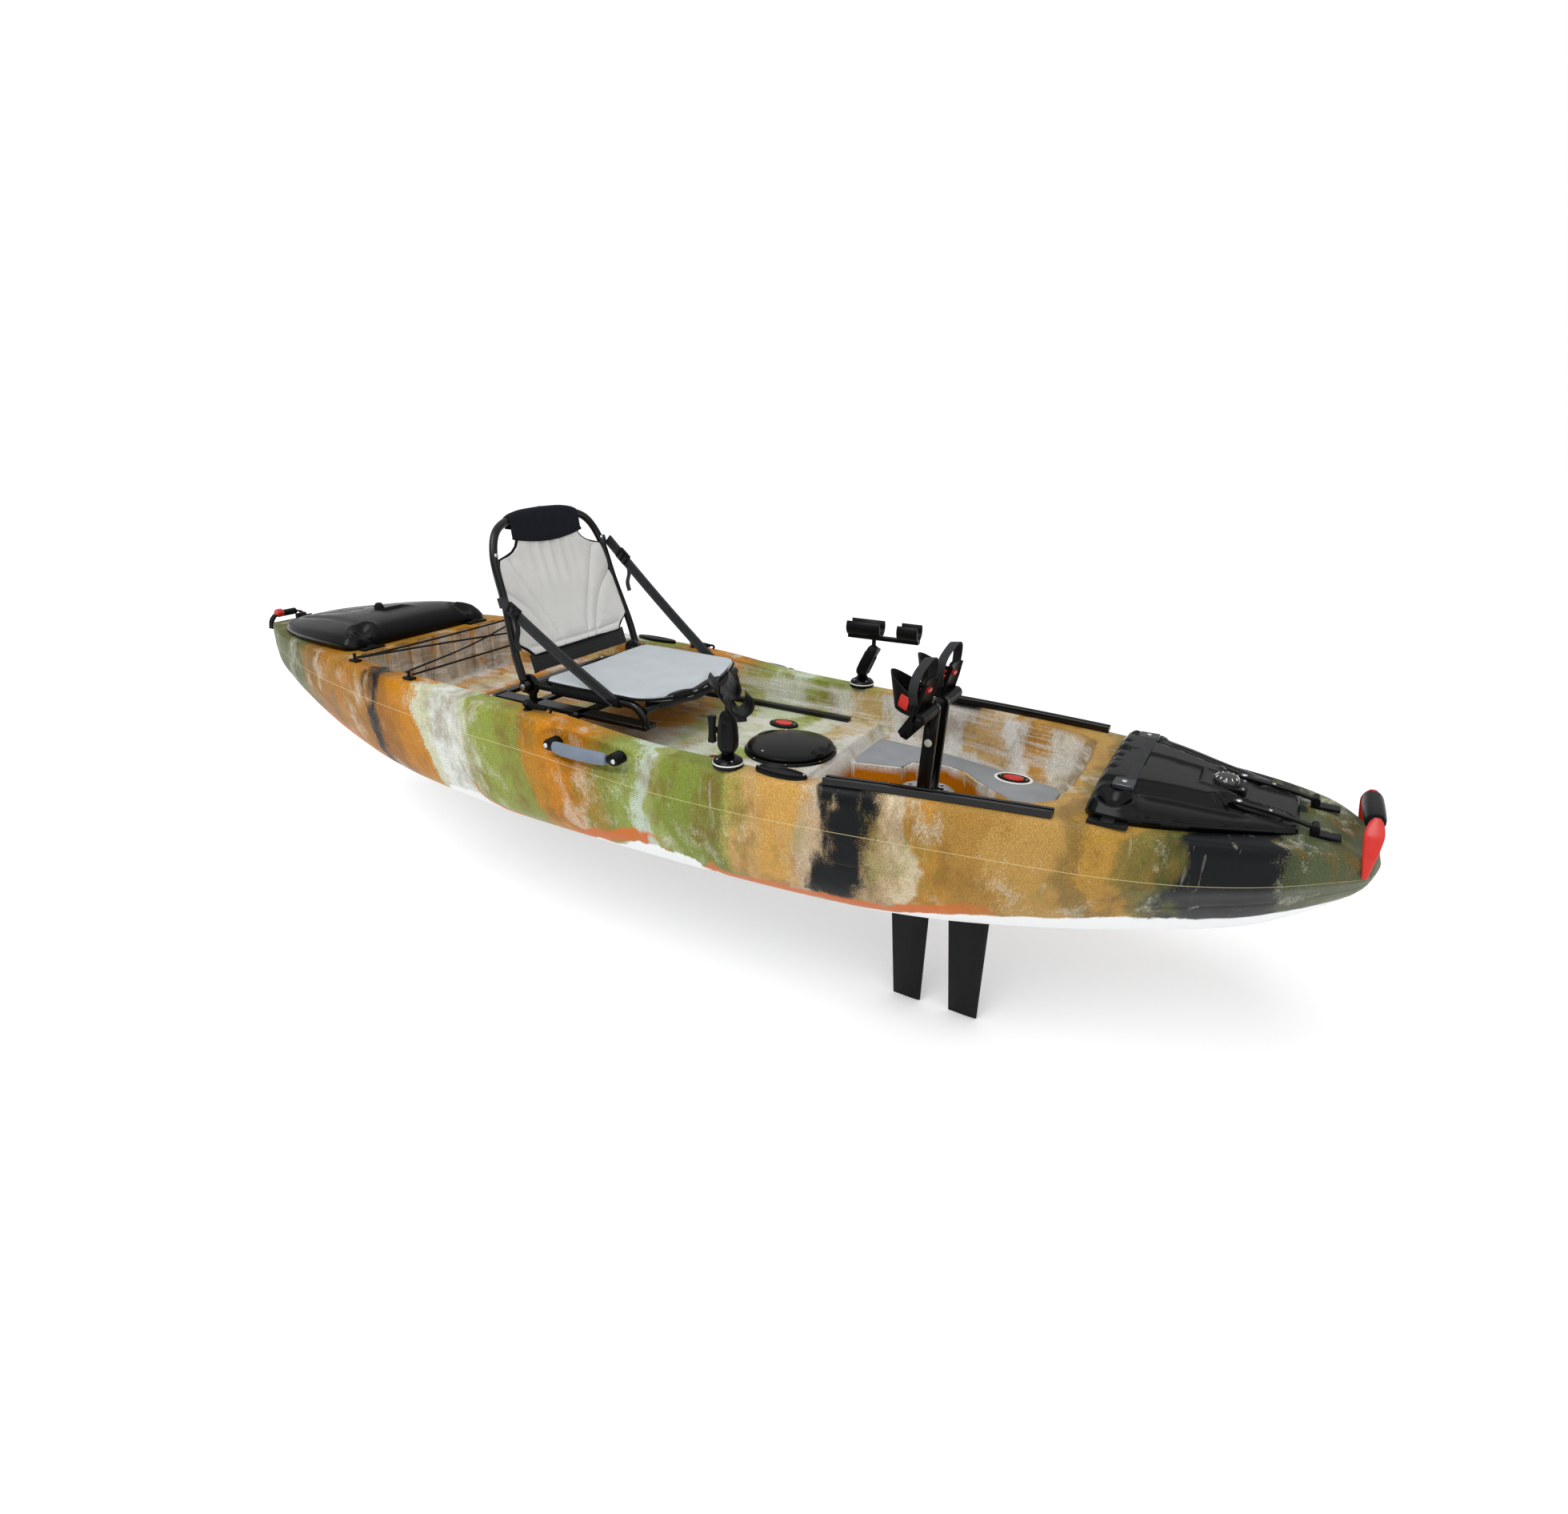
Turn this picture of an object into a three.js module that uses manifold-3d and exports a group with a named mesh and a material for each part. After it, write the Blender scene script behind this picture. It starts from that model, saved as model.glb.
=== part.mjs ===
// Sit-on-top fishing kayak with a flapping-fin pedal drive.
// Millimetres. +X points to the bow, +Y to port, +Z up. The keel's flat lies on z = 0.
import * as THREE from 'three';
import { mergeVertices } from 'three/addons/utils/BufferGeometryUtils.js';
import Module from 'manifold-3d';

const wasm = await Module();
wasm.setup();

// Clearances
const GAP = 0.3; // between pieces that rest on or sit beside each other
const RUN = 0.5; // radial clearance of a pin in its bore
const OVERRUN = 60; // how far a cut passes the face it opens

// Hull
const HULL = { fore: 1750, aft: 1720, halfBeam: 420, depth: 372, wall: 5.5, rimDrop: 4, leastFlat: 4 };
const STATION_COUNT = 24;
const INNER_END_SHARE = 0.975; // how near the hollow runs to each tip
// Pairs of station share (-1 stern, 0 midships, 1 bow) and share of the half beam or depth
const BEAM_SHARES = [
  [-1, 0.067], [-0.983, 0.148], [-0.942, 0.25], [-0.843, 0.464], [-0.698, 0.686], [-0.581, 0.817],
  [-0.407, 0.933], [-0.203, 0.99], [0, 1], [0.171, 0.981], [0.343, 0.929], [0.514, 0.845],
  [0.686, 0.726], [0.829, 0.571], [0.931, 0.405], [0.983, 0.25], [1, 0.143],
];
const SHEER_SHARES = [
  [-1, 0.927], [-0.96, 0.96], [-0.81, 1.005], [-0.7, 1.035], [-0.58, 1.048], [-0.35, 1.035],
  [-0.23, 1.024], [-0.04, 1.005], [0.126, 0.941], [0.274, 0.93], [0.48, 0.954], [0.657, 0.962],
  [0.8, 0.943], [0.943, 0.92], [1, 0.833],
];
const KEEL_SHARES = [
  [-1, 0.578], [-0.988, 0.47], [-0.965, 0.309], [-0.919, 0.148], [-0.843, 0.048], [-0.698, 0],
  [0.686, 0], [0.771, 0.048], [0.834, 0.121], [0.891, 0.228], [0.943, 0.39], [0.983, 0.551], [1, 0.672],
];
const FLAT_SHARES = [
  [-1, 0.014], [-0.93, 0.029], [-0.843, 0.06], [-0.756, 0.119], [-0.64, 0.226], [-0.465, 0.393],
  [-0.29, 0.5], [-0.116, 0.56], [0.171, 0.571], [0.343, 0.548], [0.457, 0.5], [0.543, 0.417],
  [0.629, 0.298], [0.686, 0.202], [0.771, 0.095], [0.857, 0.036], [1, 0.014],
];
const VEE_SHARES = [
  [-1, 1], [-0.843, 0.95], [-0.64, 0.55], [-0.465, 0.2], [-0.29, 0.05], [-0.116, 0],
  [0.343, 0], [0.514, 0.1], [0.629, 0.35], [0.743, 0.7], [0.857, 1], [1, 1],
];
// Section points as shares of rise and reach: a flat bottom with round bilges, and a vee
const ROUND_SHARES = [[0, 0], [0.075, 0.44], [0.23, 0.77], [0.47, 0.93], [0.71, 1], [0.9, 1]];
const VEE_SECTION_SHARES = [[0.02, 0], [0.22, 0.4], [0.4, 0.66], [0.55, 0.84], [0.7, 1], [0.9, 1]];
const SHOULDER_SHARE = 0.965;
const RIM_SHARE = 0.93;

// What stands aft of the seat is placed by its share of the stern's length
const astern = (rows) => rows.map(([share, ...rest]) => [-share * HULL.aft, ...rest]);

// Deck moulded into the hull: floors as heights, outlines as [x, half width]
const DECK = { tankFloor: 235, seatFloor: 255, ridge: 278, footFloor: 215, troughFloor: 120, draft: 12 };
const WELL_HALVES = [
  ...astern([[0.5407, 268], [0.5058, 308], [0.3953, 328]]), [-300, 342], [0, 345], [490, 340], [600, 338],
];
const TANK_HALVES = astern([[0.532, 262], [0.5058, 292], [0.3634, 312]]);
const SEAT_HALVES = [...astern([[0.3372, 318]]), [0, 325], [540, 322]];
const FOOT_LOW_HALVES = [
  [520, 318], [740, 298], [890, 258], [1000, 228], [1085, 208], [1115, 168], [1125, 90],
];
const FOOT_HIGH_HALVES = [
  [520, 342], [740, 338], [890, 316], [1000, 294], [1130, 262], [1178, 215], [1188, 110],
];
const TROUGH_HALVES = [
  [562, 82], [690, 112], [712, 168], [740, 184], [790, 184], [840, 160], [882, 118], [960, 66], [1040, 16],
];
const SLOT = { aft: 698, fore: 1022, half: 34 };
const SCUPPER = { bore: 24, sides: 8 };
// Hatch openings, outlined from the tips inwards
const BOW_HATCH_HALVES = [[HULL.fore - 475, 175], [HULL.fore - 350, 150], [HULL.fore - 210, 80]];
const STERN_HATCH_HALVES = astern([[0.8547, 90], [0.7558, 170], [0.593, 200]]);
const SIDE_RECESS = { x: 75, halfLength: 150, halfHeight: 40, deep: 13, z: 325 };

// Footwell pads
const PAD = { thick: 5, valveClear: 6 };
const PAD_HALVES = [
  [528, 300], [740, 284], [890, 246], [1000, 216], [1072, 196], [1090, 165], [1086, 34], [1050, 34],
  [962, 84], [892, 134], [846, 178], [792, 200], [736, 200], [696, 176], [682, 128], [560, 98], [530, 180],
];

// Scupper valves: an oval cap with a neck that drops into the scupper
const VALVE = { length: 88, width: 62, thick: 7, neck: 20, neckDrop: 22, segments: 14 };
const VALVE_SITES = [
  ['front', 962, 200, DECK.footFloor],
  ['middle', 300, 168, DECK.seatFloor],
  ['rear', -0.3977 * HULL.aft, 250, DECK.tankFloor],
];

// Round hatch between seat and footwell
const ROUND = {
  x: 414, ringOuter: 245, ringThick: 8, neckOuter: 204, bore: 192, neckDrop: 22, holeClear: 2,
  lid: 232, lidEdge: 9, lidDome: 24, segments: 28,
};

// Gear tracks on the gunwales and short rails on the seat deck
const TRACK = { aft: 690, fore: 1165, halfAft: 352, halfFore: 288, width: 24, height: 16, steps: 6 };
const RAIL = { aft: -350, fore: 450, half: 290, width: 22, height: 13 };

// Flush sockets and the oval holder on the port gunwale
const FLUSH = { aft: 520, fore: 645, half: 352, width: 34, height: 7 };
const OVAL = { x: -295, half: 372, length: 150, width: 36, height: 9 };
const KEEPER = { x: -150, half: 372, base: 24, height: 10, ball: 18, stalk: 9 };

// Side carry handles
const HANDLE = {
  x: 75, z: 325, length: 250, out: 9, thick: 3, width: 30, gripLength: 150, grip: 26, footLength: 34,
  bow: 22, core: 14,
};

// Toggle grips at the bow and the stern
const TOGGLE = { grip: 32, rope: 12, tab: 26, sides: 8 };
const BOW_TOGGLE = { x: HULL.fore - 34, half: 62, rise: 26, above: 44, tabOut: 16.6, tabBelow: 22 };
const STERN_TOGGLE = { x: 27 - HULL.aft, half: 32, rise: 8, above: 26, tabOut: 15.4, tabBelow: 24 };

// Bow hatch cover, hinged at its forward end: [distance from the bow tip, half width, height]
const BOW_COVER_STATIONS = [
  [536, 236, 48], [510, 252, 50], [460, 250, 48], [390, 226, 43], [300, 184, 32], [210, 138, 22], [156, 104, 17],
].map(([back, half, high]) => [HULL.fore - back, half, high]);
const COVER_WALL = 6;
const COVER_SECTION_SHARES = [[0, 1], [0.45, 0.97], [0.72, 0.86], [0.93, 0.62], [1, 0.3], [1, 0]];
const HINGE = {
  x: HULL.fore - 128, half: 77, rise: 17, eye: 16, pin: 7, armWidth: 16, armThick: 7, armAft: HULL.fore - 250,
  lug: 6, base: 46,
};
const CATCH = { length: 76, width: 26, height: 7, tab: 26, tabRise: 5, tabShare: 0.8 };
const STRAP = { x: HULL.fore - 478, half: 160, width: 40, thick: 3, plate: 46, plateLong: 40, plateThick: 7 };
const COMPASS = { x: HULL.fore - 299, length: 78, width: 62, plate: 5, dome: 44, domeRise: 20 };

// Stern hatch cover, hinged at the stern: [share of the stern's length, half width, height]
const STERN_COVER_STATIONS = astern([
  [0.9256, 62, 14], [0.8953, 100, 26], [0.843, 162, 44], [0.7674, 218, 62], [0.686, 256, 80],
  [0.6198, 274, 90], [0.5814, 276, 78], [0.5616, 262, 46],
]);
const STERN_HINGE = { x: -0.93721 * HULL.aft, half: 34, rise: 14, eye: 16, pin: 7, width: 22, lug: 6, base: 30 };
const KNOB = { x: -0.682 * HULL.aft, base: 34, top: 22, height: 22 };

// Shock cord over the tank well
const CORD = {
  size: 6, steps: 54, sides: 6, cross: 5, slack: 2.6, leadShare: 1.2, tailShare: 1.6, sideShare: 0.4,
};
const HOOK = { base: 34, width: 20, height: 6, post: 9, postRise: 18 };
const HOOK_AFT = { x: -0.507 * HULL.aft, half: 330 };
const HOOK_FORE = { x: -0.35 * HULL.aft, half: 362 };

// Seat
const SEAT = {
  tube: 22, half: 220, pivotX: -280, pivotZ: 385, front: 104, frontDrop: 62, railZ: 322, railHigh: 12,
  railWide: 25, crossHalf: 268, stringer: 185, post: 16, postHalf: 240, hub: 62, hubThick: 4, pin: 12, eye: 34,
  eyeThick: 13,
};
const SEAT_CROSS_SHARES = [-0.37, 0, 0.44]; // along the frame, from the pivot towards the front
const PAN = { thick: 15, crown: 4 };
const PAN_HALVES = [[-234, 205], [-214, 225], [60, 225], [100, 212], [127, 135], [140, 45]];
const BACK = { half: 245, shoulderHalf: 216, rise: 452, lean: 16.6, panelThick: 14 };
// The back's tube and its fabric panel as [half width, share of the rise], up one side
const upBack = (rows) => rows.map(([half, share]) => [half, share * BACK.rise]);
const BACK_LOOP = upBack([
  [BACK.half, 0.0376], [BACK.half, 0.179], [227, 0.5], [BACK.shoulderHalf, 0.781], [181, 0.92], [108, 0.9845],
]);
const BACK_PANEL = upBack([
  [175, 0.111], [203, 0.239], [214, 0.5], [203, 0.719], [162, 0.759], [112, 0.8805], [101, 0.969],
]);
const BACK_STRAP = { riseShares: [0.51, 0.763], front: 20, width: 25, thick: 2.4, clear: 7.6 };

// Rod holders on ball mounts
const ROD = {
  x: 451, half: 364, base: 58, baseTop: 48, baseHigh: 12, post: 14, ball: 25, ballRise: 42, arm: 118,
  socket: 40, waist: 30, wing: 38, wingWide: 13, wingThick: 8, wingOut: 30, mouth: 5, stem: 12, stemRise: 16,
  bar: 210, barShift: 28, barWide: 20, barHigh: 10, cup: 54, cupWall: 6, cupLong: 60, troughLong: 100,
  ballSides: 16,
};
const ROD_LEAN = [0, 24]; // starboard, port, degrees forward
const ROD_TURN = [-44, 4]; // the cradle's turn about its stem, degrees

// Pedal drive
const DRIVE = {
  x: 800, pivotZ: 199, bodyLong: 150, bodyWide: 104, bodyTop: 164, web: 20, cheek: 8, cheekLong: 60,
  flange: 138, flangeThick: 4.5, flangeHole: 11, flangeHoles: 8, flangeRing: 56, axle: 14,
  spineAft: 712, spineFore: 1008, spineHalf: 14, keelDrop: 16, sealHigh: 20,
};
const ARM = {
  half: 31, thick: 12, wide: 32, eye: 34, length: 250, lean: 3, bolt: 15, boltOut: 3, boltShare: 0.665,
  slotClear: 2,
};
const SWING = 25; // how far each pedal arm swings either way, degrees
const PEDAL = {
  axle: 12, hub: 24, inner: 39, long: 92, plateThick: 9, plateHigh: 128, plateOut: 15, lean: 14,
  heel: 34, loop: 62, loopWide: 30, loopThick: 5, loopZ: 26, soleShare: 0.16, heelShare: 0.34, loopShare: 1.5,
};
const FIN = {
  axisZ: -30, root: 26, axle: 8, chord: 114, tipChord: 78, thick: 11, tipThick: 5, reach: 360, sweep: 10, lug: 8,
  aftX: 778, foreX: 936,
};
const FOIL_SHARES = [
  [0.5, 0], [0.42, 0.5], [0.1, 0.5], [-0.5, 0.12], [-0.5, -0.12], [0.1, -0.5], [0.42, -0.5],
];

// Finishes
function finish(color, roughness, metalness = 0) {
  return new THREE.MeshStandardMaterial({ color, roughness, metalness });
}
const HULL_PLASTIC = finish(0xa4703a, 0.45);
const BLACK_PLASTIC = finish(0x17181a, 0.5);
const GREY_FOAM = finish(0x8d8d8f, 0.9);
const RED_PLASTIC = finish(0xc02a20, 0.45);
const GREY_RUBBER = finish(0x6d7379, 0.7);
const GREY_FABRIC = finish(0xb9bab6, 0.9);
const BLACK_WEBBING = finish(0x1b1c1e, 0.9);
const BLACK_ALUMINIUM = finish(0x141516, 0.35, 0.6);
const SILVER_ALUMINIUM = finish(0xc4c6c8, 0.35, 1);
const COMPASS_GLASS = finish(0x2a2d2f, 0.1);

const kayak = new THREE.Group();
const SIDES = [['starboard', -1], ['port', 1]];

// Helpers

const vec = (x, y, z) => new THREE.Vector3(x, y, z);
const radians = THREE.MathUtils.degToRad;

// Smooth value of a table at a place. Flat stretches stay flat.
function shareAt(table, place) {
  const last = table.length - 1;
  if (place <= table[0][0]) return table[0][1];
  if (place >= table[last][0]) return table[last][1];
  const slope = (i) => (table[i + 1][1] - table[i][1]) / (table[i + 1][0] - table[i][0]);
  const tangent = (i) => {
    if (i === 0) return slope(0);
    if (i === last) return slope(last - 1);
    if (slope(i - 1) * slope(i) <= 0) return 0;
    return (table[i + 1][1] - table[i - 1][1]) / (table[i + 1][0] - table[i - 1][0]);
  };
  const k = table.findIndex((row, i) => place >= row[0] && place < table[i + 1][0]);
  const span = table[k + 1][0] - table[k][0];
  const t = (place - table[k][0]) / span;
  const lift = (2 * t ** 3 - 3 * t ** 2 + 1) * table[k][1] + (3 * t ** 2 - 2 * t ** 3) * table[k + 1][1];
  return lift + span * ((t ** 3 - 2 * t ** 2 + t) * tangent(k) + (t ** 3 - t ** 2) * tangent(k + 1));
}

const stationShare = (x) => (x < 0 ? x / HULL.aft : x / HULL.fore);

// Shares of the length at which the hull's sections stand. They crowd towards the tips.
const SECTION_SHARES = Array.from({ length: STATION_COUNT + 1 }, (_, i) => {
  const even = i / STATION_COUNT - 0.5;
  return Math.sin(even * Math.PI) * 0.5 + even;
});

// The hull is straight between its sections, so what rests on it follows them
function alongHull(shares, size, x) {
  const place = Math.min(Math.max(stationShare(x), -1), 1);
  const k = Math.max(SECTION_SHARES.findIndex((share) => share + Number.EPSILON >= place), 1);
  const [a, b] = [SECTION_SHARES[k - 1], SECTION_SHARES[k]];
  return size * THREE.MathUtils.lerp(shareAt(shares, a), shareAt(shares, b), (place - a) / (b - a));
}

const sheerAt = (x) => alongHull(SHEER_SHARES, HULL.depth, x);
const halfBeamAt = (x) => alongHull(BEAM_SHARES, HULL.halfBeam, x);

function outward(geometry) {
  const p = geometry.getAttribute('position');
  const index = geometry.index;
  let volume = 0;
  const [a, b, c] = [vec(), vec(), vec()];
  for (let i = 0; i < index.count; i += 3) {
    a.fromBufferAttribute(p, index.getX(i));
    b.fromBufferAttribute(p, index.getX(i + 1));
    c.fromBufferAttribute(p, index.getX(i + 2));
    volume += a.dot(b.cross(c));
  }
  if (volume < 0) {
    for (let i = 0; i < index.count; i += 3) {
      const swap = index.getX(i);
      index.setX(i, index.getX(i + 2));
      index.setX(i + 2, swap);
    }
  }
  return geometry;
}

// Faces that close one end ring
function capFaces(ring, flatten, base, reversed) {
  const outline = ring.map(flatten);
  const turn = Math.sign(THREE.ShapeUtils.area(outline));
  return THREE.ShapeUtils.triangulateShape(outline, []).flatMap((face) => {
    const follows = Math.sign(THREE.ShapeUtils.area(face.map((i) => outline[i]))) === turn;
    const kept = follows !== reversed ? face : [...face].reverse();
    return kept.map((i) => i + base);
  });
}

// A skin through closed rings of equal count, capped at both ends
function loft(rings, flatten) {
  const count = rings[0].length;
  const last = rings.length - 1;
  const faces = [];
  for (let r = 0; r < last; r += 1) {
    for (let i = 0; i < count; i += 1) {
      const a = r * count + i;
      const b = r * count + ((i + 1) % count);
      faces.push(a, b, b + count, a, b + count, a + count);
    }
  }
  faces.push(...capFaces(rings[0], flatten, 0, true), ...capFaces(rings[last], flatten, last * count, false));
  const geometry = new THREE.BufferGeometry();
  const positions = rings.flat().flatMap((p) => [p.x, p.y, p.z]);
  geometry.setAttribute('position', new THREE.Float32BufferAttribute(positions, 3));
  geometry.setIndex(faces);
  return outward(geometry);
}

const planOf = (p) => new THREE.Vector2(p.x, p.y);
const sectionOf = (p) => new THREE.Vector2(p.y, p.z);

function solid(geometry) {
  const bare = geometry.clone();
  for (const name of ['normal', 'uv']) bare.deleteAttribute(name);
  const merged = mergeVertices(bare);
  return new wasm.Manifold(new wasm.Mesh({
    numProp: 3,
    vertProperties: Float32Array.from(merged.getAttribute('position').array),
    triVerts: Uint32Array.from(merged.index.array),
  }));
}

function geometryOf(body) {
  const mesh = body.getMesh();
  const geometry = new THREE.BufferGeometry();
  geometry.setAttribute('position', new THREE.BufferAttribute(mesh.vertProperties, 3));
  geometry.setIndex(new THREE.BufferAttribute(mesh.triVerts, 1));
  return geometry;
}

const join = (...bodies) => bodies.reduce((all, body) => all.add(body));
const cut = (body, ...tools) => tools.reduce((rest, tool) => rest.subtract(tool), body);

function piece(name, body, material) {
  const mesh = new THREE.Mesh(body.isBufferGeometry ? body : geometryOf(body), material);
  mesh.geometry.computeVertexNormals();
  mesh.name = name;
  kayak.add(mesh);
  return mesh;
}

// A block between two corners
function block(x0, x1, y0, y1, z0, z1) {
  const geometry = new THREE.BoxGeometry(Math.abs(x1 - x0), Math.abs(y1 - y0), Math.abs(z1 - z0));
  geometry.translate((x0 + x1) / 2, (y0 + y1) / 2, (z0 + z1) / 2);
  return solid(geometry);
}

// A round bar from one point to another
function bar(from, to, radius, sides = 12, endRadius = radius) {
  const along = to.clone().sub(from);
  const geometry = new THREE.CylinderGeometry(endRadius, radius, along.length(), sides);
  geometry.translate(0, along.length() / 2, 0);
  geometry.applyQuaternion(new THREE.Quaternion().setFromUnitVectors(vec(0, 1, 0), along.normalize()));
  geometry.translate(from.x, from.y, from.z);
  return solid(geometry);
}

function ball(centre, radius, sides = 10) {
  const geometry = new THREE.SphereGeometry(radius, sides, sides / 2);
  geometry.translate(centre.x, centre.y, centre.z);
  return solid(geometry);
}

// A polygon section swept along a smooth path
function sweep(points, section, steps) {
  const path = new THREE.CatmullRomCurve3(points, false, 'centripetal');
  return new THREE.ExtrudeGeometry(new THREE.Shape(section), { steps, bevelEnabled: false, extrudePath: path });
}

function roundSection(radius, sides) {
  return Array.from({ length: sides }, (_, i) => {
    const turn = (i / sides) * Math.PI * 2;
    return new THREE.Vector2(radius * Math.cos(turn), radius * Math.sin(turn));
  });
}

const tube = (points, size, steps, sides = 8) => solid(sweep(points, roundSection(size / 2, sides), steps));

// Turn a half outline [x, half width] into a closed plan outline
function mirrored(halves) {
  const port = halves.map(([x, half]) => new THREE.Vector2(x, half));
  const starboard = halves.map(([x, half]) => new THREE.Vector2(x, -half)).reverse();
  return [...port, ...starboard];
}

// Move every edge of a closed outline outwards
function inflate(outline, by) {
  const turn = THREE.ShapeUtils.isClockWise(outline) ? 1 : -1;
  const normal = (a, b) => new THREE.Vector2(-(b.y - a.y), b.x - a.x).normalize().multiplyScalar(turn);
  return outline.map((p, i) => {
    const before = outline[(i + outline.length - 1) % outline.length];
    const after = outline[(i + 1) % outline.length];
    const [n, m] = [normal(before, p), normal(p, after)];
    const mitre = n.clone().add(m).multiplyScalar(1 / Math.max(1 + n.dot(m), 0.5));
    return p.clone().addScaledVector(mitre, by);
  });
}

// A pit from a low outline up to a high one
function pit(low, floor, high, top) {
  const ring = (outline, z) => outline.map((p) => vec(p.x, p.y, z));
  return solid(loft([ring(low, floor), ring(high, top)], planOf));
}

const plate = (outline, z0, z1) => pit(outline, z0, outline, z1);

function oval(x, y, length, width, segments) {
  return Array.from({ length: segments }, (_, i) => {
    const turn = (i / segments) * Math.PI * 2;
    return new THREE.Vector2(x + (length / 2) * Math.cos(turn), y + (width / 2) * Math.sin(turn));
  });
}

// Hull

function hullSection(x, inset) {
  const at = stationShare(x);
  const beam = HULL.halfBeam * shareAt(BEAM_SHARES, at) - inset;
  const top = HULL.depth * shareAt(SHEER_SHARES, at) - inset;
  const keel = HULL.depth * shareAt(KEEL_SHARES, at) + inset;
  const flat = Math.max(HULL.halfBeam * shareAt(FLAT_SHARES, at) - inset, HULL.leastFlat);
  const vee = shareAt(VEE_SHARES, at);
  const half = ROUND_SHARES.map(([rise, reach], i) => {
    const r = rise * (1 - vee) + VEE_SECTION_SHARES[i][0] * vee;
    const o = reach * (1 - vee) + VEE_SECTION_SHARES[i][1] * vee;
    return [flat + (beam - flat) * o, keel + (top - keel) * r];
  });
  half.push([beam * SHOULDER_SHARE, top - HULL.rimDrop], [beam * RIM_SHARE, top]);
  const port = half.map(([y, z]) => vec(x, y, z));
  const starboard = half.map(([y, z]) => vec(x, -y, z)).reverse();
  return [...port, ...starboard];
}

function hullBody(inset, endShare) {
  const rings = SECTION_SHARES.map((share) => {
    const x = share * endShare * (share < 0 ? HULL.aft : HULL.fore);
    return hullSection(x, inset);
  });
  return solid(loft(rings, sectionOf));
}

// The hull's outside with a gap round it, which trims what lies against it
const hullSkin = hullBody(-GAP, 1);

// Everything moulded down into the deck; grown by the wall it gives the space the hollow must leave
function deckCavities(grow) {
  const open = HULL.depth + OVERRUN;
  const flare = (outline) => inflate(outline, grow + DECK.draft);
  const wide = (outline) => inflate(outline, grow);
  const cuts = [
    pit(wide(inflate(mirrored(WELL_HALVES), -DECK.draft)), DECK.ridge - grow, wide(mirrored(WELL_HALVES)), open),
    pit(wide(mirrored(TANK_HALVES)), DECK.tankFloor - grow, flare(mirrored(TANK_HALVES)), DECK.ridge + grow),
    pit(wide(mirrored(SEAT_HALVES)), DECK.seatFloor - grow, flare(mirrored(SEAT_HALVES)), DECK.ridge + grow),
    pit(wide(mirrored(FOOT_LOW_HALVES)), DECK.footFloor - grow, wide(mirrored(FOOT_HIGH_HALVES)), open),
    pit(
      wide(mirrored(TROUGH_HALVES)), DECK.troughFloor - grow, flare(mirrored(TROUGH_HALVES)), DECK.footFloor + GAP,
    ),
    block(SLOT.aft - grow, SLOT.fore + grow, -SLOT.half - grow, SLOT.half + grow, -OVERRUN, DECK.troughFloor),
  ];
  for (const [, x, y, floor] of VALVE_SITES) {
    for (const [, side] of SIDES) {
      const radius = SCUPPER.bore / 2 + grow;
      cuts.push(bar(vec(x, side * y, -OVERRUN), vec(x, side * y, floor + GAP), radius, SCUPPER.sides));
    }
  }
  for (const [, side] of SIDES) cuts.push(sideRecess(side, grow));
  return cuts;
}

function sideRecess(side, grow) {
  const geometry = new THREE.SphereGeometry(1, 16, 8);
  geometry.scale(SIDE_RECESS.halfLength + grow, SIDE_RECESS.deep + grow, SIDE_RECESS.halfHeight + grow);
  geometry.translate(SIDE_RECESS.x, side * halfBeamAt(SIDE_RECESS.x), SIDE_RECESS.z);
  return solid(geometry);
}

function hull() {
  const shell = hullBody(0, 1);
  const hollow = cut(hullBody(HULL.wall, INNER_END_SHARE), ...deckCavities(HULL.wall));
  const high = HULL.depth + OVERRUN;
  const hatches = [
    plate(mirrored(BOW_HATCH_HALVES), DECK.ridge, high),
    plate(mirrored(STERN_HATCH_HALVES), DECK.ridge, high),
    bar(
      vec(ROUND.x, 0, DECK.seatFloor - OVERRUN),
      vec(ROUND.x, 0, high),
      ROUND.neckOuter / 2 + ROUND.holeClear,
      ROUND.segments,
    ),
  ];
  const made = cut(shell, ...deckCavities(0), hollow, ...hatches);
  const parts = made.decompose().sort((a, b) => b.volume() - a.volume());
  piece('hull', parts[0], HULL_PLASTIC);
}

// Fittings on the deck

function footPads() {
  for (const [name, side] of SIDES) {
    const outline = PAD_HALVES.map(([x, half]) => new THREE.Vector2(x, side * half));
    const [, x, y] = VALVE_SITES[0];
    const hole = oval(
      x, side * y, VALVE.length + PAD.valveClear * 2, VALVE.width + PAD.valveClear * 2, VALVE.segments,
    );
    const foot = DECK.footFloor + GAP;
    const pad = cut(plate(outline, foot, foot + PAD.thick), plate(hole, 0, foot + OVERRUN));
    piece(`foot_pad_${name}`, pad, GREY_FOAM);
  }
}

function valves() {
  for (const [place, x, y, floor] of VALVE_SITES) {
    for (const [name, side] of SIDES) {
      if (place === 'middle' && name === 'starboard') continue;
      const seat = floor + GAP;
      const cap = pit(
        oval(x, side * y, VALVE.length, VALVE.width, VALVE.segments),
        seat,
        inflate(oval(x, side * y, VALVE.length, VALVE.width, VALVE.segments), -VALVE.thick / 2),
        seat + VALVE.thick,
      );
      const neck = bar(
        vec(x, side * y, seat - VALVE.neckDrop), vec(x, side * y, seat + VALVE.thick / 2),
        VALVE.neck / 2, SCUPPER.sides,
      );
      piece(`scupper_valve_${place}_${name}`, join(cap, neck), BLACK_PLASTIC);
    }
  }
}

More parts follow.
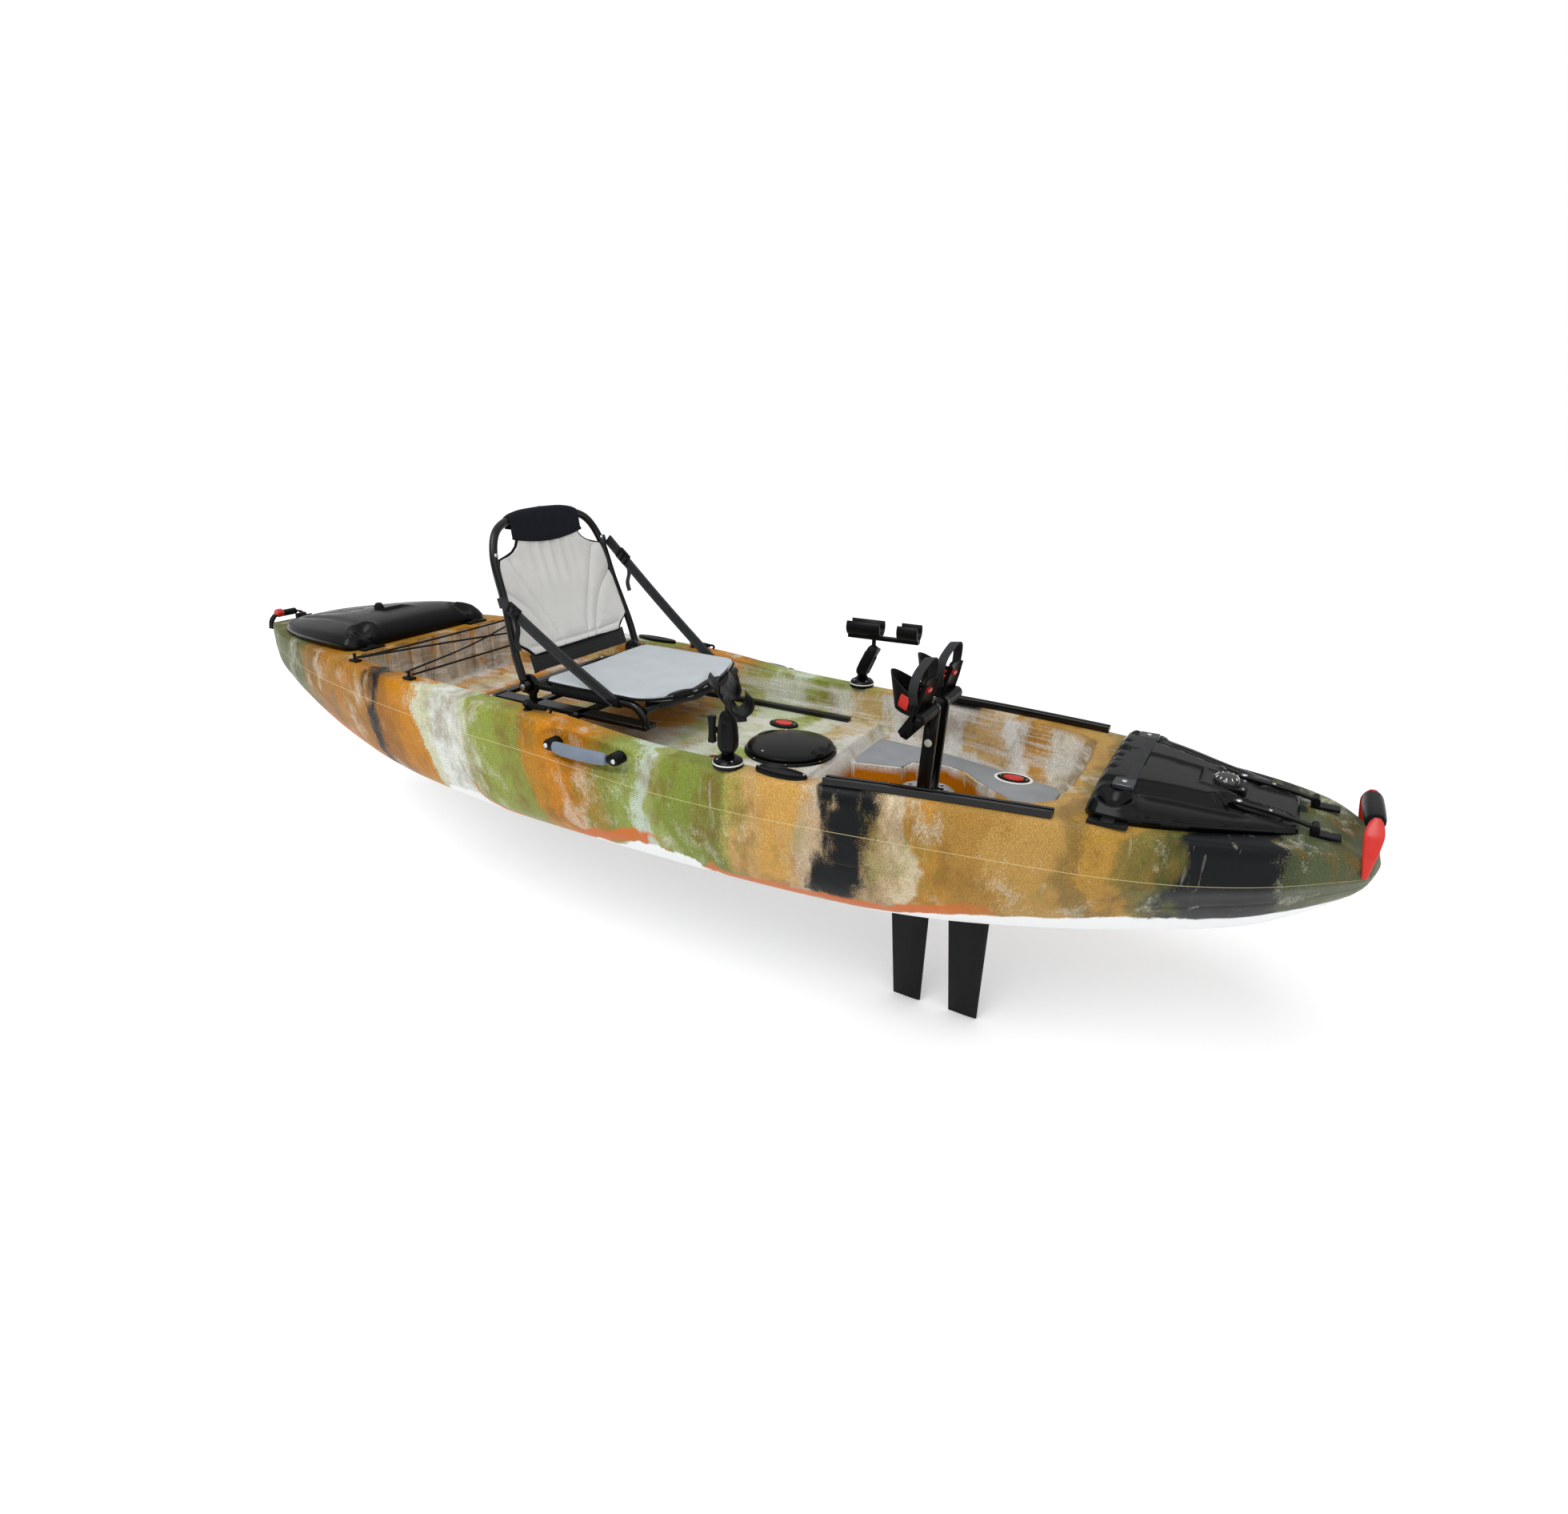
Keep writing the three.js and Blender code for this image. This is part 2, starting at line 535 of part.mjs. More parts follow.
function roundHatch() {
  const seat = DECK.seatFloor + GAP;
  const column = (size, z0, z1) => bar(vec(ROUND.x, 0, z0), vec(ROUND.x, 0, z1), size / 2, ROUND.segments);
  const ring = cut(
    join(
      column(ROUND.ringOuter, seat, seat + ROUND.ringThick),
      column(ROUND.neckOuter, seat - ROUND.neckDrop, seat + ROUND.ringThick / 2),
    ),
    column(ROUND.bore, seat - OVERRUN, seat + OVERRUN),
  );
  piece('round_hatch_ring', ring, BLACK_PLASTIC);
  const foot = seat + ROUND.ringThick + GAP;
  const lidHigh = ROUND.lidEdge + ROUND.lidDome - ROUND.ringThick;
  const profile = [
    [0, 0], [0.94, 0], [1, 0.12], [1, 0.3], [0.93, 0.44], [0.7, 0.78], [0.4, 0.94], [0, 1],
  ].map(([reach, rise]) => new THREE.Vector2((reach * ROUND.lid) / 2, rise * lidHigh));
  const lid = new THREE.LatheGeometry(profile, ROUND.segments);
  lid.rotateX(Math.PI / 2);
  lid.translate(ROUND.x, 0, foot);
  piece('round_hatch_lid', solid(lid), BLACK_PLASTIC);
}

// A strip that follows the top of a gunwale
function gunwaleStrip(x0, x1, half0, half1, width, height, steps, side) {
  const rings = [];
  for (let i = 0; i <= steps; i += 1) {
    const share = i / steps;
    const x = x0 + (x1 - x0) * share;
    const y = side * (half0 + (half1 - half0) * share);
    const z = sheerAt(x);
    const [a, b] = [y - width / 2, y + width / 2];
    rings.push([vec(x, a, z), vec(x, b, z), vec(x, b, z + height), vec(x, a, z + height)]);
  }
  return cut(solid(loft(rings, sectionOf)), hullSkin);
}

function tracksAndRails() {
  for (const [name, side] of SIDES) {
    const track = gunwaleStrip(
      TRACK.aft, TRACK.fore, TRACK.halfAft, TRACK.halfFore, TRACK.width, TRACK.height, TRACK.steps, side,
    );
    piece(`gear_track_${name}`, track, BLACK_ALUMINIUM);
    const foot = DECK.seatFloor + GAP;
    const rail = block(
      RAIL.aft, RAIL.fore, side * (RAIL.half - RAIL.width / 2), side * (RAIL.half + RAIL.width / 2),
      foot, foot + RAIL.height,
    );
    piece(`seat_rail_${name}`, rail, BLACK_ALUMINIUM);
  }
}

function gunwaleFittings() {
  const flush = gunwaleStrip(
    FLUSH.aft, FLUSH.fore, FLUSH.half, FLUSH.half, FLUSH.width, FLUSH.height, TRACK.steps, SIDES[0][1],
  );
  piece('flush_socket', flush, BLACK_PLASTIC);
  const holder = gunwaleStrip(
    OVAL.x - OVAL.length / 2, OVAL.x + OVAL.length / 2, OVAL.half, OVAL.half, OVAL.width, OVAL.height, TRACK.steps,
    SIDES[1][1],
  );
  const seat = oval(OVAL.x, OVAL.half, OVAL.length, OVAL.width, VALVE.segments);
  piece('oval_holder', holder.intersect(plate(seat, 0, HULL.depth + OVERRUN)), BLACK_PLASTIC);
  const seatZ = sheerAt(KEEPER.x) + GAP;
  const centre = vec(KEEPER.x, SIDES[0][1] * KEEPER.half, seatZ);
  const up = (z) => centre.clone().setZ(seatZ + z);
  const keeper = join(
    bar(centre, up(KEEPER.height), KEEPER.base / 2),
    bar(up(KEEPER.height / 2), up(KEEPER.height + KEEPER.ball / 2), KEEPER.stalk / 2),
    ball(up(KEEPER.height + KEEPER.ball / 2), KEEPER.ball / 2),
  );
  piece('paddle_keeper', cut(keeper, hullSkin), BLACK_PLASTIC);
}

// Carry handles on the sides: a strap screwed down at both ends, with a grip round it
function sideHandles() {
  const half = HANDLE.length / 2;
  const gripHalf = HANDLE.gripLength / 2;
  for (const [name, side] of SIDES) {
    const skin = (x) => side * (halfBeamAt(x) + GAP);
    const out = (x, by) => vec(x, skin(x) + side * by, HANDLE.z);
    const [aft, fore] = [HANDLE.x - half, HANDLE.x + half];
    const feet = [[aft, aft + HANDLE.footLength], [fore - HANDLE.footLength, fore]].map(([x0, x1]) => {
      const inner = skin(x0) - side * SIDE_RECESS.deep;
      const foot = block(
        x0, x1, inner, skin(HANDLE.x) + side * HANDLE.out, HANDLE.z - HANDLE.width / 2, HANDLE.z + HANDLE.width / 2,
      );
      return cut(foot, cut(hullSkin, sideRecess(side, -GAP)));
    });
    const spine = [
      out(aft + HANDLE.footLength / 2, HANDLE.out),
      out(HANDLE.x - gripHalf, HANDLE.bow),
      out(HANDLE.x, HANDLE.bow + HANDLE.thick),
      out(HANDLE.x + gripHalf, HANDLE.bow),
      out(fore - HANDLE.footLength / 2, HANDLE.out),
    ];
    piece(`side_handle_strap_${name}`, join(tube(spine, HANDLE.core, 14), ...feet), BLACK_PLASTIC);
    const grip = tube(spine.slice(1, 4), HANDLE.grip, 6, 12);
    piece(`side_handle_grip_${name}`, cut(grip, tube(spine, HANDLE.core + GAP * 2, 14)), GREY_RUBBER);
  }
}

// A tip handle: a grip across the deck on a rope whose tabs lie on the hull's sides
function toggle(name, at, gripMaterial, ropeMaterial) {
  const deck = sheerAt(at.x);
  const tabHalf = halfBeamAt(at.x) + at.tabOut;
  const lift = (y) => deck + at.above + at.rise * (1 - (y / tabHalf) ** 2);
  const end = vec(at.x, at.half, lift(at.half));
  const line = [vec(at.x, -at.half, lift(at.half)), vec(at.x, 0, lift(0)), end];
  const tabs = SIDES.map(([, side]) => {
    const top = vec(at.x, side * (at.half + TOGGLE.tab), lift(at.half) - TOGGLE.rope);
    const low = vec(at.x, side * tabHalf, deck - at.tabBelow);
    return join(
      bar(top, low, TOGGLE.tab / 2, TOGGLE.sides, TOGGLE.tab / 4),
      ball(top, TOGGLE.tab / 2, TOGGLE.sides),
      ball(low, TOGGLE.tab / 4, TOGGLE.sides),
    );
  });
  const rope = [
    vec(at.x, -at.half - TOGGLE.tab, lift(at.half) - TOGGLE.rope),
    ...line,
    vec(at.x, at.half + TOGGLE.tab, lift(at.half) - TOGGLE.rope),
  ];
  const strap = cut(join(tube(rope, TOGGLE.rope, 14, TOGGLE.sides), ...tabs), hullSkin);
  const grip = cut(tube(line, TOGGLE.grip, 6, 14), hullSkin);
  if (name === 'stern') {
    piece('stern_handle', join(strap, grip), gripMaterial);
    return;
  }
  piece(`${name}_handle_strap`, strap, ropeMaterial);
  const clear = tube(rope, TOGGLE.rope + GAP * 2, 14, TOGGLE.sides);
  piece(`${name}_handle_grip`, cut(grip, clear), gripMaterial);
}

// Hatch covers

// A cover's outside from stations [x, half width, height] that follow the sheer
function coverForm(stations, lift) {
  const rings = stations.map(([x, half, high]) => {
    const foot = sheerAt(x) + lift;
    const port = COVER_SECTION_SHARES.map(([reach, rise]) => vec(x, half * reach, foot + high * rise));
    const starboard = port.slice(1).map((p) => vec(p.x, -p.y, p.z)).reverse();
    return [...port, ...starboard];
  });
  return solid(loft(rings, sectionOf));
}

// The cover itself, open below
function coverShell(stations) {
  const last = stations.length - 1;
  const inner = stations.map(([x, half, high], i) => {
    const inward = (i === 0 ? COVER_WALL : 0) - (i === last ? COVER_WALL : 0);
    return [x + inward, half - COVER_WALL, high];
  });
  return cut(coverForm(stations, 0), hullSkin, coverForm(inner, -COVER_WALL));
}

function coverTop(stations, x, reach) {
  const halves = stations.map(([at, half]) => [at, half]);
  const heights = stations.map(([at, , high]) => [at, high]);
  const rise = shareAt(COVER_SECTION_SHARES, Math.abs(reach) / shareAt(halves, x));
  return sheerAt(x) + shareAt(heights, x) * rise;
}

function bowHatch() {
  const pivotZ = sheerAt(HINGE.x) + HINGE.rise;
  const arms = SIDES.map(([, side]) => {
    const y = side * HINGE.half;
    const [y0, y1] = [y - HINGE.armWidth / 2, y + HINGE.armWidth / 2];
    const rings = [HINGE.armAft, BOW_COVER_STATIONS.at(-1)[0], HINGE.x].map((x) => {
      const onCover = x < HINGE.x - HINGE.eye;
      const cover = coverTop(BOW_COVER_STATIONS, x, HINGE.half);
      const top = onCover ? cover + HINGE.armThick : pivotZ + HINGE.armThick / 2;
      const low = onCover ? top - HINGE.armThick * 2 : pivotZ - HINGE.armThick / 2;
      return [vec(x, y0, low), vec(x, y1, low), vec(x, y1, top), vec(x, y0, top)];
    });
    const eye = bar(vec(HINGE.x, y0, pivotZ), vec(HINGE.x, y1, pivotZ), HINGE.eye / 2);
    const bore = bar(
      vec(HINGE.x, y0 - OVERRUN, pivotZ), vec(HINGE.x, y1 + OVERRUN, pivotZ), HINGE.pin / 2 + RUN, 12,
    );
    return cut(join(solid(loft(rings, sectionOf)), eye), bore);
  });
  piece('bow_hatch_cover', join(coverShell(BOW_COVER_STATIONS), ...arms), BLACK_PLASTIC);
  for (const [name, side] of SIDES) {
    piece(`bow_hinge_${name}`, hingeBracket(side * HINGE.half, pivotZ), BLACK_PLASTIC);
  }
  bowStrap();
  compass();
}

// A bracket on the deck: two lugs with the hinge pin between them, on a screwed base
function hingeBracket(y, pivotZ) {
  const inner = HINGE.armWidth / 2 + RUN;
  const foot = Math.max(sheerAt(HINGE.x - HINGE.eye / 2), sheerAt(HINGE.x + HINGE.base)) + GAP;
  const lugs = [-1, 1].map((end) => {
    const [a, b] = [y + end * inner, y + end * (inner + HINGE.lug)];
    return join(
      bar(vec(HINGE.x, a, pivotZ), vec(HINGE.x, b, pivotZ), HINGE.eye / 2),
      block(HINGE.x - HINGE.eye / 2, HINGE.x + HINGE.eye / 2, a, b, foot, pivotZ),
    );
  });
  const width = inner + HINGE.lug;
  const base = block(
    HINGE.x + HINGE.eye / 2 + RUN, HINGE.x + HINGE.base, y - width, y + width, foot, foot + HINGE.lug,
  );
  const ties = [-1, 1].map((end) => block(
    HINGE.x - HINGE.eye / 2, HINGE.x + HINGE.base, y + end * inner, y + end * width, foot, foot + HINGE.lug,
  ));
  const pin = bar(vec(HINGE.x, y - width, pivotZ), vec(HINGE.x, y + width, pivotZ), HINGE.pin / 2, 12);
  return join(...lugs, base, ...ties, pin);
}

// Webbing across the cover, held by a plate at each end
function bowStrap() {
  const band = [];
  const [x0, x1] = [STRAP.x - STRAP.width / 2, STRAP.x + STRAP.width / 2];
  const count = 12;
  for (let i = 0; i <= count; i += 1) {
    const y = THREE.MathUtils.lerp(STRAP.half, -STRAP.half, i / count);
    const z = Math.max(coverTop(BOW_COVER_STATIONS, x0, y), coverTop(BOW_COVER_STATIONS, x1, y)) + STRAP.thick;
    band.push([vec(x0, y, z), vec(x1, y, z), vec(x1, y, z + STRAP.thick), vec(x0, y, z + STRAP.thick)]);
  }
  const webbing = solid(loft(band, (p) => new THREE.Vector2(p.x, p.z)));
  const cover = coverForm(BOW_COVER_STATIONS, GAP);
  const plates = SIDES.map(([, side]) => {
    const y = side * STRAP.half;
    const top = coverTop(BOW_COVER_STATIONS, STRAP.x, STRAP.half - STRAP.plateLong / 2) + STRAP.plateThick;
    return block(
      STRAP.x - STRAP.plate / 2, STRAP.x + STRAP.plate / 2, y - STRAP.plateLong / 2, y + STRAP.plateLong / 2,
      top - STRAP.plateThick * 3, top,
    );
  });
  piece('bow_hatch_strap', cut(join(webbing, ...plates), cover), BLACK_WEBBING);
}

function compass() {
  const top = coverTop(BOW_COVER_STATIONS, COMPASS.x - COMPASS.length / 2, 0);
  const base = block(
    COMPASS.x - COMPASS.length / 2, COMPASS.x + COMPASS.length / 2, -COMPASS.width / 2, COMPASS.width / 2,
    top - COMPASS.plate * 3, top + COMPASS.plate / 2,
  );
  const dome = new THREE.SphereGeometry(1, 20, 10);
  dome.scale(COMPASS.dome / 2, COMPASS.dome / 2, COMPASS.domeRise);
  dome.translate(COMPASS.x, 0, top);
  piece('compass', cut(join(base, solid(dome)), coverForm(BOW_COVER_STATIONS, GAP)), COMPASS_GLASS);
}

// Catches beside the covers' free corners
function catches() {
  for (const [name, side] of SIDES) {
    const x = BOW_COVER_STATIONS[1][0] + CATCH.length / 3;
    const rim = shareAt(BOW_COVER_STATIONS.map(([at, half]) => [at, half]), x) + GAP * 4;
    const foot = Math.max(sheerAt(x - CATCH.length / 2), sheerAt(x + CATCH.length / 2)) + GAP;
    const top = foot + CATCH.height;
    const [near, far] = [side * rim, side * (rim + CATCH.width)];
    const tabFar = side * (rim + CATCH.width * CATCH.tabShare);
    const body = join(
      block(x - CATCH.length / 2, x + CATCH.length / 2, near, far, foot, top),
      block(x - CATCH.tab / 2, x + CATCH.tab / 2, near, tabFar, foot, top + CATCH.tabRise),
    );
    piece(`bow_catch_${name}`, body, BLACK_PLASTIC);
    const edge = STERN_COVER_STATIONS.at(-1);
    const y = edge[1] * CATCH.tabShare;
    const deck = Math.max(sheerAt(edge[0]), sheerAt(edge[0] + CATCH.width)) + GAP;
    const front = edge[0] + GAP;
    const end = front + CATCH.width;
    const tabEnd = front + CATCH.width * CATCH.tabShare;
    const high = deck + CATCH.height;
    const stern = join(
      block(front, end, side * (y - CATCH.length / 2), side * (y + CATCH.length / 2), deck, high),
      block(front, tabEnd, side * (y - CATCH.tab / 2), side * (y + CATCH.tab / 2), deck, high + CATCH.tabRise),
    );
    piece(`stern_catch_${name}`, stern, BLACK_PLASTIC);
  }
}

function sternHatch() {
  const pivotZ = sheerAt(STERN_HINGE.x) + STERN_HINGE.rise + STERN_HINGE.eye / 4;
  const half = STERN_HINGE.width / 2;
  const tip = STERN_COVER_STATIONS[0];
  const tongueTop = sheerAt(tip[0]) + tip[2];
  const rings = [tip[0] + STERN_HINGE.base, tip[0], STERN_HINGE.x].map((x, i) => {
    const z = i === 2 ? pivotZ + STERN_HINGE.lug / 2 : tongueTop + GAP;
    const low = z - STERN_HINGE.lug;
    return [vec(x, -half, low), vec(x, half, low), vec(x, half, z), vec(x, -half, z)];
  });
  const eye = bar(vec(STERN_HINGE.x, -half, pivotZ), vec(STERN_HINGE.x, half, pivotZ), STERN_HINGE.eye / 2);
  const bore = bar(
    vec(STERN_HINGE.x, -half - OVERRUN, pivotZ), vec(STERN_HINGE.x, half + OVERRUN, pivotZ),
    STERN_HINGE.pin / 2 + RUN, 12,
  );
  const knobFoot = coverTop(STERN_COVER_STATIONS, KNOB.x, 0) - COVER_WALL / 2;
  const knob = bar(
    vec(KNOB.x, 0, knobFoot), vec(KNOB.x, 0, knobFoot + KNOB.height), KNOB.base / 2, 16, KNOB.top / 2,
  );
  const tongue = cut(join(solid(loft(rings, sectionOf)), eye), bore);
  piece('stern_hatch_cover', join(coverShell(STERN_COVER_STATIONS), tongue, knob), BLACK_PLASTIC);
  const foot = sheerAt(STERN_HINGE.x + STERN_HINGE.eye / 2) + GAP;
  const lugs = [-1, 1].map((end) => {
    const [a, b] = [end * (half + RUN), end * (half + RUN + STERN_HINGE.lug)];
    return join(
      bar(vec(STERN_HINGE.x, a, pivotZ), vec(STERN_HINGE.x, b, pivotZ), STERN_HINGE.eye / 2),
      block(
        STERN_HINGE.x - STERN_HINGE.eye / 2, STERN_HINGE.x + STERN_HINGE.eye / 2, a, b, foot, pivotZ,
      ),
    );
  });
  const reach = half + RUN + STERN_HINGE.lug;
  const pin = bar(vec(STERN_HINGE.x, -reach, pivotZ), vec(STERN_HINGE.x, reach, pivotZ), STERN_HINGE.pin / 2, 12);
  const bracket = join(...lugs, pin);
  piece('stern_hinge', bracket, BLACK_PLASTIC);
}

// Shock cord laced between four hooks on the gunwales

const hookTop = (at) => sheerAt(at.x) + GAP + HOOK.height;

function cordHooks() {
  for (const [place, at] of [['aft', HOOK_AFT], ['fore', HOOK_FORE]]) {
    for (const [name, side] of SIDES) {
      const foot = Math.max(sheerAt(at.x - HOOK.base / 2), sheerAt(at.x + HOOK.base / 2)) + GAP;
      const y = side * at.half;
      const top = foot + HOOK.height;
      const body = join(
        block(at.x - HOOK.base / 2, at.x + HOOK.base / 2, y - HOOK.width / 2, y + HOOK.width / 2, foot, top),
        bar(vec(at.x, y, foot), vec(at.x, y, top + HOOK.postRise), HOOK.post / 2, 12),
      );
      piece(`cord_hook_${place}_${name}`, body, BLACK_PLASTIC);
    }
  }
}

function tankCord() {
  const clear = HOOK.post / 2 + CORD.size / 2 + CORD.slack;
  const low = CORD.size / 2 + GAP * 2;
  const high = low + CORD.size + GAP * 2;
  const { leadShare, tailShare, sideShare } = CORD;
  const at = (hook, side, dx, dy, level) => vec(
    hook.x + dx * clear, side * hook.half + dy * clear, hookTop(hook) + level,
  );
  const points = [
    at(HOOK_FORE, -1, 0, 1, low),
    at(HOOK_FORE, 1, 0, -leadShare, low),
    at(HOOK_FORE, 1, 1, 0, low),
    at(HOOK_FORE, 1, 0, 1, low),
    at(HOOK_FORE, 1, -leadShare, 0, low + CORD.cross / 2),
    vec((HOOK_FORE.x + HOOK_AFT.x) / 2, 0, hookTop(HOOK_FORE) + high + CORD.cross),
    at(HOOK_AFT, -1, leadShare, 0, low + CORD.cross / 2),
    at(HOOK_AFT, -1, 0, -1, low),
    at(HOOK_AFT, -1, -1, 0, low),
    at(HOOK_AFT, -1, 0, leadShare, low),
    at(HOOK_AFT, 1, 0, -leadShare, low),
    at(HOOK_AFT, 1, -1, 0, low),
    at(HOOK_AFT, 1, 0, 1, low),
    at(HOOK_AFT, 1, leadShare, 0, low),
    vec((HOOK_FORE.x + HOOK_AFT.x) / 2, 0, hookTop(HOOK_FORE) + low - CORD.cross),
    at(HOOK_FORE, -1, -tailShare, sideShare, high),
  ];
  piece('tank_cord', solid(sweep(points, roundSection(CORD.size / 2, CORD.sides), CORD.steps)), BLACK_WEBBING);
}

// Seat

// A side tube of the seat, bent down at the front
function seatTube(side, size) {
  const r = SEAT.tube / 2;
  return tube([
    vec(SEAT.pivotX, side * SEAT.half, SEAT.pivotZ),
    vec((SEAT.pivotX + SEAT.front) / 2, side * SEAT.half, SEAT.pivotZ),
    vec(SEAT.front - r * 4, side * SEAT.half, SEAT.pivotZ),
    vec(SEAT.front - r * 2, side * SEAT.half, SEAT.pivotZ - r / 4),
    vec(SEAT.front, side * SEAT.half, SEAT.pivotZ - r),
    vec(SEAT.front + r / 2, side * SEAT.half, SEAT.pivotZ - SEAT.frontDrop),
  ], size, 12);
}

function seatFrame() {
  const r = SEAT.tube / 2;
  const level = SEAT.pivotZ;
  const sides = SIDES.map(([, side]) => seatTube(side, SEAT.tube));
  const across = [SEAT.pivotX + r * 2, SEAT.front].map((x) => bar(
    vec(x, -SEAT.half, level - (x > 0 ? r : 0)), vec(x, SEAT.half, level - (x > 0 ? r : 0)), r, 10,
  ));
  const [railLow, railTop] = [SEAT.railZ, SEAT.railZ + SEAT.railHigh];
  const long = SEAT.front - SEAT.pivotX;
  const rails = SEAT_CROSS_SHARES.map((share) => {
    const [a, b] = [-1, 1].map((end) => SEAT.pivotX + share * long + (end * SEAT.railWide) / 2);
    return block(a, b, -SEAT.crossHalf, SEAT.crossHalf, railLow, railTop);
  });
  const feet = SEAT_CROSS_SHARES.flatMap((share) => SIDES.map(([, side]) => {
    const x = SEAT.pivotX + share * long;
    const y = side * SEAT.postHalf;
    return bar(vec(x, y, DECK.seatFloor + GAP), vec(x, y, railTop), SEAT.post / 2, 10);
  }));
  const stringers = SIDES.map(([, side]) => block(
    SEAT.pivotX + SEAT_CROSS_SHARES[0] * long, SEAT.front + r, side * SEAT.stringer, side * (SEAT.half + r),
    railLow, railTop,
  ));
  const legs = SIDES.map(([, side]) => bar(
    vec(SEAT.pivotX, side * SEAT.half, railLow), vec(SEAT.pivotX, side * SEAT.half, level), r, 10,
  ));
  const hubs = SIDES.flatMap(([, side]) => {
    const inner = side * SEAT.half;
    const face = side * (SEAT.half + r + SEAT.hubThick / 2);
    const end = side * (BACK.half + SEAT.eyeThick / 2 + SEAT.hubThick);
    return [
      bar(vec(SEAT.pivotX, inner, level), vec(SEAT.pivotX, face, level), SEAT.hub / 2, 20),
      bar(vec(SEAT.pivotX, inner, level), vec(SEAT.pivotX, end, level), SEAT.pin / 2, 12),
    ];
  });
  const made = join(...sides, ...across, ...rails, ...feet, ...stringers, ...legs, ...hubs);
  piece('seat_frame', made, BLACK_ALUMINIUM);
}

function seatPan() {
  const low = SEAT.pivotZ + SEAT.tube / 2 + GAP;
  const top = low + PAN.thick;
  const flat = mirrored(PAN_HALVES);
  const body = solid(loft([
    inflate(flat, -PAN.crown).map((p) => vec(p.x, p.y, low)),
    flat.map((p) => vec(p.x, p.y, (low + top) / 2)),
    inflate(flat, -PAN.crown * 2).map((p) => vec(p.x, p.y, top)),
  ], planOf));
  const clear = SIDES.map(([, side]) => seatTube(side, SEAT.tube + GAP * 2));
  piece('seat_pan', cut(body, ...clear), GREY_FABRIC);
}

// The back is drawn upright and then leant about its pivot
function leanBack(body) {
  const matrix = new THREE.Matrix4()
    .makeTranslation(SEAT.pivotX, 0, SEAT.pivotZ)
    .multiply(new THREE.Matrix4().makeRotationY(-radians(BACK.lean)))
    .multiply(new THREE.Matrix4().makeTranslation(-SEAT.pivotX, 0, -SEAT.pivotZ));
  const geometry = geometryOf(body);
  geometry.applyMatrix4(matrix);
  return solid(geometry);
}

function backPath() {
  const at = (half, rise) => vec(SEAT.pivotX, half, SEAT.pivotZ + rise);
  const port = BACK_LOOP.map(([half, rise]) => at(half, rise));
  const starboard = port.map((p) => vec(p.x, -p.y, p.z)).reverse();
  return [...port, at(0, BACK.rise), ...starboard];
}

function seatBack() {
  const eyes = SIDES.map(([, side]) => {
    const [a, b] = [side * (BACK.half - SEAT.eyeThick / 2), side * (BACK.half + SEAT.eyeThick / 2)];
    return bar(vec(SEAT.pivotX, a, SEAT.pivotZ), vec(SEAT.pivotX, b, SEAT.pivotZ), SEAT.eye / 2, 20);
  });
  const bore = bar(
    vec(SEAT.pivotX, -BACK.half - OVERRUN, SEAT.pivotZ), vec(SEAT.pivotX, BACK.half + OVERRUN, SEAT.pivotZ),
    SEAT.pin / 2 + RUN, 12,
  );
  const loop = tube(backPath(), SEAT.tube, 30);
  piece('seat_back_frame', leanBack(cut(join(loop, ...eyes), bore)), BLACK_ALUMINIUM);
  const edge = BACK_PANEL.map(([half, rise]) => new THREE.Vector2(half, SEAT.pivotZ + rise));
  const outline = [...edge, ...edge.map((p) => new THREE.Vector2(-p.x, p.y)).reverse()];
  const half = BACK.panelThick / 2;
  const ring = (list, dx) => list.map((p) => vec(SEAT.pivotX + dx, p.x, p.y));
  const panel = solid(loft([
    ring(inflate(outline, -half / 2), -half), ring(outline, 0), ring(inflate(outline, -half / 2), half),
  ], sectionOf));
  const grown = tube(backPath(), SEAT.tube + GAP * 2, 30);
  const trimmed = cut(panel, grown).decompose().sort((a, b) => b.volume() - a.volume())[0];
  piece('seat_back', leanBack(trimmed), GREY_FABRIC);
  const turn = radians(BACK.lean);
  const loopHalves = BACK_LOOP.map(([half, rise]) => [rise, half]);
  SIDES.forEach(([name, side], i) => {
    const rise = BACK.rise * BACK_STRAP.riseShares[i];
    const topX = SEAT.pivotX - rise * Math.sin(turn);
    const topZ = SEAT.pivotZ + rise * Math.cos(turn);
    const shoulder = shareAt(loopHalves, rise) + SEAT.tube / 2 + BACK_STRAP.clear;
    const foot = SEAT.half + SEAT.tube / 2 + GAP;
    const from = vec(topX, side * shoulder, topZ);
    const to = vec(BACK_STRAP.front, side * foot, SEAT.pivotZ);
    const across = vec(to.z - from.z, 0, from.x - to.x).normalize().multiplyScalar(BACK_STRAP.width / 2);
    const out = vec(0, side * BACK_STRAP.thick, 0);
    const rings = [from, to].map((p) => [
      p.clone().add(across), p.clone().sub(across), p.clone().sub(across).add(out), p.clone().add(across).add(out),
    ]);
    piece(`seat_strap_${name}`, solid(loft(rings, (p) => new THREE.Vector2(p.y, p.z))), BLACK_WEBBING);
  });
}

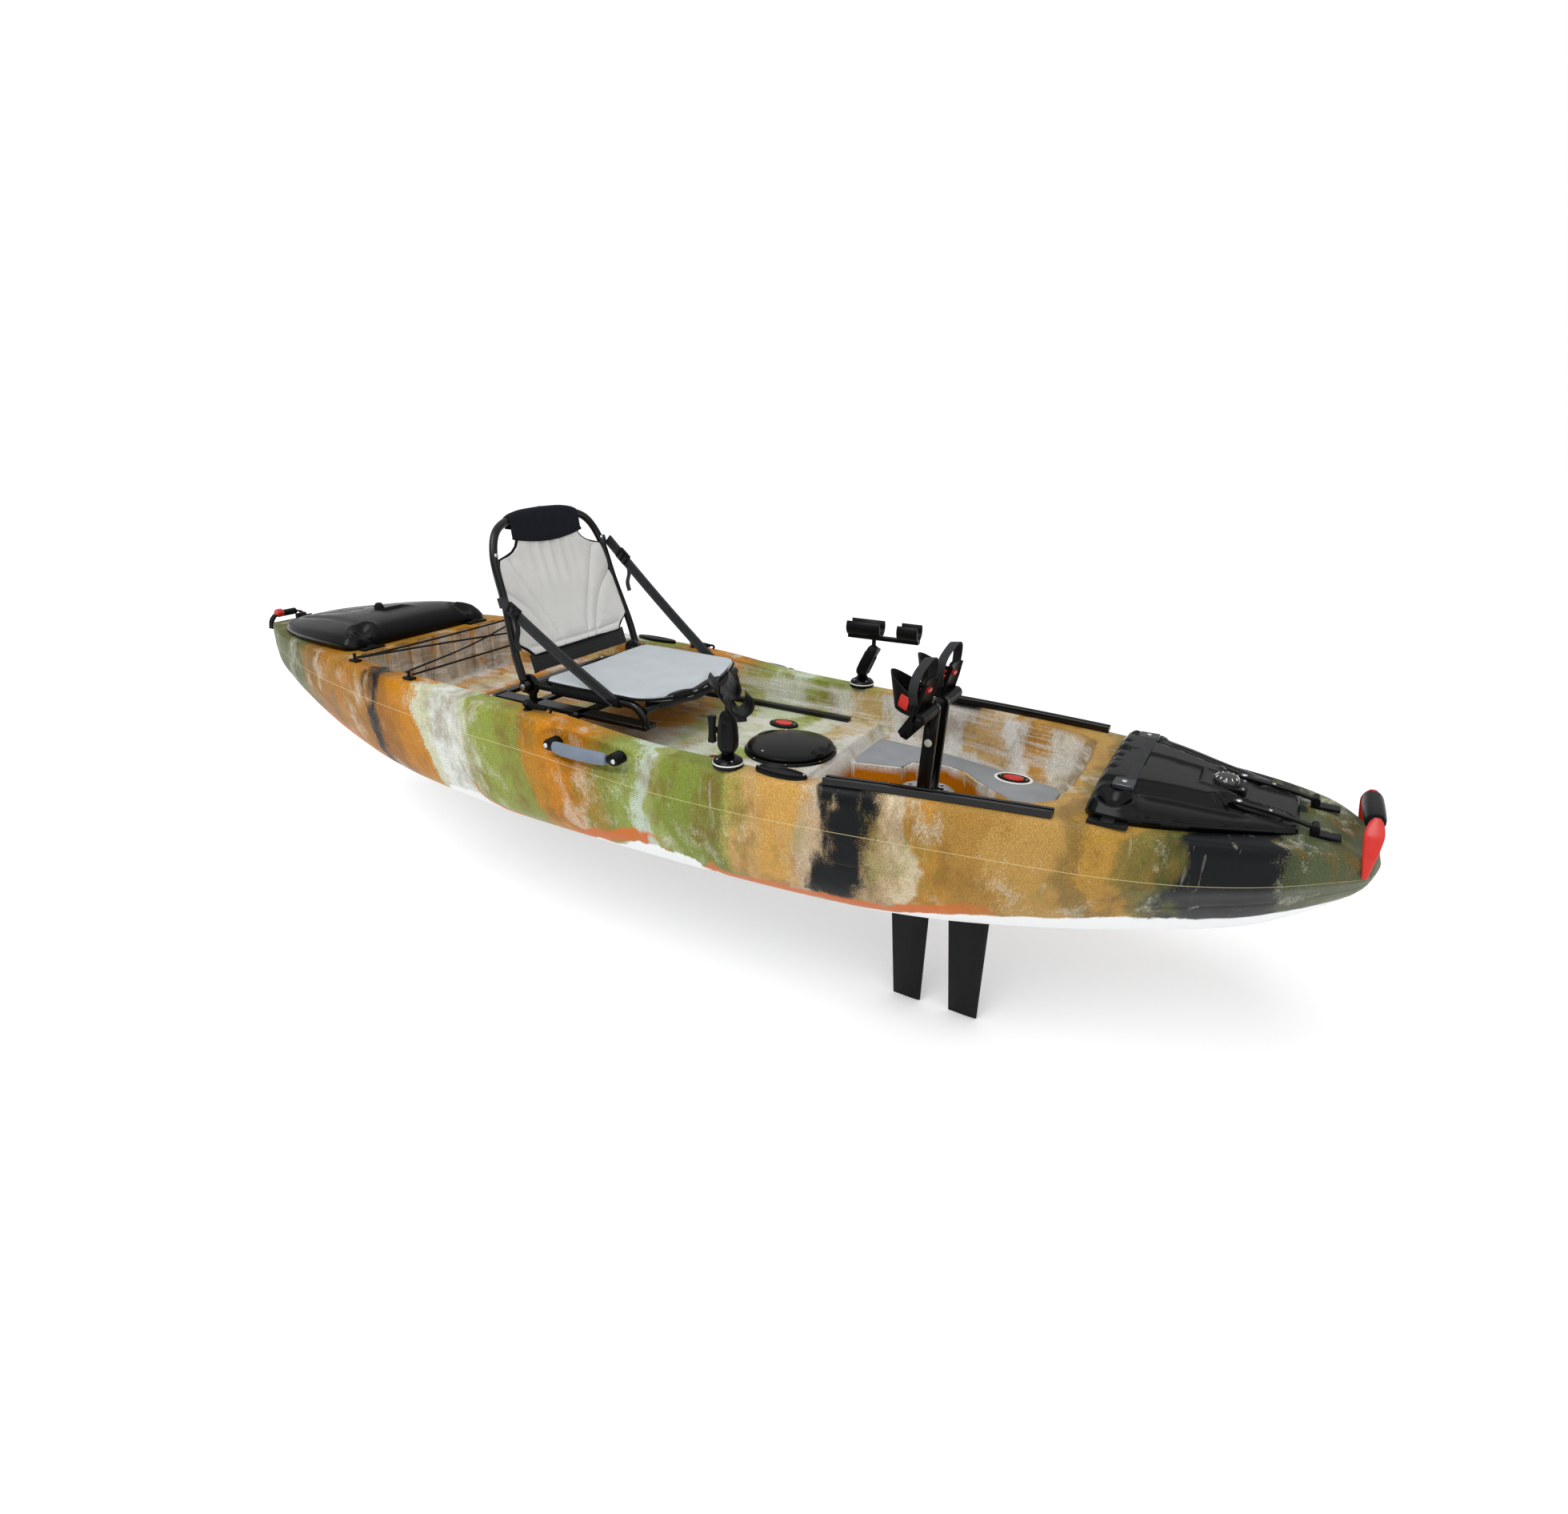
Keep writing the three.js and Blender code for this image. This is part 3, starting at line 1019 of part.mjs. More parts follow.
// Rod holders: a ball on the gunwale, a clamping arm and a cradle on a second ball
function rodHolders() {
  // The sockets' flat facets stay clear of the balls too
  const seatRadius = (ROD.ball / 2 + GAP) / Math.cos(Math.PI / ROD.ballSides) ** 2;
  SIDES.forEach(([name, side], i) => {
    const foot = sheerAt(ROD.x + ROD.base / 2) + GAP;
    const home = vec(ROD.x, side * ROD.half, foot);
    const low = home.clone().add(vec(0, 0, ROD.ballRise));
    const base = join(
      bar(home, home.clone().add(vec(0, 0, ROD.baseHigh)), ROD.base / 2, 24, ROD.baseTop / 2),
      bar(home, low, ROD.post / 2, 12),
      ball(low, ROD.ball / 2, ROD.ballSides),
    );
    piece(`rod_base_${name}`, base, BLACK_PLASTIC);
    const lean = radians(ROD_LEAN[i]);
    const along = vec(Math.sin(lean), 0, Math.cos(lean));
    const span = ROD.arm - ROD.socket;
    const high = low.clone().addScaledVector(along, span);
    const middle = low.clone().addScaledVector(along, span / 2);
    const wingDir = vec(-Math.cos(lean), 0, Math.sin(lean));
    const wingEnd = middle.clone().addScaledVector(wingDir, ROD.wingOut);
    const wing = new THREE.BoxGeometry(ROD.wingWide, ROD.wingThick, ROD.wing);
    wing.rotateY(lean);
    wing.translate(wingEnd.x, wingEnd.y, wingEnd.z);
    const arm = cut(
      join(
        bar(low, high, ROD.waist / 2, 16),
        ball(low, ROD.socket / 2, ROD.ballSides),
        ball(high, ROD.socket / 2, ROD.ballSides),
        bar(middle, wingEnd, ROD.wingThick / 2, 10),
        solid(wing),
      ),
      ball(low, seatRadius, ROD.ballSides),
      ball(high, seatRadius, ROD.ballSides),
      plateSlab(low, along, -1), plateSlab(high, along, 1),
    );
    piece(`rod_arm_${name}`, arm, BLACK_PLASTIC);
    piece(`rod_cradle_${name}`, rodCradle(high, radians(ROD_TURN[i])), BLACK_PLASTIC);
  });
}

// The half space beyond a ball's equator, as a thick slab
function plateSlab(centre, along, way) {
  const size = ROD.socket * 2;
  const geometry = new THREE.BoxGeometry(size, size, size);
  geometry.translate(0, 0, way * (size / 2 + ROD.mouth));
  geometry.applyQuaternion(new THREE.Quaternion().setFromUnitVectors(vec(0, 0, 1), along));
  geometry.translate(centre.x, centre.y, centre.z);
  return solid(geometry);
}

function rodCradle(centre, turn) {
  const seat = centre.z + ROD.ball / 2 + ROD.stemRise;
  const body = [
    ball(centre, ROD.ball / 2, ROD.ballSides),
    bar(centre, vec(centre.x, centre.y, seat + ROD.barHigh / 2), ROD.stem / 2, 12),
  ];
  const length = new THREE.BoxGeometry(ROD.bar, ROD.barWide, ROD.barHigh);
  // A long trough for the rod's butt behind and a short cup ahead
  const cups = [[-1, ROD.troughLong], [1, ROD.cupLong]].map(([end, long]) => {
    const outer = new THREE.CylinderGeometry(ROD.cup / 2, ROD.cup / 2, long, 20);
    const hollow = ROD.cup / 2 - ROD.cupWall;
    const inner = new THREE.CylinderGeometry(hollow, hollow, long * 2, 20);
    const open = new THREE.BoxGeometry(long * 2, hollow * 2, ROD.cup);
    open.translate(0, 0, ROD.cup / 2);
    for (const part of [outer, inner]) part.rotateZ(Math.PI / 2);
    const cup = cut(solid(outer), solid(inner), solid(open));
    return cup.translate([end * (ROD.bar - long) / 2, 0, ROD.cup / 2 + ROD.barHigh / 4]);
  });
  const top = join(solid(length), ...cups)
    .translate([ROD.barShift, 0, 0])
    .rotate([0, 0, THREE.MathUtils.radToDeg(turn)])
    .translate([centre.x, centre.y, seat + ROD.barHigh / 2]);
  return join(...body, top);
}

// Pedal drive

function driveHousing() {
  const { x, pivotZ } = DRIVE;
  const foot = DECK.troughFloor + GAP;
  const [a, b] = [x - DRIVE.bodyLong / 2, x + DRIVE.bodyLong / 2];
  const half = DRIVE.bodyWide / 2;
  const seat = pivotZ + DRIVE.sealHigh;
  const body = block(a, b, -half, half, foot, DRIVE.bodyTop);
  const keel = FIN.axisZ + FIN.root / 2 + GAP;
  const spine = block(DRIVE.spineAft, DRIVE.spineFore, -DRIVE.spineHalf, DRIVE.spineHalf, keel, foot + GAP);
  const head = block(DRIVE.spineAft, DRIVE.spineFore, -half / 3, half / 3, foot, foot + DRIVE.keelDrop);
  const outer = ARM.half + ARM.thick / 2 + ARM.slotClear;
  const inner = ARM.half - ARM.thick / 2 - ARM.slotClear;
  const web = block(x - DRIVE.cheekLong / 2, x + DRIVE.cheekLong / 2, -inner, inner, foot, seat);
  const cheeks = SIDES.map(([, side]) => block(
    x - DRIVE.cheekLong / 2, x + DRIVE.cheekLong / 2, side * outer, side * (outer + DRIVE.cheek),
    DRIVE.bodyTop - GAP, seat,
  ));
  const axle = bar(vec(x, -outer - GAP, pivotZ), vec(x, outer + GAP, pivotZ), DRIVE.axle / 2, 16);
  const [first, second] = [FIN.aftX, FIN.foreX];
  const reach = FIN.chord / 2 + RUN;
  const lugs = [
    [first - reach - FIN.lug, first - reach],
    [first + reach, second - reach],
    [second + reach, second + reach + FIN.lug],
  ].map(([x0, x1]) => join(
    block(x0, x1, -DRIVE.spineHalf, DRIVE.spineHalf, FIN.axisZ, FIN.axisZ + FIN.root),
    bar(vec(x0, 0, FIN.axisZ), vec(x1, 0, FIN.axisZ), FIN.root / 2, 16),
  ));
  const finAxle = bar(
    vec(first - reach - FIN.lug / 2, 0, FIN.axisZ), vec(second + reach + FIN.lug / 2, 0, FIN.axisZ),
    FIN.axle / 2, 12,
  );
  piece('drive_housing', join(body, spine, head, web, ...cheeks, axle, ...lugs, finAxle), BLACK_PLASTIC);
  const low = seat + GAP;
  const disc = bar(vec(x, 0, low), vec(x, 0, low + DRIVE.flangeThick), DRIVE.flange / 2, 28);
  const turned = radians(SWING + ARM.lean);
  const above = low + DRIVE.flangeThick - pivotZ;
  const sweepHalf = ARM.wide / 2 / Math.cos(turned) + above * Math.tan(turned) + ARM.slotClear;
  const windows = SIDES.map(([, side]) => {
    const y0 = side * (ARM.half - ARM.thick / 2 - ARM.slotClear / 2);
    const y1 = side * (ARM.half + ARM.thick / 2 + ARM.slotClear / 2);
    return block(x - sweepHalf, x + sweepHalf, y0, y1, low - OVERRUN, low + OVERRUN);
  });
  const holes = [];
  for (let i = 0; i < DRIVE.flangeHoles; i += 1) {
    const turn = ((i + 0.5) / DRIVE.flangeHoles) * Math.PI * 2;
    const [hx, hy] = [x + DRIVE.flangeRing * Math.cos(turn), DRIVE.flangeRing * Math.sin(turn)];
    holes.push(bar(vec(hx, hy, low - OVERRUN), vec(hx, hy, low + OVERRUN), DRIVE.flangeHole / 2, 8));
  }
  piece('drive_flange', cut(disc, ...windows, ...holes), SILVER_ALUMINIUM);
}

function pedals() {
  const foot = vec(DRIVE.x, 0, DRIVE.pivotZ);
  const lean = radians(ARM.lean);
  const along = vec(Math.sin(lean), 0, Math.cos(lean));
  const top = foot.clone().addScaledVector(along, ARM.length);
  for (const [name, side] of SIDES) {
    const y = side * ARM.half;
    const [y0, y1] = [y - ARM.thick / 2, y + ARM.thick / 2];
    const shaft = new THREE.BoxGeometry(ARM.wide, ARM.thick, ARM.length);
    shaft.translate(0, 0, ARM.length / 2);
    shaft.rotateY(lean);
    shaft.translate(foot.x, y, foot.z);
    const eye = bar(vec(foot.x, y0, foot.z), vec(foot.x, y1, foot.z), ARM.eye / 2, 20);
    const head = bar(vec(top.x, y0, top.z), vec(top.x, y1, top.z), ARM.wide / 2, 16);
    const boltAt = foot.clone().addScaledVector(along, ARM.length * ARM.boltShare);
    const bolt = bar(
      vec(boltAt.x, y, boltAt.z), vec(boltAt.x, side * (Math.abs(y) + ARM.thick / 2 + ARM.boltOut), boltAt.z),
      ARM.bolt / 2, 12,
    );
    const axleEnd = side * (PEDAL.inner + PEDAL.long + GAP);
    const axle = bar(vec(top.x, y, top.z), vec(top.x, axleEnd, top.z), PEDAL.axle / 2, 12);
    const bore = bar(
      vec(foot.x, y - OVERRUN, foot.z), vec(foot.x, y + OVERRUN, foot.z), DRIVE.axle / 2 + RUN, 16,
    );
    piece(`pedal_arm_${name}`, cut(join(solid(shaft), eye, head, bolt, axle), bore), BLACK_ALUMINIUM);
    piece(`pedal_${name}`, pedal(top, side), BLACK_PLASTIC);
  }
}

// A footplate on a hub, with a heel ledge and a toe loop
function pedal(at, side) {
  const mid = side * (PEDAL.inner + PEDAL.long / 2);
  const hub = bar(
    vec(at.x, side * PEDAL.inner, at.z), vec(at.x, side * (PEDAL.inner + PEDAL.long), at.z), PEDAL.hub / 2, 14,
  );
  const sole = new THREE.BoxGeometry(PEDAL.plateThick, PEDAL.long, PEDAL.plateHigh);
  sole.translate(-PEDAL.plateOut, 0, PEDAL.plateHigh * PEDAL.soleShare);
  const heel = new THREE.BoxGeometry(PEDAL.heel, PEDAL.long, PEDAL.plateThick);
  heel.translate(-PEDAL.plateOut - PEDAL.heel / 2, 0, PEDAL.plateThick / 2 - PEDAL.plateHigh * PEDAL.heelShare);
  const outer = new THREE.CylinderGeometry(PEDAL.loop, PEDAL.loop, PEDAL.loopWide, 28, 1);
  const inner = new THREE.CylinderGeometry(
    PEDAL.loop - PEDAL.loopThick, PEDAL.loop - PEDAL.loopThick, PEDAL.loopWide * 2, 28, 1,
  );
  for (const part of [outer, inner]) {
    part.rotateX(Math.PI / 2);
    part.scale(PEDAL.loopShare, PEDAL.long / (PEDAL.loop * 2), 1);
  }
  const behind = new THREE.BoxGeometry(PEDAL.loop * 2, PEDAL.long * 2, PEDAL.loopWide * 2);
  behind.translate(PEDAL.loop, 0, 0);
  const loop = cut(solid(outer), solid(inner), solid(behind)).translate([-PEDAL.plateOut, 0, PEDAL.loopZ]);
  const filler = block(
    -PEDAL.plateOut, 0, -PEDAL.long / 2, PEDAL.long / 2, -PEDAL.hub / 3, PEDAL.hub / 3,
  );
  const foot = join(solid(sole), solid(heel), loop, filler)
    .rotate([0, PEDAL.lean, 0])
    .translate([at.x, mid, at.z]);
  const bore = bar(vec(at.x, 0, at.z), vec(at.x, side * OVERRUN * 4, at.z), PEDAL.axle / 2 + RUN, 12);
  return cut(join(hub, foot), bore);
}

function fins() {
  [['aft', FIN.aftX], ['fore', FIN.foreX]].forEach(([place, centre]) => {
    const ring = (x, chord, thick, z) => FOIL_SHARES.map(([at, out]) => vec(x + at * chord, out * thick, z));
    const blade = solid(loft([
      ring(centre, FIN.chord, FIN.thick, FIN.axisZ),
      ring(centre + FIN.sweep, FIN.tipChord, FIN.tipThick, FIN.axisZ - FIN.reach),
    ], planOf));
    const [a, b] = [centre - FIN.chord / 2, centre + FIN.chord / 2];
    const root = bar(vec(a, 0, FIN.axisZ), vec(b, 0, FIN.axisZ), FIN.root / 2, 16);
    const bore = bar(vec(a - OVERRUN, 0, FIN.axisZ), vec(b + OVERRUN, 0, FIN.axisZ), FIN.axle / 2 + RUN, 12);
    piece(`fin_${place}`, cut(join(blade, root), bore), BLACK_PLASTIC);
  });
}

hull();
footPads();
valves();
roundHatch();
tracksAndRails();
gunwaleFittings();
sideHandles();
toggle('bow', BOW_TOGGLE, BLACK_PLASTIC, RED_PLASTIC);
toggle('stern', STERN_TOGGLE, BLACK_PLASTIC, RED_PLASTIC);
bowHatch();
catches();
sternHatch();
cordHooks();
tankCord();
seatFrame();
seatPan();
seatBack();
rodHolders();
driveHousing();
pedals();
fins();

export default kayak;
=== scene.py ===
"""Looks of a sit-on-top pedal kayak, in metres: +X to the bow, +Y to port, +Z up."""
import math

import bpy
import numpy as np
from mathutils import Matrix, Vector


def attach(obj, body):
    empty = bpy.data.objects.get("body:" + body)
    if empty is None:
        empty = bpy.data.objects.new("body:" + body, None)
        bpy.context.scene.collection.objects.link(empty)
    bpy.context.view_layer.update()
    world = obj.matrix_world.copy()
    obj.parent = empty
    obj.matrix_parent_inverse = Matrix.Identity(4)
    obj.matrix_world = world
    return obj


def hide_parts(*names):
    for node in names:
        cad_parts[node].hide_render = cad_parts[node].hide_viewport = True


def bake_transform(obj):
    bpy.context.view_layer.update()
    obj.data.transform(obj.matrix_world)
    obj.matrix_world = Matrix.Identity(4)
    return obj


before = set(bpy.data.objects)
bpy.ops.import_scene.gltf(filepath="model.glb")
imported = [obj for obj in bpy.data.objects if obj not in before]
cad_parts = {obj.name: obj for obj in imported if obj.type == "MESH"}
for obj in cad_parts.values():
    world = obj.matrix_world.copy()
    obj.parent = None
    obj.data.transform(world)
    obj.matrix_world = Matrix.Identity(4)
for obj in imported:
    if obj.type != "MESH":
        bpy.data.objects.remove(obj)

bl_info = {
    "name": "Pedal kayak looks",
    "version": (1, 0, 0),
    "blender": (4, 5, 0),
    "location": "3D View > Sidebar > Kayak",
    "description": "Builds the visual pieces, materials and studio of a pedal kayak",
    "category": "Object",
}

SIDES = (("starboard", -1), ("port", 1))
SQUARE = ((-1, -1), (1, -1), (1, 1), (-1, 1))
TIP_RADIUS = 1e-4  # where a turned profile closes

# Hull tables: station share (-1 stern tip, 1 bow tip) and share of the half beam or depth
HULL_FORE, HULL_AFT, HALF_BEAM, DEPTH = 1.75, 1.72, 0.42, 0.372
BEAM = (
    (-1, 0.067), (-0.983, 0.148), (-0.942, 0.25), (-0.843, 0.464), (-0.698, 0.686), (-0.581, 0.817),
    (-0.407, 0.933), (-0.203, 0.99), (0, 1), (0.171, 0.981), (0.343, 0.929), (0.514, 0.845),
    (0.686, 0.726), (0.829, 0.571), (0.931, 0.405), (0.983, 0.25), (1, 0.143),
)
SHEER = (
    (-1, 0.927), (-0.96, 0.96), (-0.81, 1.005), (-0.7, 1.035), (-0.58, 1.048), (-0.35, 1.035),
    (-0.23, 1.024), (-0.04, 1.005), (0.126, 0.941), (0.274, 0.93), (0.48, 0.954), (0.657, 0.962),
    (0.8, 0.943), (0.943, 0.92), (1, 0.833),
)
KEEL = (
    (-1, 0.578), (-0.988, 0.47), (-0.965, 0.309), (-0.919, 0.148), (-0.843, 0.048), (-0.698, 0),
    (0.686, 0), (0.771, 0.048), (0.834, 0.121), (0.891, 0.228), (0.943, 0.39), (0.983, 0.551), (1, 0.672),
)
FLAT = (
    (-1, 0.014), (-0.93, 0.029), (-0.843, 0.06), (-0.756, 0.119), (-0.64, 0.226), (-0.465, 0.393),
    (-0.29, 0.5), (-0.116, 0.56), (0.171, 0.571), (0.343, 0.548), (0.457, 0.5), (0.543, 0.417),
    (0.629, 0.298), (0.686, 0.202), (0.771, 0.095), (0.857, 0.036), (1, 0.014),
)
VEE = (
    (-1, 1), (-0.843, 0.95), (-0.64, 0.55), (-0.465, 0.2), (-0.29, 0.05), (-0.116, 0),
    (0.343, 0), (0.514, 0.1), (0.629, 0.35), (0.743, 0.7), (0.857, 1), (1, 1),
)
ROUND_SECTION = ((0, 0), (0.075, 0.44), (0.23, 0.77), (0.47, 0.93), (0.71, 1), (0.9, 1))
VEE_SECTION = ((0.02, 0), (0.22, 0.4), (0.4, 0.66), (0.55, 0.84), (0.7, 1), (0.9, 1))
# Moulded lines along the side, as shares of the section's height
SEAM = ((-1, 0.85), (-0.58, 0.8), (0, 0.745), (0.46, 0.71), (1, 0.7))
CREASE = ((-1, 0.56), (0, 0.5), (1, 0.47))
CREASE_ROW, SEAM_ROW = 12, 25
# Columns of the deck between rim, well, floor, trough and slot
DECK_COLUMNS = (8, 8, 26, 4, 16, 1)
TIP_LENGTH = 0.022  # of the rounded ends
STEP, CLOSEST = 0.0065, 0.0012  # usual and least step between two stations

# Outlines in the deck, as (x, half width)
WELL_TOP = (
    (-0.93, 0.268), (-0.87, 0.308), (-0.68, 0.328), (-0.3, 0.342), (0, 0.345), (0.49, 0.34), (0.6, 0.336),
    (0.74, 0.323), (0.89, 0.294), (1.0, 0.269), (1.113, 0.241), (1.154, 0.197), (1.164, 0.102),
)
WELL_FLOOR = (
    (-0.915, 0.262), (-0.87, 0.292), (-0.625, 0.312), (-0.58, 0.318), (0, 0.325), (0.54, 0.322), (0.74, 0.298),
    (0.89, 0.258), (1.0, 0.228), (1.085, 0.208), (1.115, 0.168), (1.125, 0.09),
)
FLOOR_HEIGHTS = (
    (-0.93, 0.235), (-0.632, 0.235), (-0.615, 0.278), (-0.59, 0.278), (-0.575, 0.255), (0.528, 0.255),
    (0.552, 0.215), (1.2, 0.215),
)
TROUGH = (
    (0.562, 0.082), (0.69, 0.112), (0.712, 0.168), (0.74, 0.184), (0.79, 0.184), (0.84, 0.16), (0.882, 0.118),
    (0.96, 0.066), (1.04, 0.016),
)
TROUGH_FLOOR, TROUGH_WALL = 0.12, 0.012
SLOT = (0.698, 1.022, 0.034)  # aft end, fore end, half width
BOW_HATCH = ((1.275, 0.175), (1.4, 0.15), (1.54, 0.08))
STERN_HATCH = ((-1.47, 0.09), (-1.3, 0.17), (-1.02, 0.2))
HANDLE_RECESS = (0.075, 0.325, 0.15, 0.04, 0.013)  # x, z, half length, half height, depth
ROUND_HATCH = (0.414, 0.104)  # x and radius

# Hatch covers, as (x, half width, height)
BOW_COVER = (
    (1.214, 0.236, 0.048), (1.24, 0.252, 0.05), (1.29, 0.25, 0.048), (1.36, 0.226, 0.043), (1.45, 0.184, 0.032),
    (1.54, 0.138, 0.022), (1.594, 0.104, 0.017),
)
STERN_COVER = (
    (-1.592, 0.062, 0.014), (-1.54, 0.1, 0.024), (-1.45, 0.162, 0.039), (-1.32, 0.218, 0.053),
    (-1.18, 0.256, 0.066), (-1.066, 0.274, 0.073), (-1.0, 0.276, 0.064), (-0.966, 0.262, 0.04),
)
COVER_SECTION = ((0, 1), (0.45, 0.97), (0.72, 0.86), (0.93, 0.62), (1, 0.3))
HINGE_Y = 0.077
COVER_STRAP_X = 1.272
COMPASS_X, COMPASS_HALF = 1.451, 0.039

# Seat: the back turns about PIVOT, and its outlines are half widths against the rise along it
PIVOT = Vector((-0.28, 0, 0.385))
BACK_LEAN = math.radians(16.6)
BACK_FACING = (math.cos(BACK_LEAN), 0, math.sin(BACK_LEAN))
BACK_HALF_THICK = 0.0045
BACK_LOOP = (
    (0.245, 0.0167), (0.245, 0.081), (0.227, 0.226), (0.216, 0.353), (0.181, 0.416), (0.108, 0.445), (0, 0.452),
)
BACK_PANEL = (
    (0.072, 0.18), (0.082, 0.19), (0.095, 0.203), (0.108, 0.222), (0.118, 0.234), (0.226, 0.225),
    (0.32, 0.2125), (0.338, 0.2055), (0.345, 0.178), (0.353, 0.152), (0.367, 0.132), (0.385, 0.12),
    (0.4, 0.112),
)
STRAP_TOPS = {"starboard": (0.245, 0.2305), "port": (0.236, 0.345)}
PAN_HALVES = ((-0.234, 0.2), (-0.214, 0.224), (0.06, 0.225), (0.1, 0.212), (0.122, 0.16), (0.14, 0.06))
SEAT_TUBE, SEAT_SIDE = 0.011, 0.22
SEAT_BASE = (0.322, 0.334)  # underside and top of the base frame
SEAT_LEGS = (-0.422, -0.28, -0.111)
# Seams of the back, as half width and rise
SEAMS = (
    ((0.05, 0.08), (0.07, 0.14), (0.12, 0.24), (0.168, 0.335)),
    ((0.085, 0.08), (0.1, 0.12), (0.15, 0.2), (0.22, 0.262)),
    ((0, 0.09), (0.1, 0.091), (0.19, 0.097)),
)

# Fittings
FOOT_PAD = (
    (0.528, 0.3), (0.74, 0.284), (0.89, 0.246), (1.0, 0.216), (1.072, 0.196), (1.09, 0.165), (1.086, 0.034),
    (1.05, 0.034), (0.962, 0.084), (0.892, 0.134), (0.846, 0.178), (0.792, 0.2), (0.736, 0.2), (0.696, 0.176),
    (0.682, 0.128), (0.56, 0.098), (0.53, 0.18),
)
VALVES = (("front", 0.962, 0.2, 0.215), ("middle", 0.3, 0.168, 0.255), ("rear", -0.684, 0.25, 0.235))
TRACK_HIGH = 0.0155
# Lower and upper ball of each rod holder's arm
ROD_BALLS = {
    "starboard": ((0.451, -0.364, 0.3888), (0.451, -0.364, 0.4668)),
    "port": ((0.451, 0.364, 0.3888), (0.4827, 0.364, 0.46)),
}

# Pedal drive
ARM_BOLT = (0.8087, 0.0385, 0.365)
PEDAL_TOP = (0.81308, 0.085, 0.44866)
PEDAL_TILT = math.radians(14)
PEDAL_HEEL = -0.012
BAND_REACH, BAND_WIDE = 0.0672, 0.049

# Camera: focal length in pixels of the photograph, yaw, pitch and roll, and place
PHOTO_WIDTH, FOCAL_LENGTH = 1960, 1128.1152
CAMERA_TURN = (0.5053, 0.3756, 0.0133)
CAMERA_PLACE = (1.484, -1.9692, 1.1191)


# Numbers

def hermite(t, a, b, ta, tb):
    """Cubic between a and b with end tangents."""
    return (
        (2 * t**3 - 3 * t**2 + 1) * a + (3 * t**2 - 2 * t**3) * b
        + (t**3 - 2 * t**2 + t) * ta + (t**3 - t**2) * tb
    )


def share_at(table, place):
    """Smooth value of a table at each place. Flat stretches stay flat."""
    x, y = np.array(table, float)[:, :2].T
    slopes = np.diff(y) / np.diff(x)
    tangents = np.concatenate(([slopes[0]], (y[2:] - y[:-2]) / (x[2:] - x[:-2]), [slopes[-1]]))
    tangents[1:-1][slopes[:-1] * slopes[1:] <= 0] = 0
    place = np.clip(np.asarray(place, float), x[0], x[-1])
    k = np.clip(np.searchsorted(x, place, side="right") - 1, 0, len(x) - 2)
    span = x[k + 1] - x[k]
    return hermite((place - x[k]) / span, y[k], y[k + 1], span * tangents[k], span * tangents[k + 1])


def ease(t):
    """Smooth step from 0 to 1."""
    t = np.clip(t, 0, 1)
    return t * t * (3 - 2 * t)


def station_share(x):
    x = np.asarray(x, float)
    return np.where(x < 0, x / HULL_AFT, x / HULL_FORE)


def sheer(x):
    return DEPTH * share_at(SHEER, station_share(x))


def half_beam(x):
    return HALF_BEAM * share_at(BEAM, station_share(x))


def outline_of(halves):
    """A closed plan outline from its port half."""
    port = [(x, half) for x, half in halves]
    return np.array(port + [(x, -half) for x, half in reversed(port)])


def distance(outline, x, y):
    """Signed distance to a closed outline, negative inside."""
    points = np.stack([x, y], -1)[..., None, :]
    a, b = outline, np.roll(outline, -1, 0)
    edge = b - a
    t = np.clip(((points - a) * edge).sum(-1) / (edge * edge).sum(-1), 0, 1)
    away = np.linalg.norm(points - a - t[..., None] * edge, axis=-1).min(-1)
    py = points[..., 1]
    crosses = (a[:, 1] > py) != (b[:, 1] > py)
    rise = np.where(edge[:, 1] == 0, 1, edge[:, 1])
    at = a[:, 0] + (py - a[:, 1]) / rise * edge[:, 0]
    inside = (crosses & (points[..., 0] < at)).sum(-1) % 2 == 1
    return np.where(inside, -away, away)


def smooth_path(points, steps, closed=False):
    """Points along a Catmull-Rom curve through the given ones."""
    p = np.array([tuple(q) for q in points], float)
    if closed:
        p = np.vstack([p[-1], p, p[0], p[1]])
    else:
        p = np.vstack([2 * p[0] - p[1], p, 2 * p[-1] - p[-2]])
    made = []
    for i in range(1, len(p) - 2):
        chords = [max(np.linalg.norm(p[j + 1] - p[j]), 1e-6) ** 0.5 for j in range(i - 1, i + 2)]
        ta = (p[i] - p[i - 1]) / chords[0] - (p[i + 1] - p[i - 1]) / (chords[0] + chords[1])
        ta = (ta + (p[i + 1] - p[i]) / chords[1]) * chords[1]
        tb = (p[i + 1] - p[i]) / chords[1] - (p[i + 2] - p[i]) / (chords[1] + chords[2])
        tb = (tb + (p[i + 2] - p[i + 1]) / chords[2]) * chords[1]
        for t in np.linspace(0, 1, steps, endpoint=False):
            made.append(hermite(t, p[i], p[i + 1], ta, tb))
    if not closed:
        made.append(p[-2])
    return np.array(made)


# Meshes

def mesh_object(name, points, faces, finish, angle=35):
    """A mesh with smooth shading that breaks at sharp edges."""
    mesh = bpy.data.meshes.new(name)
    mesh.from_pydata([tuple(p) for p in points], [], faces)
    mesh.validate()
    mesh.polygons.foreach_set("use_smooth", [True] * len(mesh.polygons))
    mesh.set_sharp_from_angle(angle=math.radians(angle))
    made = bpy.data.objects.new(name, mesh)
    bpy.context.scene.collection.objects.link(made)
    mesh.materials.append(material(finish))
    return made


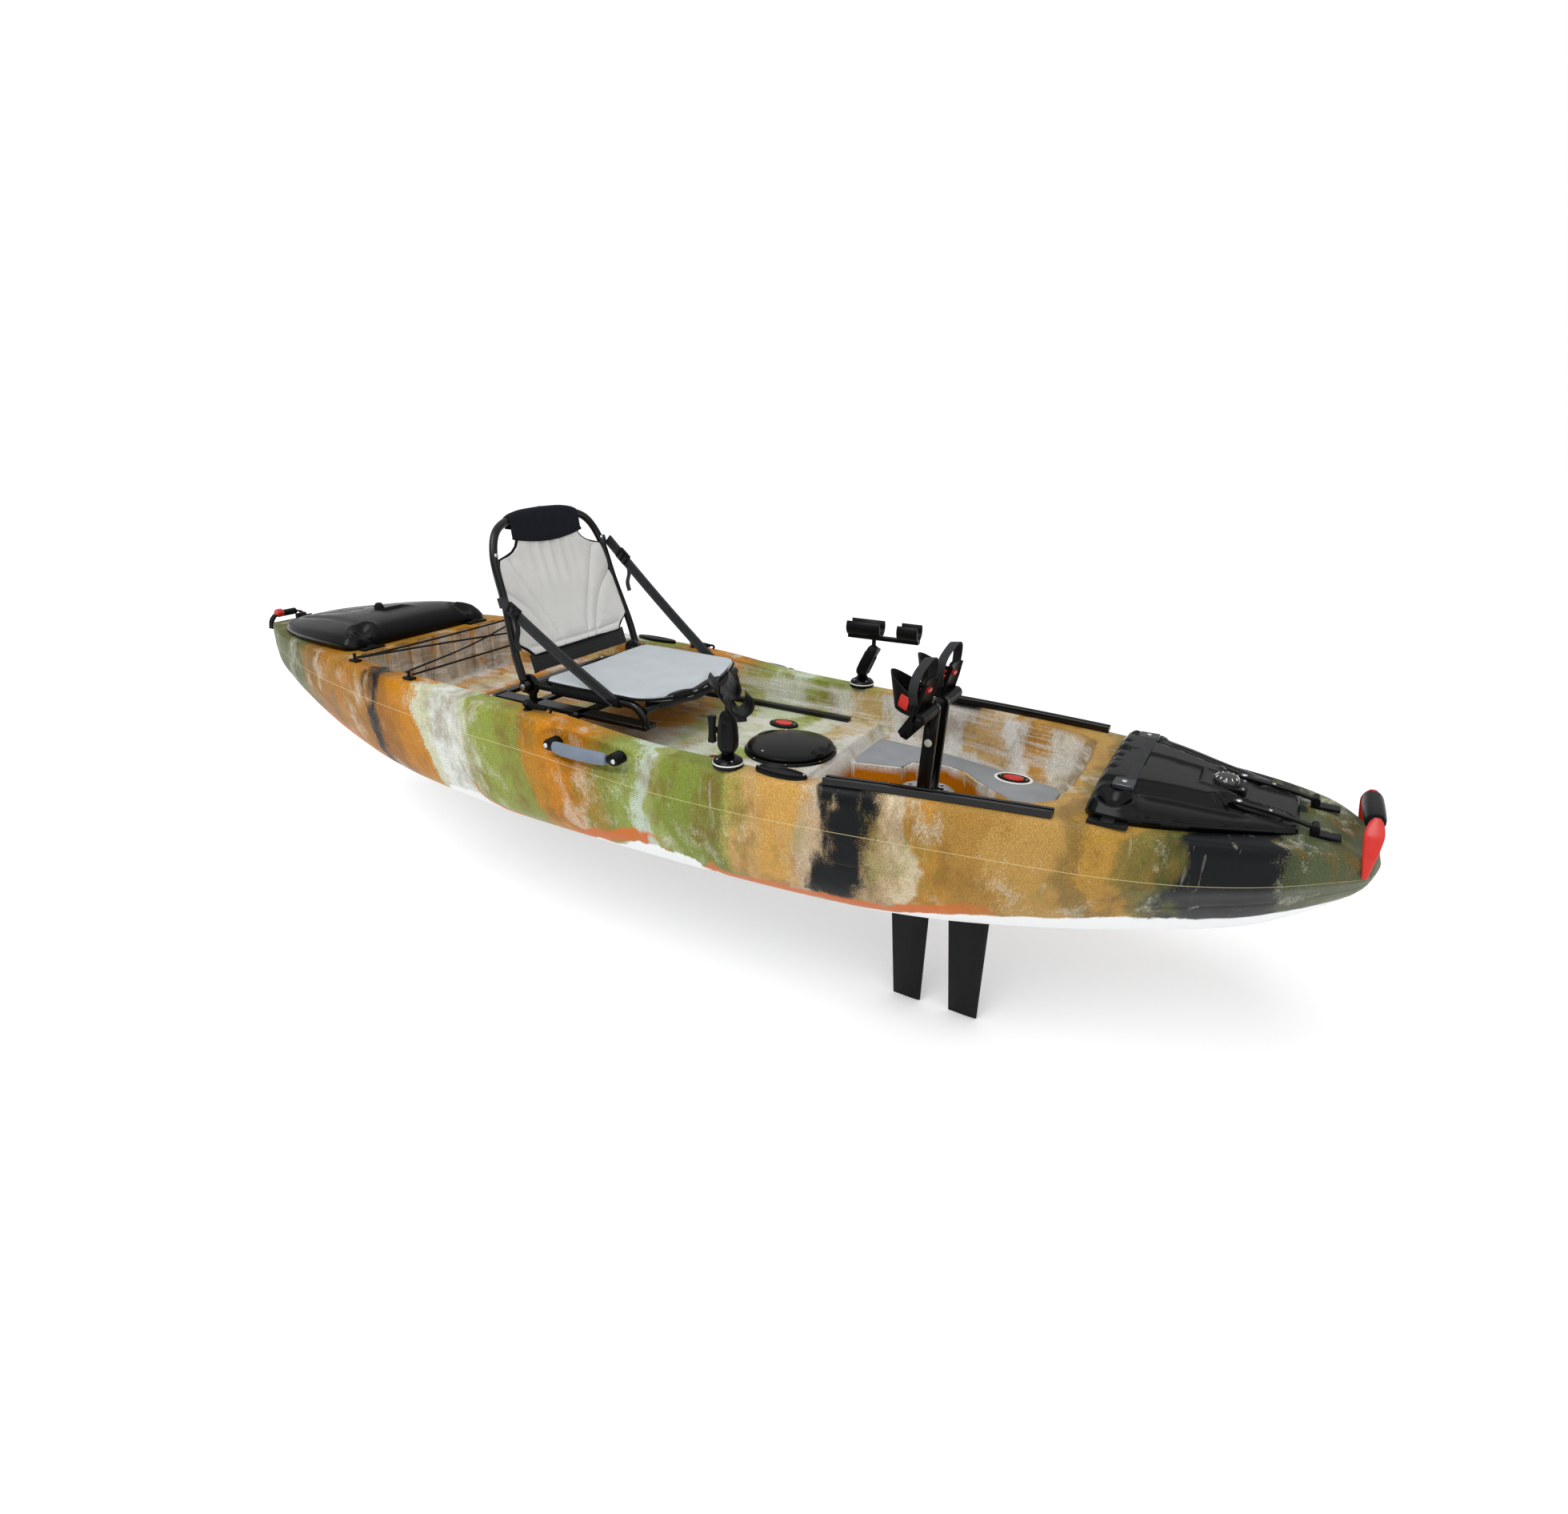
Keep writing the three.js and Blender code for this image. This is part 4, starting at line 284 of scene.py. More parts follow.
class Form:
    """Gathers the closed parts of one piece."""

    def __init__(self):
        self.points = []
        self.faces = []

    def put(self, points, faces):
        base = len(self.points)
        self.points += [tuple(p) for p in points]
        self.faces += [tuple(i + base for i in face) for face in faces]

    def loft(self, rings, closed=False):
        """A skin through rings of equal count, given in order along the piece."""
        count, last = len(rings[0]), len(rings)
        faces = []
        for r in range(last if closed else last - 1):
            a, b = r * count, ((r + 1) % last) * count
            faces += [(a + i, a + (i + 1) % count, b + (i + 1) % count, b + i) for i in range(count)]
        if not closed:
            faces.append(tuple(reversed(range(count))))
            faces.append(tuple(range((last - 1) * count, last * count)))
        self.put([p for ring in rings for p in ring], faces)

    def sweep(self, path, section, closed=False, up=(0, 0, 1)):
        """A section (across, up) carried along a path without twisting."""
        path = np.array([tuple(p) for p in path], float)
        ahead = np.roll(path, -1, 0) - path if closed else np.gradient(path, axis=0)
        behind = path - np.roll(path, 1, 0) if closed else ahead
        ahead = ahead + behind
        ahead /= np.linalg.norm(ahead, axis=1)[:, None]
        normal = np.array(up, float)
        rings = []
        for point, along in zip(path, ahead):
            normal = normal - along * normal.dot(along)
            normal /= np.linalg.norm(normal)
            across = np.cross(along, normal)
            rings.append([point + across * a + normal * b for a, b in section])
        self.loft(rings, closed)

    def tube(self, path, radius, closed=False, sides=14):
        self.sweep(path, circle(radius, sides), closed)

    def rod(self, a, b, radius, end=None, sides=24):
        """A round bar from a to b that may taper."""
        a, b = Vector(a), Vector(b)
        turn = (b - a).to_track_quat("Z", "Y")
        self.loft([
            [p + turn @ Vector((x, y, 0)) for x, y in circle(r, sides)]
            for p, r in ((a, radius), (b, radius if end is None else end))
        ])

    def block(self, low, high, turn=None):
        """A box between two corners, turned about its own centre."""
        low, high = Vector(low), Vector(high)
        middle = (low + high) / 2
        corners = [
            Vector((x, y, z)) for z in (low.z, high.z)
            for x, y in ((low.x, low.y), (high.x, low.y), (high.x, high.y), (low.x, high.y))
        ]
        if turn is not None:
            corners = [middle + turn @ (c - middle) for c in corners]
        self.loft([corners[:4], corners[4:]])

    def lathe(self, profile, origin, axis=(0, 0, 1), sides=40):
        """A profile of (radius, height) turned about an axis."""
        origin, turn = Vector(origin), Vector(axis).to_track_quat("Z", "Y")
        self.loft([
            [origin + turn @ Vector((x, y, z)) for x, y in circle(max(r, TIP_RADIUS), sides)]
            for r, z in profile
        ])

    def plate(self, outline, low, high):
        """A flat plate with a closed plan outline."""
        self.loft([[(x, y, z) for x, y in outline] for z in (low, high)])

    def button(self, x, y, z, length, width, steps):
        """A flat-sided oval on its foot, by how far each ring stands in and how high."""
        self.loft([
            [(px, py, z + high) for px, py in oval(x, y, length - 2 * inset, width - 2 * inset)]
            for inset, high in steps
        ])

    def make(self, name, finish, body="hull_body", replaced=(), slot=None, edge=0.0012, angle=35):
        """The piece itself, with its edges eased, riding its body."""
        made = mesh_object(name, self.points, self.faces, finish, angle)
        if edge:
            ease_edges(made, edge)
        return settle(made, body, replaced)

    def make_screws(self, name, body="hull_body"):
        """Small steel heads, whose edges are too fine to ease."""
        self.make(name, "steel", body, edge=0)


def circle(radius, sides):
    turns = [2 * math.pi * i / sides for i in range(sides)]
    return [(radius * math.cos(t), radius * math.sin(t)) for t in turns]


def ribbon(width, thick):
    """A strap's section with softened corners."""
    a, b, c = width / 2, thick / 2, thick / 4
    return [(a - c, -b), (a, -b + c), (a, b - c), (a - c, b), (c - a, b), (-a, b - c), (-a, c - b), (c - a, -b)]


def oval(x, y, length, width):
    return [(x + length / 2 * a, y + width / 2 * b) for a, b in circle(1, 40)]


def ease_edges(made, width):
    bevel = made.modifiers.new("Edges", "BEVEL")
    bevel.width = width
    bevel.segments = 2
    bevel.limit_method = "ANGLE"
    bevel.angle_limit = math.radians(40)


def settle(made, body, replaced=()):
    if body:
        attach(made, body)
    if replaced:
        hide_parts(*replaced)
    return made


def keep(finish, *names, edge=0.001):
    """Shows CAD nodes with eased edges and a finish."""
    for name in names:
        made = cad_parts[name]
        made.data.materials.clear()
        made.data.materials.append(material(finish))
        made.data.polygons.foreach_set("use_smooth", [True] * len(made.data.polygons))
        made.data.set_sharp_from_angle(angle=math.radians(35))
        if edge:
            weld = made.modifiers.new("Weld", "WELD")
            weld.merge_threshold = 0.00005
            ease_edges(made, edge)


def screw(form, at, radius, axis=(0, 0, 1)):
    """A round screw head with a sunk drive."""
    profile = [(1, 0), (1, 0.0012), (0.85, 0.0022), (0.45, 0.0024), (0.4, 0.001), (0, 0.001)]
    form.lathe([(radius * share, high) for share, high in profile], at, axis, sides=18)


# Materials

def linear(colour):
    """Linear RGBA from an sRGB hex."""
    parts = [int(colour[i:i + 2], 16) / 255 for i in (1, 3, 5)]
    return tuple(p / 12.92 if p <= 0.04045 else ((p + 0.055) / 1.055) ** 2.4 for p in parts) + (1,)


def plug(tree, value, socket):
    """Links a node or socket to an input, or sets a value there."""
    if isinstance(value, bpy.types.Node):
        value = value.outputs[0]
    if isinstance(value, bpy.types.NodeSocket):
        tree.links.new(value, socket)
    else:
        socket.default_value = value


def node(tree, kind, inputs=None, stops=(), **settings):
    """Adds a node. Inputs are values, sockets or nodes, and stops fill a colour ramp."""
    made = tree.nodes.new(kind)
    for key, value in settings.items():
        setattr(made, key, value)
    for key, value in (inputs or {}).items():
        plug(tree, value, made.inputs[key])
    if stops:
        elements = made.color_ramp.elements
        while len(elements) < len(stops):
            elements.new(1)
        for element, (place, colour) in zip(elements, stops):
            element.position = place
            element.color = colour
    return made


# finish: (sRGB hex, roughness, metallic, mirror level, grain in mm, grain depth in mm, share of clouding)
FINISHES = {
    # Satin moulded nylon: dark with a broad soft sheen and a fine sandy texture
    "black_nylon": ("#070809", 0.38, 0, 0.15, 1.2, 0.05, 0.12),
    # Vacuum-formed ABS: deeper black with a clearer reflection
    "black_abs": ("#030405", 0.22, 0, 0.16, 2.5, 0.02, 0.1),
    # Powder-coated aluminium tube: glossy black with a slight orange peel
    "black_aluminium": ("#070809", 0.22, 0, 0.35, 2.0, 0.02, 0.06),
    # Machined aluminium: bright, fine matt grain
    "silver_aluminium": ("#c9cbcd", 0.3, 1, 0.5, 0.8, 0.02, 0.08),
    # Blackened plates: dark mirror with soft wear
    "dark_steel": ("#4b4e52", 0.3, 1, 0.5, 1.0, 0.01, 0.06),
    # Stainless screws and bolts: pale mirror with soft wear
    "steel": ("#d2d4d6", 0.22, 1, 0.5, 1.0, 0.01, 0.06),
    # Closed-cell foam: flat grey with a fine brushed nap
    "grey_foam": ("#8b8e92", 0.92, 0, 0.2, 0.9, 0.25, 0.08),
    # Moulded red plastic: clean, slightly glossy
    "red_plastic": ("#c4241b", 0.34, 0, 0.5, 1.5, 0.02, 0.05),
    # Soft rubber grip: blue-grey and dull
    "grey_rubber": ("#6d7987", 0.6, 0, 0.4, 1.0, 0.05, 0.1),
    # Woven black binding: nearly no sheen
    "black_binding": ("#0d0e10", 0.85, 0, 0.2, 0.8, 0.15, 0.1),
    # White rubber ring under the rod mounts
    "white_rubber": ("#e6e6e2", 0.5, 0, 0.5, 1.0, 0.02, 0.03),
    # Clear dome over a dark card
    "compass_glass": ("#08090b", 0.05, 0, 0.8, 4.0, 0.0, 0.05),
    # Bungee: round braided sheath with small diagonal cells
    "shock_cord": ("#0e0f10", 0.7, 0, 0.2, 1.0, 0.25, 0.15),
}


def dress(tree, shader, colour, rough, mirror, height, depth, strength):
    """Gives a shader its colour, roughness, mirror level and fine relief."""
    bump = node(tree, "ShaderNodeBump", {"Height": height, "Distance": depth, "Strength": strength})
    looks = {"Base Color": colour, "Roughness": rough, "Specular IOR Level": mirror, "Normal": bump}
    for key, value in looks.items():
        plug(tree, value, shader.inputs[key])


def material(name):
    """Returns the named finish, made on first use."""
    made = bpy.data.materials.get(f"{name}_finish")
    if made:
        return made
    made = bpy.data.materials.new(f"{name}_finish")
    made.use_nodes = True
    tree = made.node_tree
    tree.nodes.clear()
    shader = node(tree, "ShaderNodeBsdfPrincipled")
    node(tree, "ShaderNodeOutputMaterial", {"Surface": shader})
    place = node(tree, "ShaderNodeTexCoord").outputs["Object"]
    if name in FINISHES:
        plain_finish(tree, shader, place, *FINISHES[name])
    else:
        finish, *colours = PATTERNS[name]
        finish(tree, shader, place, *colours)
    return made


def plain_finish(tree, shader, place, colour, rough, metal, mirror, grain_mm, depth_mm, clouding):
    """One colour with clouding, an uneven sheen and a fine grain."""
    cloud = noise(tree, place, 22.0, 4.0)
    grain = noise(tree, place, 1000 / grain_mm, 2.0)
    colour = tinted(tree, linear(colour)[:3], swing(tree, cloud, 1 - clouding, 1 + clouding))
    sheen = swing(tree, cloud, rough * 0.88, min(rough * 1.15, 1))
    shader.inputs["Metallic"].default_value = metal
    dress(tree, shader, colour, sheen, mirror, grain, depth_mm / 1000, 0.6)


# Colours sprayed along the outside and along the inside of the hull: where each starts, and its colour
OUTSIDE = (
    (-1.8, "#4f5e2c"), (-1.56, "#5f6536"), (-1.48, "#4b5826"), (-1.3, "#434f1d"), (-1.2, "#8a662c"),
    (-1.12, "#a26f2c"), (-1.0, "#a87a3c"), (-0.93, "#b37a35"), (-0.86, "#a8763a"), (-0.79, "#8a5c28"),
    (-0.735, "#9c6930"), (-0.69, "#bd7f37"), (-0.63, "#c4873c"), (-0.56, "#cfd0b4"), (-0.5, "#dfe4dd"),
    (-0.36, "#c3cba8"), (-0.31, "#909a4e"), (-0.22, "#8a8e46"), (-0.17, "#b5833d"), (-0.1, "#c3843c"),
    (-0.02, "#b97a31"), (0.07, "#a1803c"), (0.13, "#868840"), (0.17, "#8f9a54"), (0.215, "#c3cfc0"),
    (0.25, "#99a464"), (0.29, "#7f8c43"), (0.41, "#7b8343"), (0.47, "#a39a56"), (0.505, "#c3a06c"),
    (0.57, "#c99f61"), (0.64, "#bca588"), (0.69, "#4a4136"), (0.79, "#8d7a5c"), (0.81, "#b59d7c"),
    (0.84, "#d3c3a6"), (0.89, "#b98b4c"), (0.98, "#a8824a"), (1.08, "#b59158"), (1.18, "#8f7445"),
    (1.24, "#b08a4c"), (1.335, "#7a6a3b"), (1.375, "#4d4e27"), (1.41, "#3c4029"), (1.585, "#434a33"),
    (1.64, "#4d553b"),
)
BLACK = (
    (-1.8, "#000000"), (-0.785, "#ffffff"), (-0.745, "#000000"), (0.692, "#ffffff"), (0.785, "#000000"),
    (1.412, "#ffffff"), (1.58, "#000000"),
)
INSIDE = (
    (-1.8, "#bfb0a0"), (-0.86, "#c08a43"), (-0.78, "#c9b48c"), (-0.72, "#cdbfa4"), (-0.64, "#bf8237"),
    (-0.54, "#c7ae7c"), (-0.44, "#c88c42"), (-0.34, "#aeb06f"), (-0.26, "#c28a45"), (-0.1, "#bc8137"),
    (0.0, "#c99552"), (0.08, "#a9aa66"), (0.2, "#bcc4a8"), (0.26, "#98a25c"), (0.36, "#c5c8b4"),
    (0.43, "#b9a272"), (0.5, "#cfcdc5"), (0.6, "#cbc6bb"), (0.68, "#dbd9d4"), (0.78, "#c9a878"),
    (0.86, "#dcd9d2"), (0.94, "#c1955a"), (1.02, "#d6cfc0"), (1.1, "#bb9250"),
)
# Masks of the hull's finish; the crease mask marks where painted shade runs along the fold
MASKS = ("inner", "trough", "seam", "crease_shade")
# Clouds of powder over the zones: noise scale, where they start and are full, strength, colour
POWDER = (
    (11.0, 0.5, 0.64, 0.55, "#75552a"), (7.0, 0.56, 0.66, 0.4, "#7c8340"), (8.5, 0.55, 0.68, 0.55, "#d9d5c6"),
)
# Height of the white bottom's edge, by x. A ramp holds it times EDGE_SCALE
EDGE_SCALE = 4
WHITE_EDGE = (
    (-1.7, 0.16), (-1.35, 0.15), (-1.19, 0.131), (-0.95, 0.105), (-0.86, 0.07), (-0.79, 0.02), (-0.62, 0.03),
    (-0.5, 0.09), (-0.36, 0.1), (-0.3, 0.02), (-0.1, 0.02), (0.05, 0.04), (0.2, 0.1), (0.34, 0.085),
    (0.43, 0.02), (0.6, 0.03), (0.79, 0.03), (0.94, 0.063), (1.13, 0.107), (1.3, 0.131), (1.46, 0.13),
    (1.6, 0.17), (1.75, 0.2),
)


def bands(tree, along, stops):
    """Colour by x, through as many colour ramps as the stops need."""
    low, high = -HULL_AFT, HULL_FORE
    fac = node(tree, "ShaderNodeMapRange", {"Value": along, "From Min": low, "From Max": high})
    result = None
    for first in range(0, len(stops) - 1, 30):
        group = stops[first:first + 31]
        placed = [(min(max((x - low) / (high - low), 0), 1), colour) for x, colour in group]
        ramp = node(tree, "ShaderNodeValToRGB", {"Fac": fac}, stops=placed)
        if result is None:
            result = ramp.outputs[0]
        else:
            past = node(tree, "ShaderNodeMath", {0: along, 1: group[0][0]}, operation="GREATER_THAN")
            result = mix(tree, past, result, ramp)
    return result


def bordered(patches):
    """Colour stops with a narrow border where each patch meets the next."""
    stops = [(patches[0][0], linear(patches[0][1]))]
    for (_, before), (x, after) in zip(patches, patches[1:]):
        stops += [(x - 0.007, linear(before)), (x + 0.007, linear(after))]
    return stops


def mix(tree, share, a, b):
    """Blend of two colours."""
    return node(tree, "ShaderNodeMix", {0: share, 6: a, 7: b}, data_type="RGBA").outputs[2]


def remap(tree, value, low, high, to_low, to_high):
    return node(tree, "ShaderNodeMapRange", {
        "Value": value, "From Min": low, "From Max": high, "To Min": to_low, "To Max": to_high,
    }).outputs[0]


def swing(tree, value, low, high):
    """Stretches the middle of a noise, 0.3 to 0.7, from low to high."""
    return remap(tree, value, 0.3, 0.7, low, high)


def times(tree, a, b):
    return node(tree, "ShaderNodeMath", {0: a, 1: b}, operation="MULTIPLY").outputs[0]


def tinted(tree, colour, amount):
    """A colour made darker or lighter by an amount round 1."""
    return node(tree, "ShaderNodeVectorMath", {0: colour, "Scale": amount}, operation="SCALE").outputs[0]


def summed(tree, *values):
    total = values[0]
    for value in values[1:]:
        total = node(tree, "ShaderNodeMath", {0: total, 1: value}, operation="ADD").outputs[0]
    return total


def noise(tree, place, scale, detail, roughness=0.5, stretch=None):
    if stretch:
        place = node(tree, "ShaderNodeVectorMath", {0: place, 1: stretch}, operation="MULTIPLY")
    return node(tree, "ShaderNodeTexNoise", {
        "Vector": place, "Scale": scale, "Detail": detail, "Roughness": roughness,
    }).outputs[0]


def hull_finish(tree, shader, place):
    """Rotomoulded polyethylene: dusty patches of camouflage pigment, a white bottom and a waxy sheen."""
    part = node(tree, "ShaderNodeSeparateXYZ", {"Vector": place})
    x, z = part.outputs["X"], part.outputs["Z"]
    broad = noise(tree, place, 5.0, 3.0, 0.5, (1, 1, 0.6))
    ragged = noise(tree, place, 26.0, 5.0, 0.65, (1, 1, 0.4))
    cloud = noise(tree, place, 9.0, 6.0, 0.7)
    dust = noise(tree, place, 330.0, 3.0, 0.8)
    grit = noise(tree, place, 700.0, 2.0, 0.7)
    # Each grain of powder shifts the borders, so every patch ends in a spray of specks
    along = summed(
        tree, x, swing(tree, broad, -0.06, 0.06), swing(tree, ragged, -0.022, 0.022),
        swing(tree, dust, -0.014, 0.014),
    )
    outside, inside, black = (bands(tree, along, bordered(zones)) for zones in (OUTSIDE, INSIDE, BLACK))
    mask = {key: node(tree, "ShaderNodeAttribute", attribute_name=key).outputs["Fac"] for key in MASKS}
    colour = mix(tree, mask["inner"], outside, inside)
    # Brown, olive and pale powder in clouds
    for scale, low, high, amount, tint in POWDER:
        where = summed(tree, noise(tree, place, scale, 5.0, 0.7, (1, 1, 0.55)), swing(tree, dust, -0.05, 0.05))
        colour = mix(tree, remap(tree, where, low, high, 0, amount), colour, linear(tint))
    # Black stripes over the rest of the outside
    black = times(tree, black, remap(tree, mask["inner"], 0, 1, 1, 0))
    colour = mix(tree, black, colour, linear("#090c0f"))
    # Pale scuffs that run up and down, fewer at the stern
    scuffs = remap(tree, noise(tree, place, 1.0, 5.0, 0.75, (34, 34, 3)), 0.62, 0.76, 0, 0.45)
    scuffs = times(tree, scuffs, remap(tree, x, -1.35, -1.15, 0.2, 1))
    colour = mix(tree, scuffs, colour, linear("#dfdccf"))
    # Pale smears along the inside walls
    smears = remap(tree, noise(tree, place, 1.0, 5.0, 0.7, (3, 7, 48)), 0.46, 0.62, 0, 0.82)
    colour = mix(tree, times(tree, smears, mask["inner"]), colour, linear("#dad8d2"))
    colour = mix(tree, mask["trough"], colour, linear("#bb7429"))
    # Light and dark grains of powder
    specks = times(tree, remap(tree, grit, 0.32, 0.68, 0.6, 1.3), remap(tree, dust, 0.34, 0.66, 0.68, 1.3))
    colour = node(tree, "ShaderNodeHueSaturation", {
        "Hue": 0.501, "Saturation": 1.08, "Value": 0.94, "Color": tinted(tree, colour, specks),
    }).outputs[0]
    # The white bottom, with rusty patches along its edge
    edge = bands(tree, along, [(at, (height * EDGE_SCALE,) * 3 + (1,)) for at, height in WHITE_EDGE])
    above = summed(
        tree, z, times(tree, edge, -1 / EDGE_SCALE), swing(tree, ragged, -0.008, 0.008),
        swing(tree, dust, -0.003, 0.003),
    )
    rust = times(tree, remap(tree, above, 0.042, 0.033, 0, 0.95), remap(tree, broad, 0.47, 0.5, 0, 1))
    rust = times(tree, rust, remap(tree, x, 1.15, 0.95, 0, 1))
    colour = mix(tree, rust, colour, linear("#c4682a"))
    colour = mix(tree, remap(tree, above, 0.003, -0.003, 0, 1), colour, linear("#eef0f1"))
    # The mould's parting line, and painted shade as a dark line along the fold below it
    colour = mix(tree, remap(tree, mask["seam"], 0.72, 0.95, 0, 0.75), colour, linear("#dccf9c"))
    colour = mix(tree, remap(tree, mask["crease_shade"], 0.75, 0.95, 0, 0.35), colour, linear("#6a5a34"))
    dress(tree, shader, colour, swing(tree, cloud, 0.38, 0.52), 0.17, dust, 0.0005, 0.5)


def fabric_finish(tree, shader, place, light, dark):
    """Coarse woven polyester: threads that differ a little, with a soft nap."""
    weave = summed(tree, *(noise(tree, place, 420.0, 2.0, 0.6, run) for run in ((1, 1, 2.2), (2.2, 2.2, 1))))
    colour = mix(tree, remap(tree, weave, 0.7, 1.3, 0, 1), linear(dark), linear(light))
    colour = tinted(tree, colour, swing(tree, noise(tree, place, 14.0, 4.0), 0.95, 1.04))
    dress(tree, shader, colour, 0.95, 0.2, weave, 0.0003, 0.5)


def mesh_finish(tree, shader, place):
    """Open black netting: small round holes between threads, a little lighter in the holes."""
    cells = node(tree, "ShaderNodeTexVoronoi", {"Vector": place, "Scale": 330.0, "Randomness": 0.15})
    colour = node(tree, "ShaderNodeValToRGB", {"Fac": cells}, stops=[
        (0.2, linear("#050506")), (0.5, linear("#17181a")), (1.0, linear("#26282b")),
    ])
    dress(tree, shader, colour, 0.75, 0.5, cells, 0.0006, 0.8)


def webbing_finish(tree, shader, place):
    """Nylon webbing: close ribs across the strap with a dull sheen."""
    threads = {"Vector": place, "Scale": 130.0, "Distortion": 0.6}
    ribs = node(tree, "ShaderNodeTexWave", threads, bands_direction="DIAGONAL")
    colour = node(tree, "ShaderNodeValToRGB", {"Fac": noise(tree, place, 60.0, 3.0)}, stops=[
        (0.3, linear("#101214")), (0.7, linear("#1c1f22")),
    ])
    dress(tree, shader, colour, 0.7, 0.5, ribs, 0.0005, 0.7)


# What each patterned finish calls, with its colours
PATTERNS = {
    "hull_plastic": (hull_finish,),
    "grey_fabric": (fabric_finish, "#dfdfdc", "#cecdca"),
    "cool_fabric": (fabric_finish, "#b9bfc3", "#aab0b4"),
    "navy_fabric": (fabric_finish, "#181c26", "#0e1016"),
    "black_mesh": (mesh_finish,),
    "black_webbing": (webbing_finish,),
}


# Hull

def deck_heights(x, y):
    """Height of the deck with everything moulded into it, and masks for the inside and the trough."""
    top = sheer(x)
    # Upright ribs in the tank well's aft wall stand out from it
    rib = ease((np.cos(2 * math.pi * y / 0.084) + 0.1) / 0.5) * ease((0.25 - np.abs(y)) / 0.02)
    x = x - 0.022 * rib * ((x > -0.96) & (x < -0.8))
    floor = np.interp(x, *np.array(FLOOR_HEIGHTS).T)
    out = np.maximum(distance(outline_of(WELL_FLOOR), x, y), 0)
    inside = np.maximum(-distance(outline_of(WELL_TOP), x, y), 0)
    t = out / np.maximum(out + inside, 1e-6)
    ledge = 0.05 * np.sin(np.clip(t * 3, 0, 1) * math.pi * 2)
    wall = np.where(inside <= 0, 1, 0.55 * t + 0.45 * ease(t) + ledge * (t < 0.34))
    z = floor + (top - floor) * np.clip(wall, 0, 1)
    # Low ribs along the tank's floor
    ribs = (out <= 0) & (x < -0.66)
    z = z + ribs * 0.003 * ease((np.cos(2 * math.pi * y / 0.09) - 0.4) * 2)
    # The drive's trough, with a low lip round it
    off = distance(outline_of(TROUGH), x, y)
    slope = np.clip(off / TROUGH_WALL, 0, 1)
    z = np.where(off < TROUGH_WALL, np.minimum(z, TROUGH_FLOOR + (floor - TROUGH_FLOOR) * slope), z)
    z = z + (out <= 0) * 0.004 * np.exp(-((off - 0.02) / 0.006) ** 2)
    trough = (off < 0.01).astype(float)
    # Hatches, as depth into the opening, floor and width of the wall
    openings = [(-distance(outline_of(BOW_HATCH), x, y), 0.22, 0.008)]
    openings.append((-distance(outline_of(STERN_HATCH), x, y), 0.2, 0.008))
    openings.append((ROUND_HATCH[1] - np.hypot(x - ROUND_HATCH[0], y), 0.1, 0.006))
    for into, low, wall in openings:
        z = np.where(into > 0, z + (low - z) * np.clip(into / wall, 0, 1), z)
    # Moulded steps round the bow handle
    for half_long, half_wide, depth in ((0.052, 0.088, 0.003), (0.036, 0.068, 0.004)):
        away = np.maximum(np.abs(x - 1.7) - half_long, np.abs(y) - half_wide)
        z = z - depth * ease(-away / 0.006)
    inner = ease((top - 0.004 - z) / 0.01) * ((x > -1.0) & (x < 1.2))
    return z, inner, trough


def hull_stations():
    """Stations along the hull, close together where the deck has end walls."""
    fore, aft = HULL_FORE - TIP_LENGTH, TIP_LENGTH - HULL_AFT
    close = [
        np.linspace(a, b, n) for a, b, n in (
            (-0.934, -0.894, 22), (-0.634, -0.613, 9), (-0.592, -0.573, 9), (0.526, 0.554, 9), (1.12, 1.166, 9),
            (0.55, 0.564, 4), (1.04, 1.052, 3), (0.69, 0.714, 5),
        )
    ]
    tips = TIP_LENGTH * np.sin(np.linspace(0, 1, 8)[1:] * math.pi / 2)
    made = np.concatenate([np.arange(aft, fore, STEP), *close, SLOT[:2], fore + tips, aft - tips])
    made = np.unique(np.round(made, 5))
    kept = [made[0]]
    for x in made[1:]:
        snapped = np.isclose(x, SLOT[:2]).any()
        if snapped and x - kept[-1] < CLOSEST:
            kept[-1] = x
        elif x - kept[-1] >= CLOSEST or abs(x) > 1.69:
            kept.append(x)
    return np.array(kept)


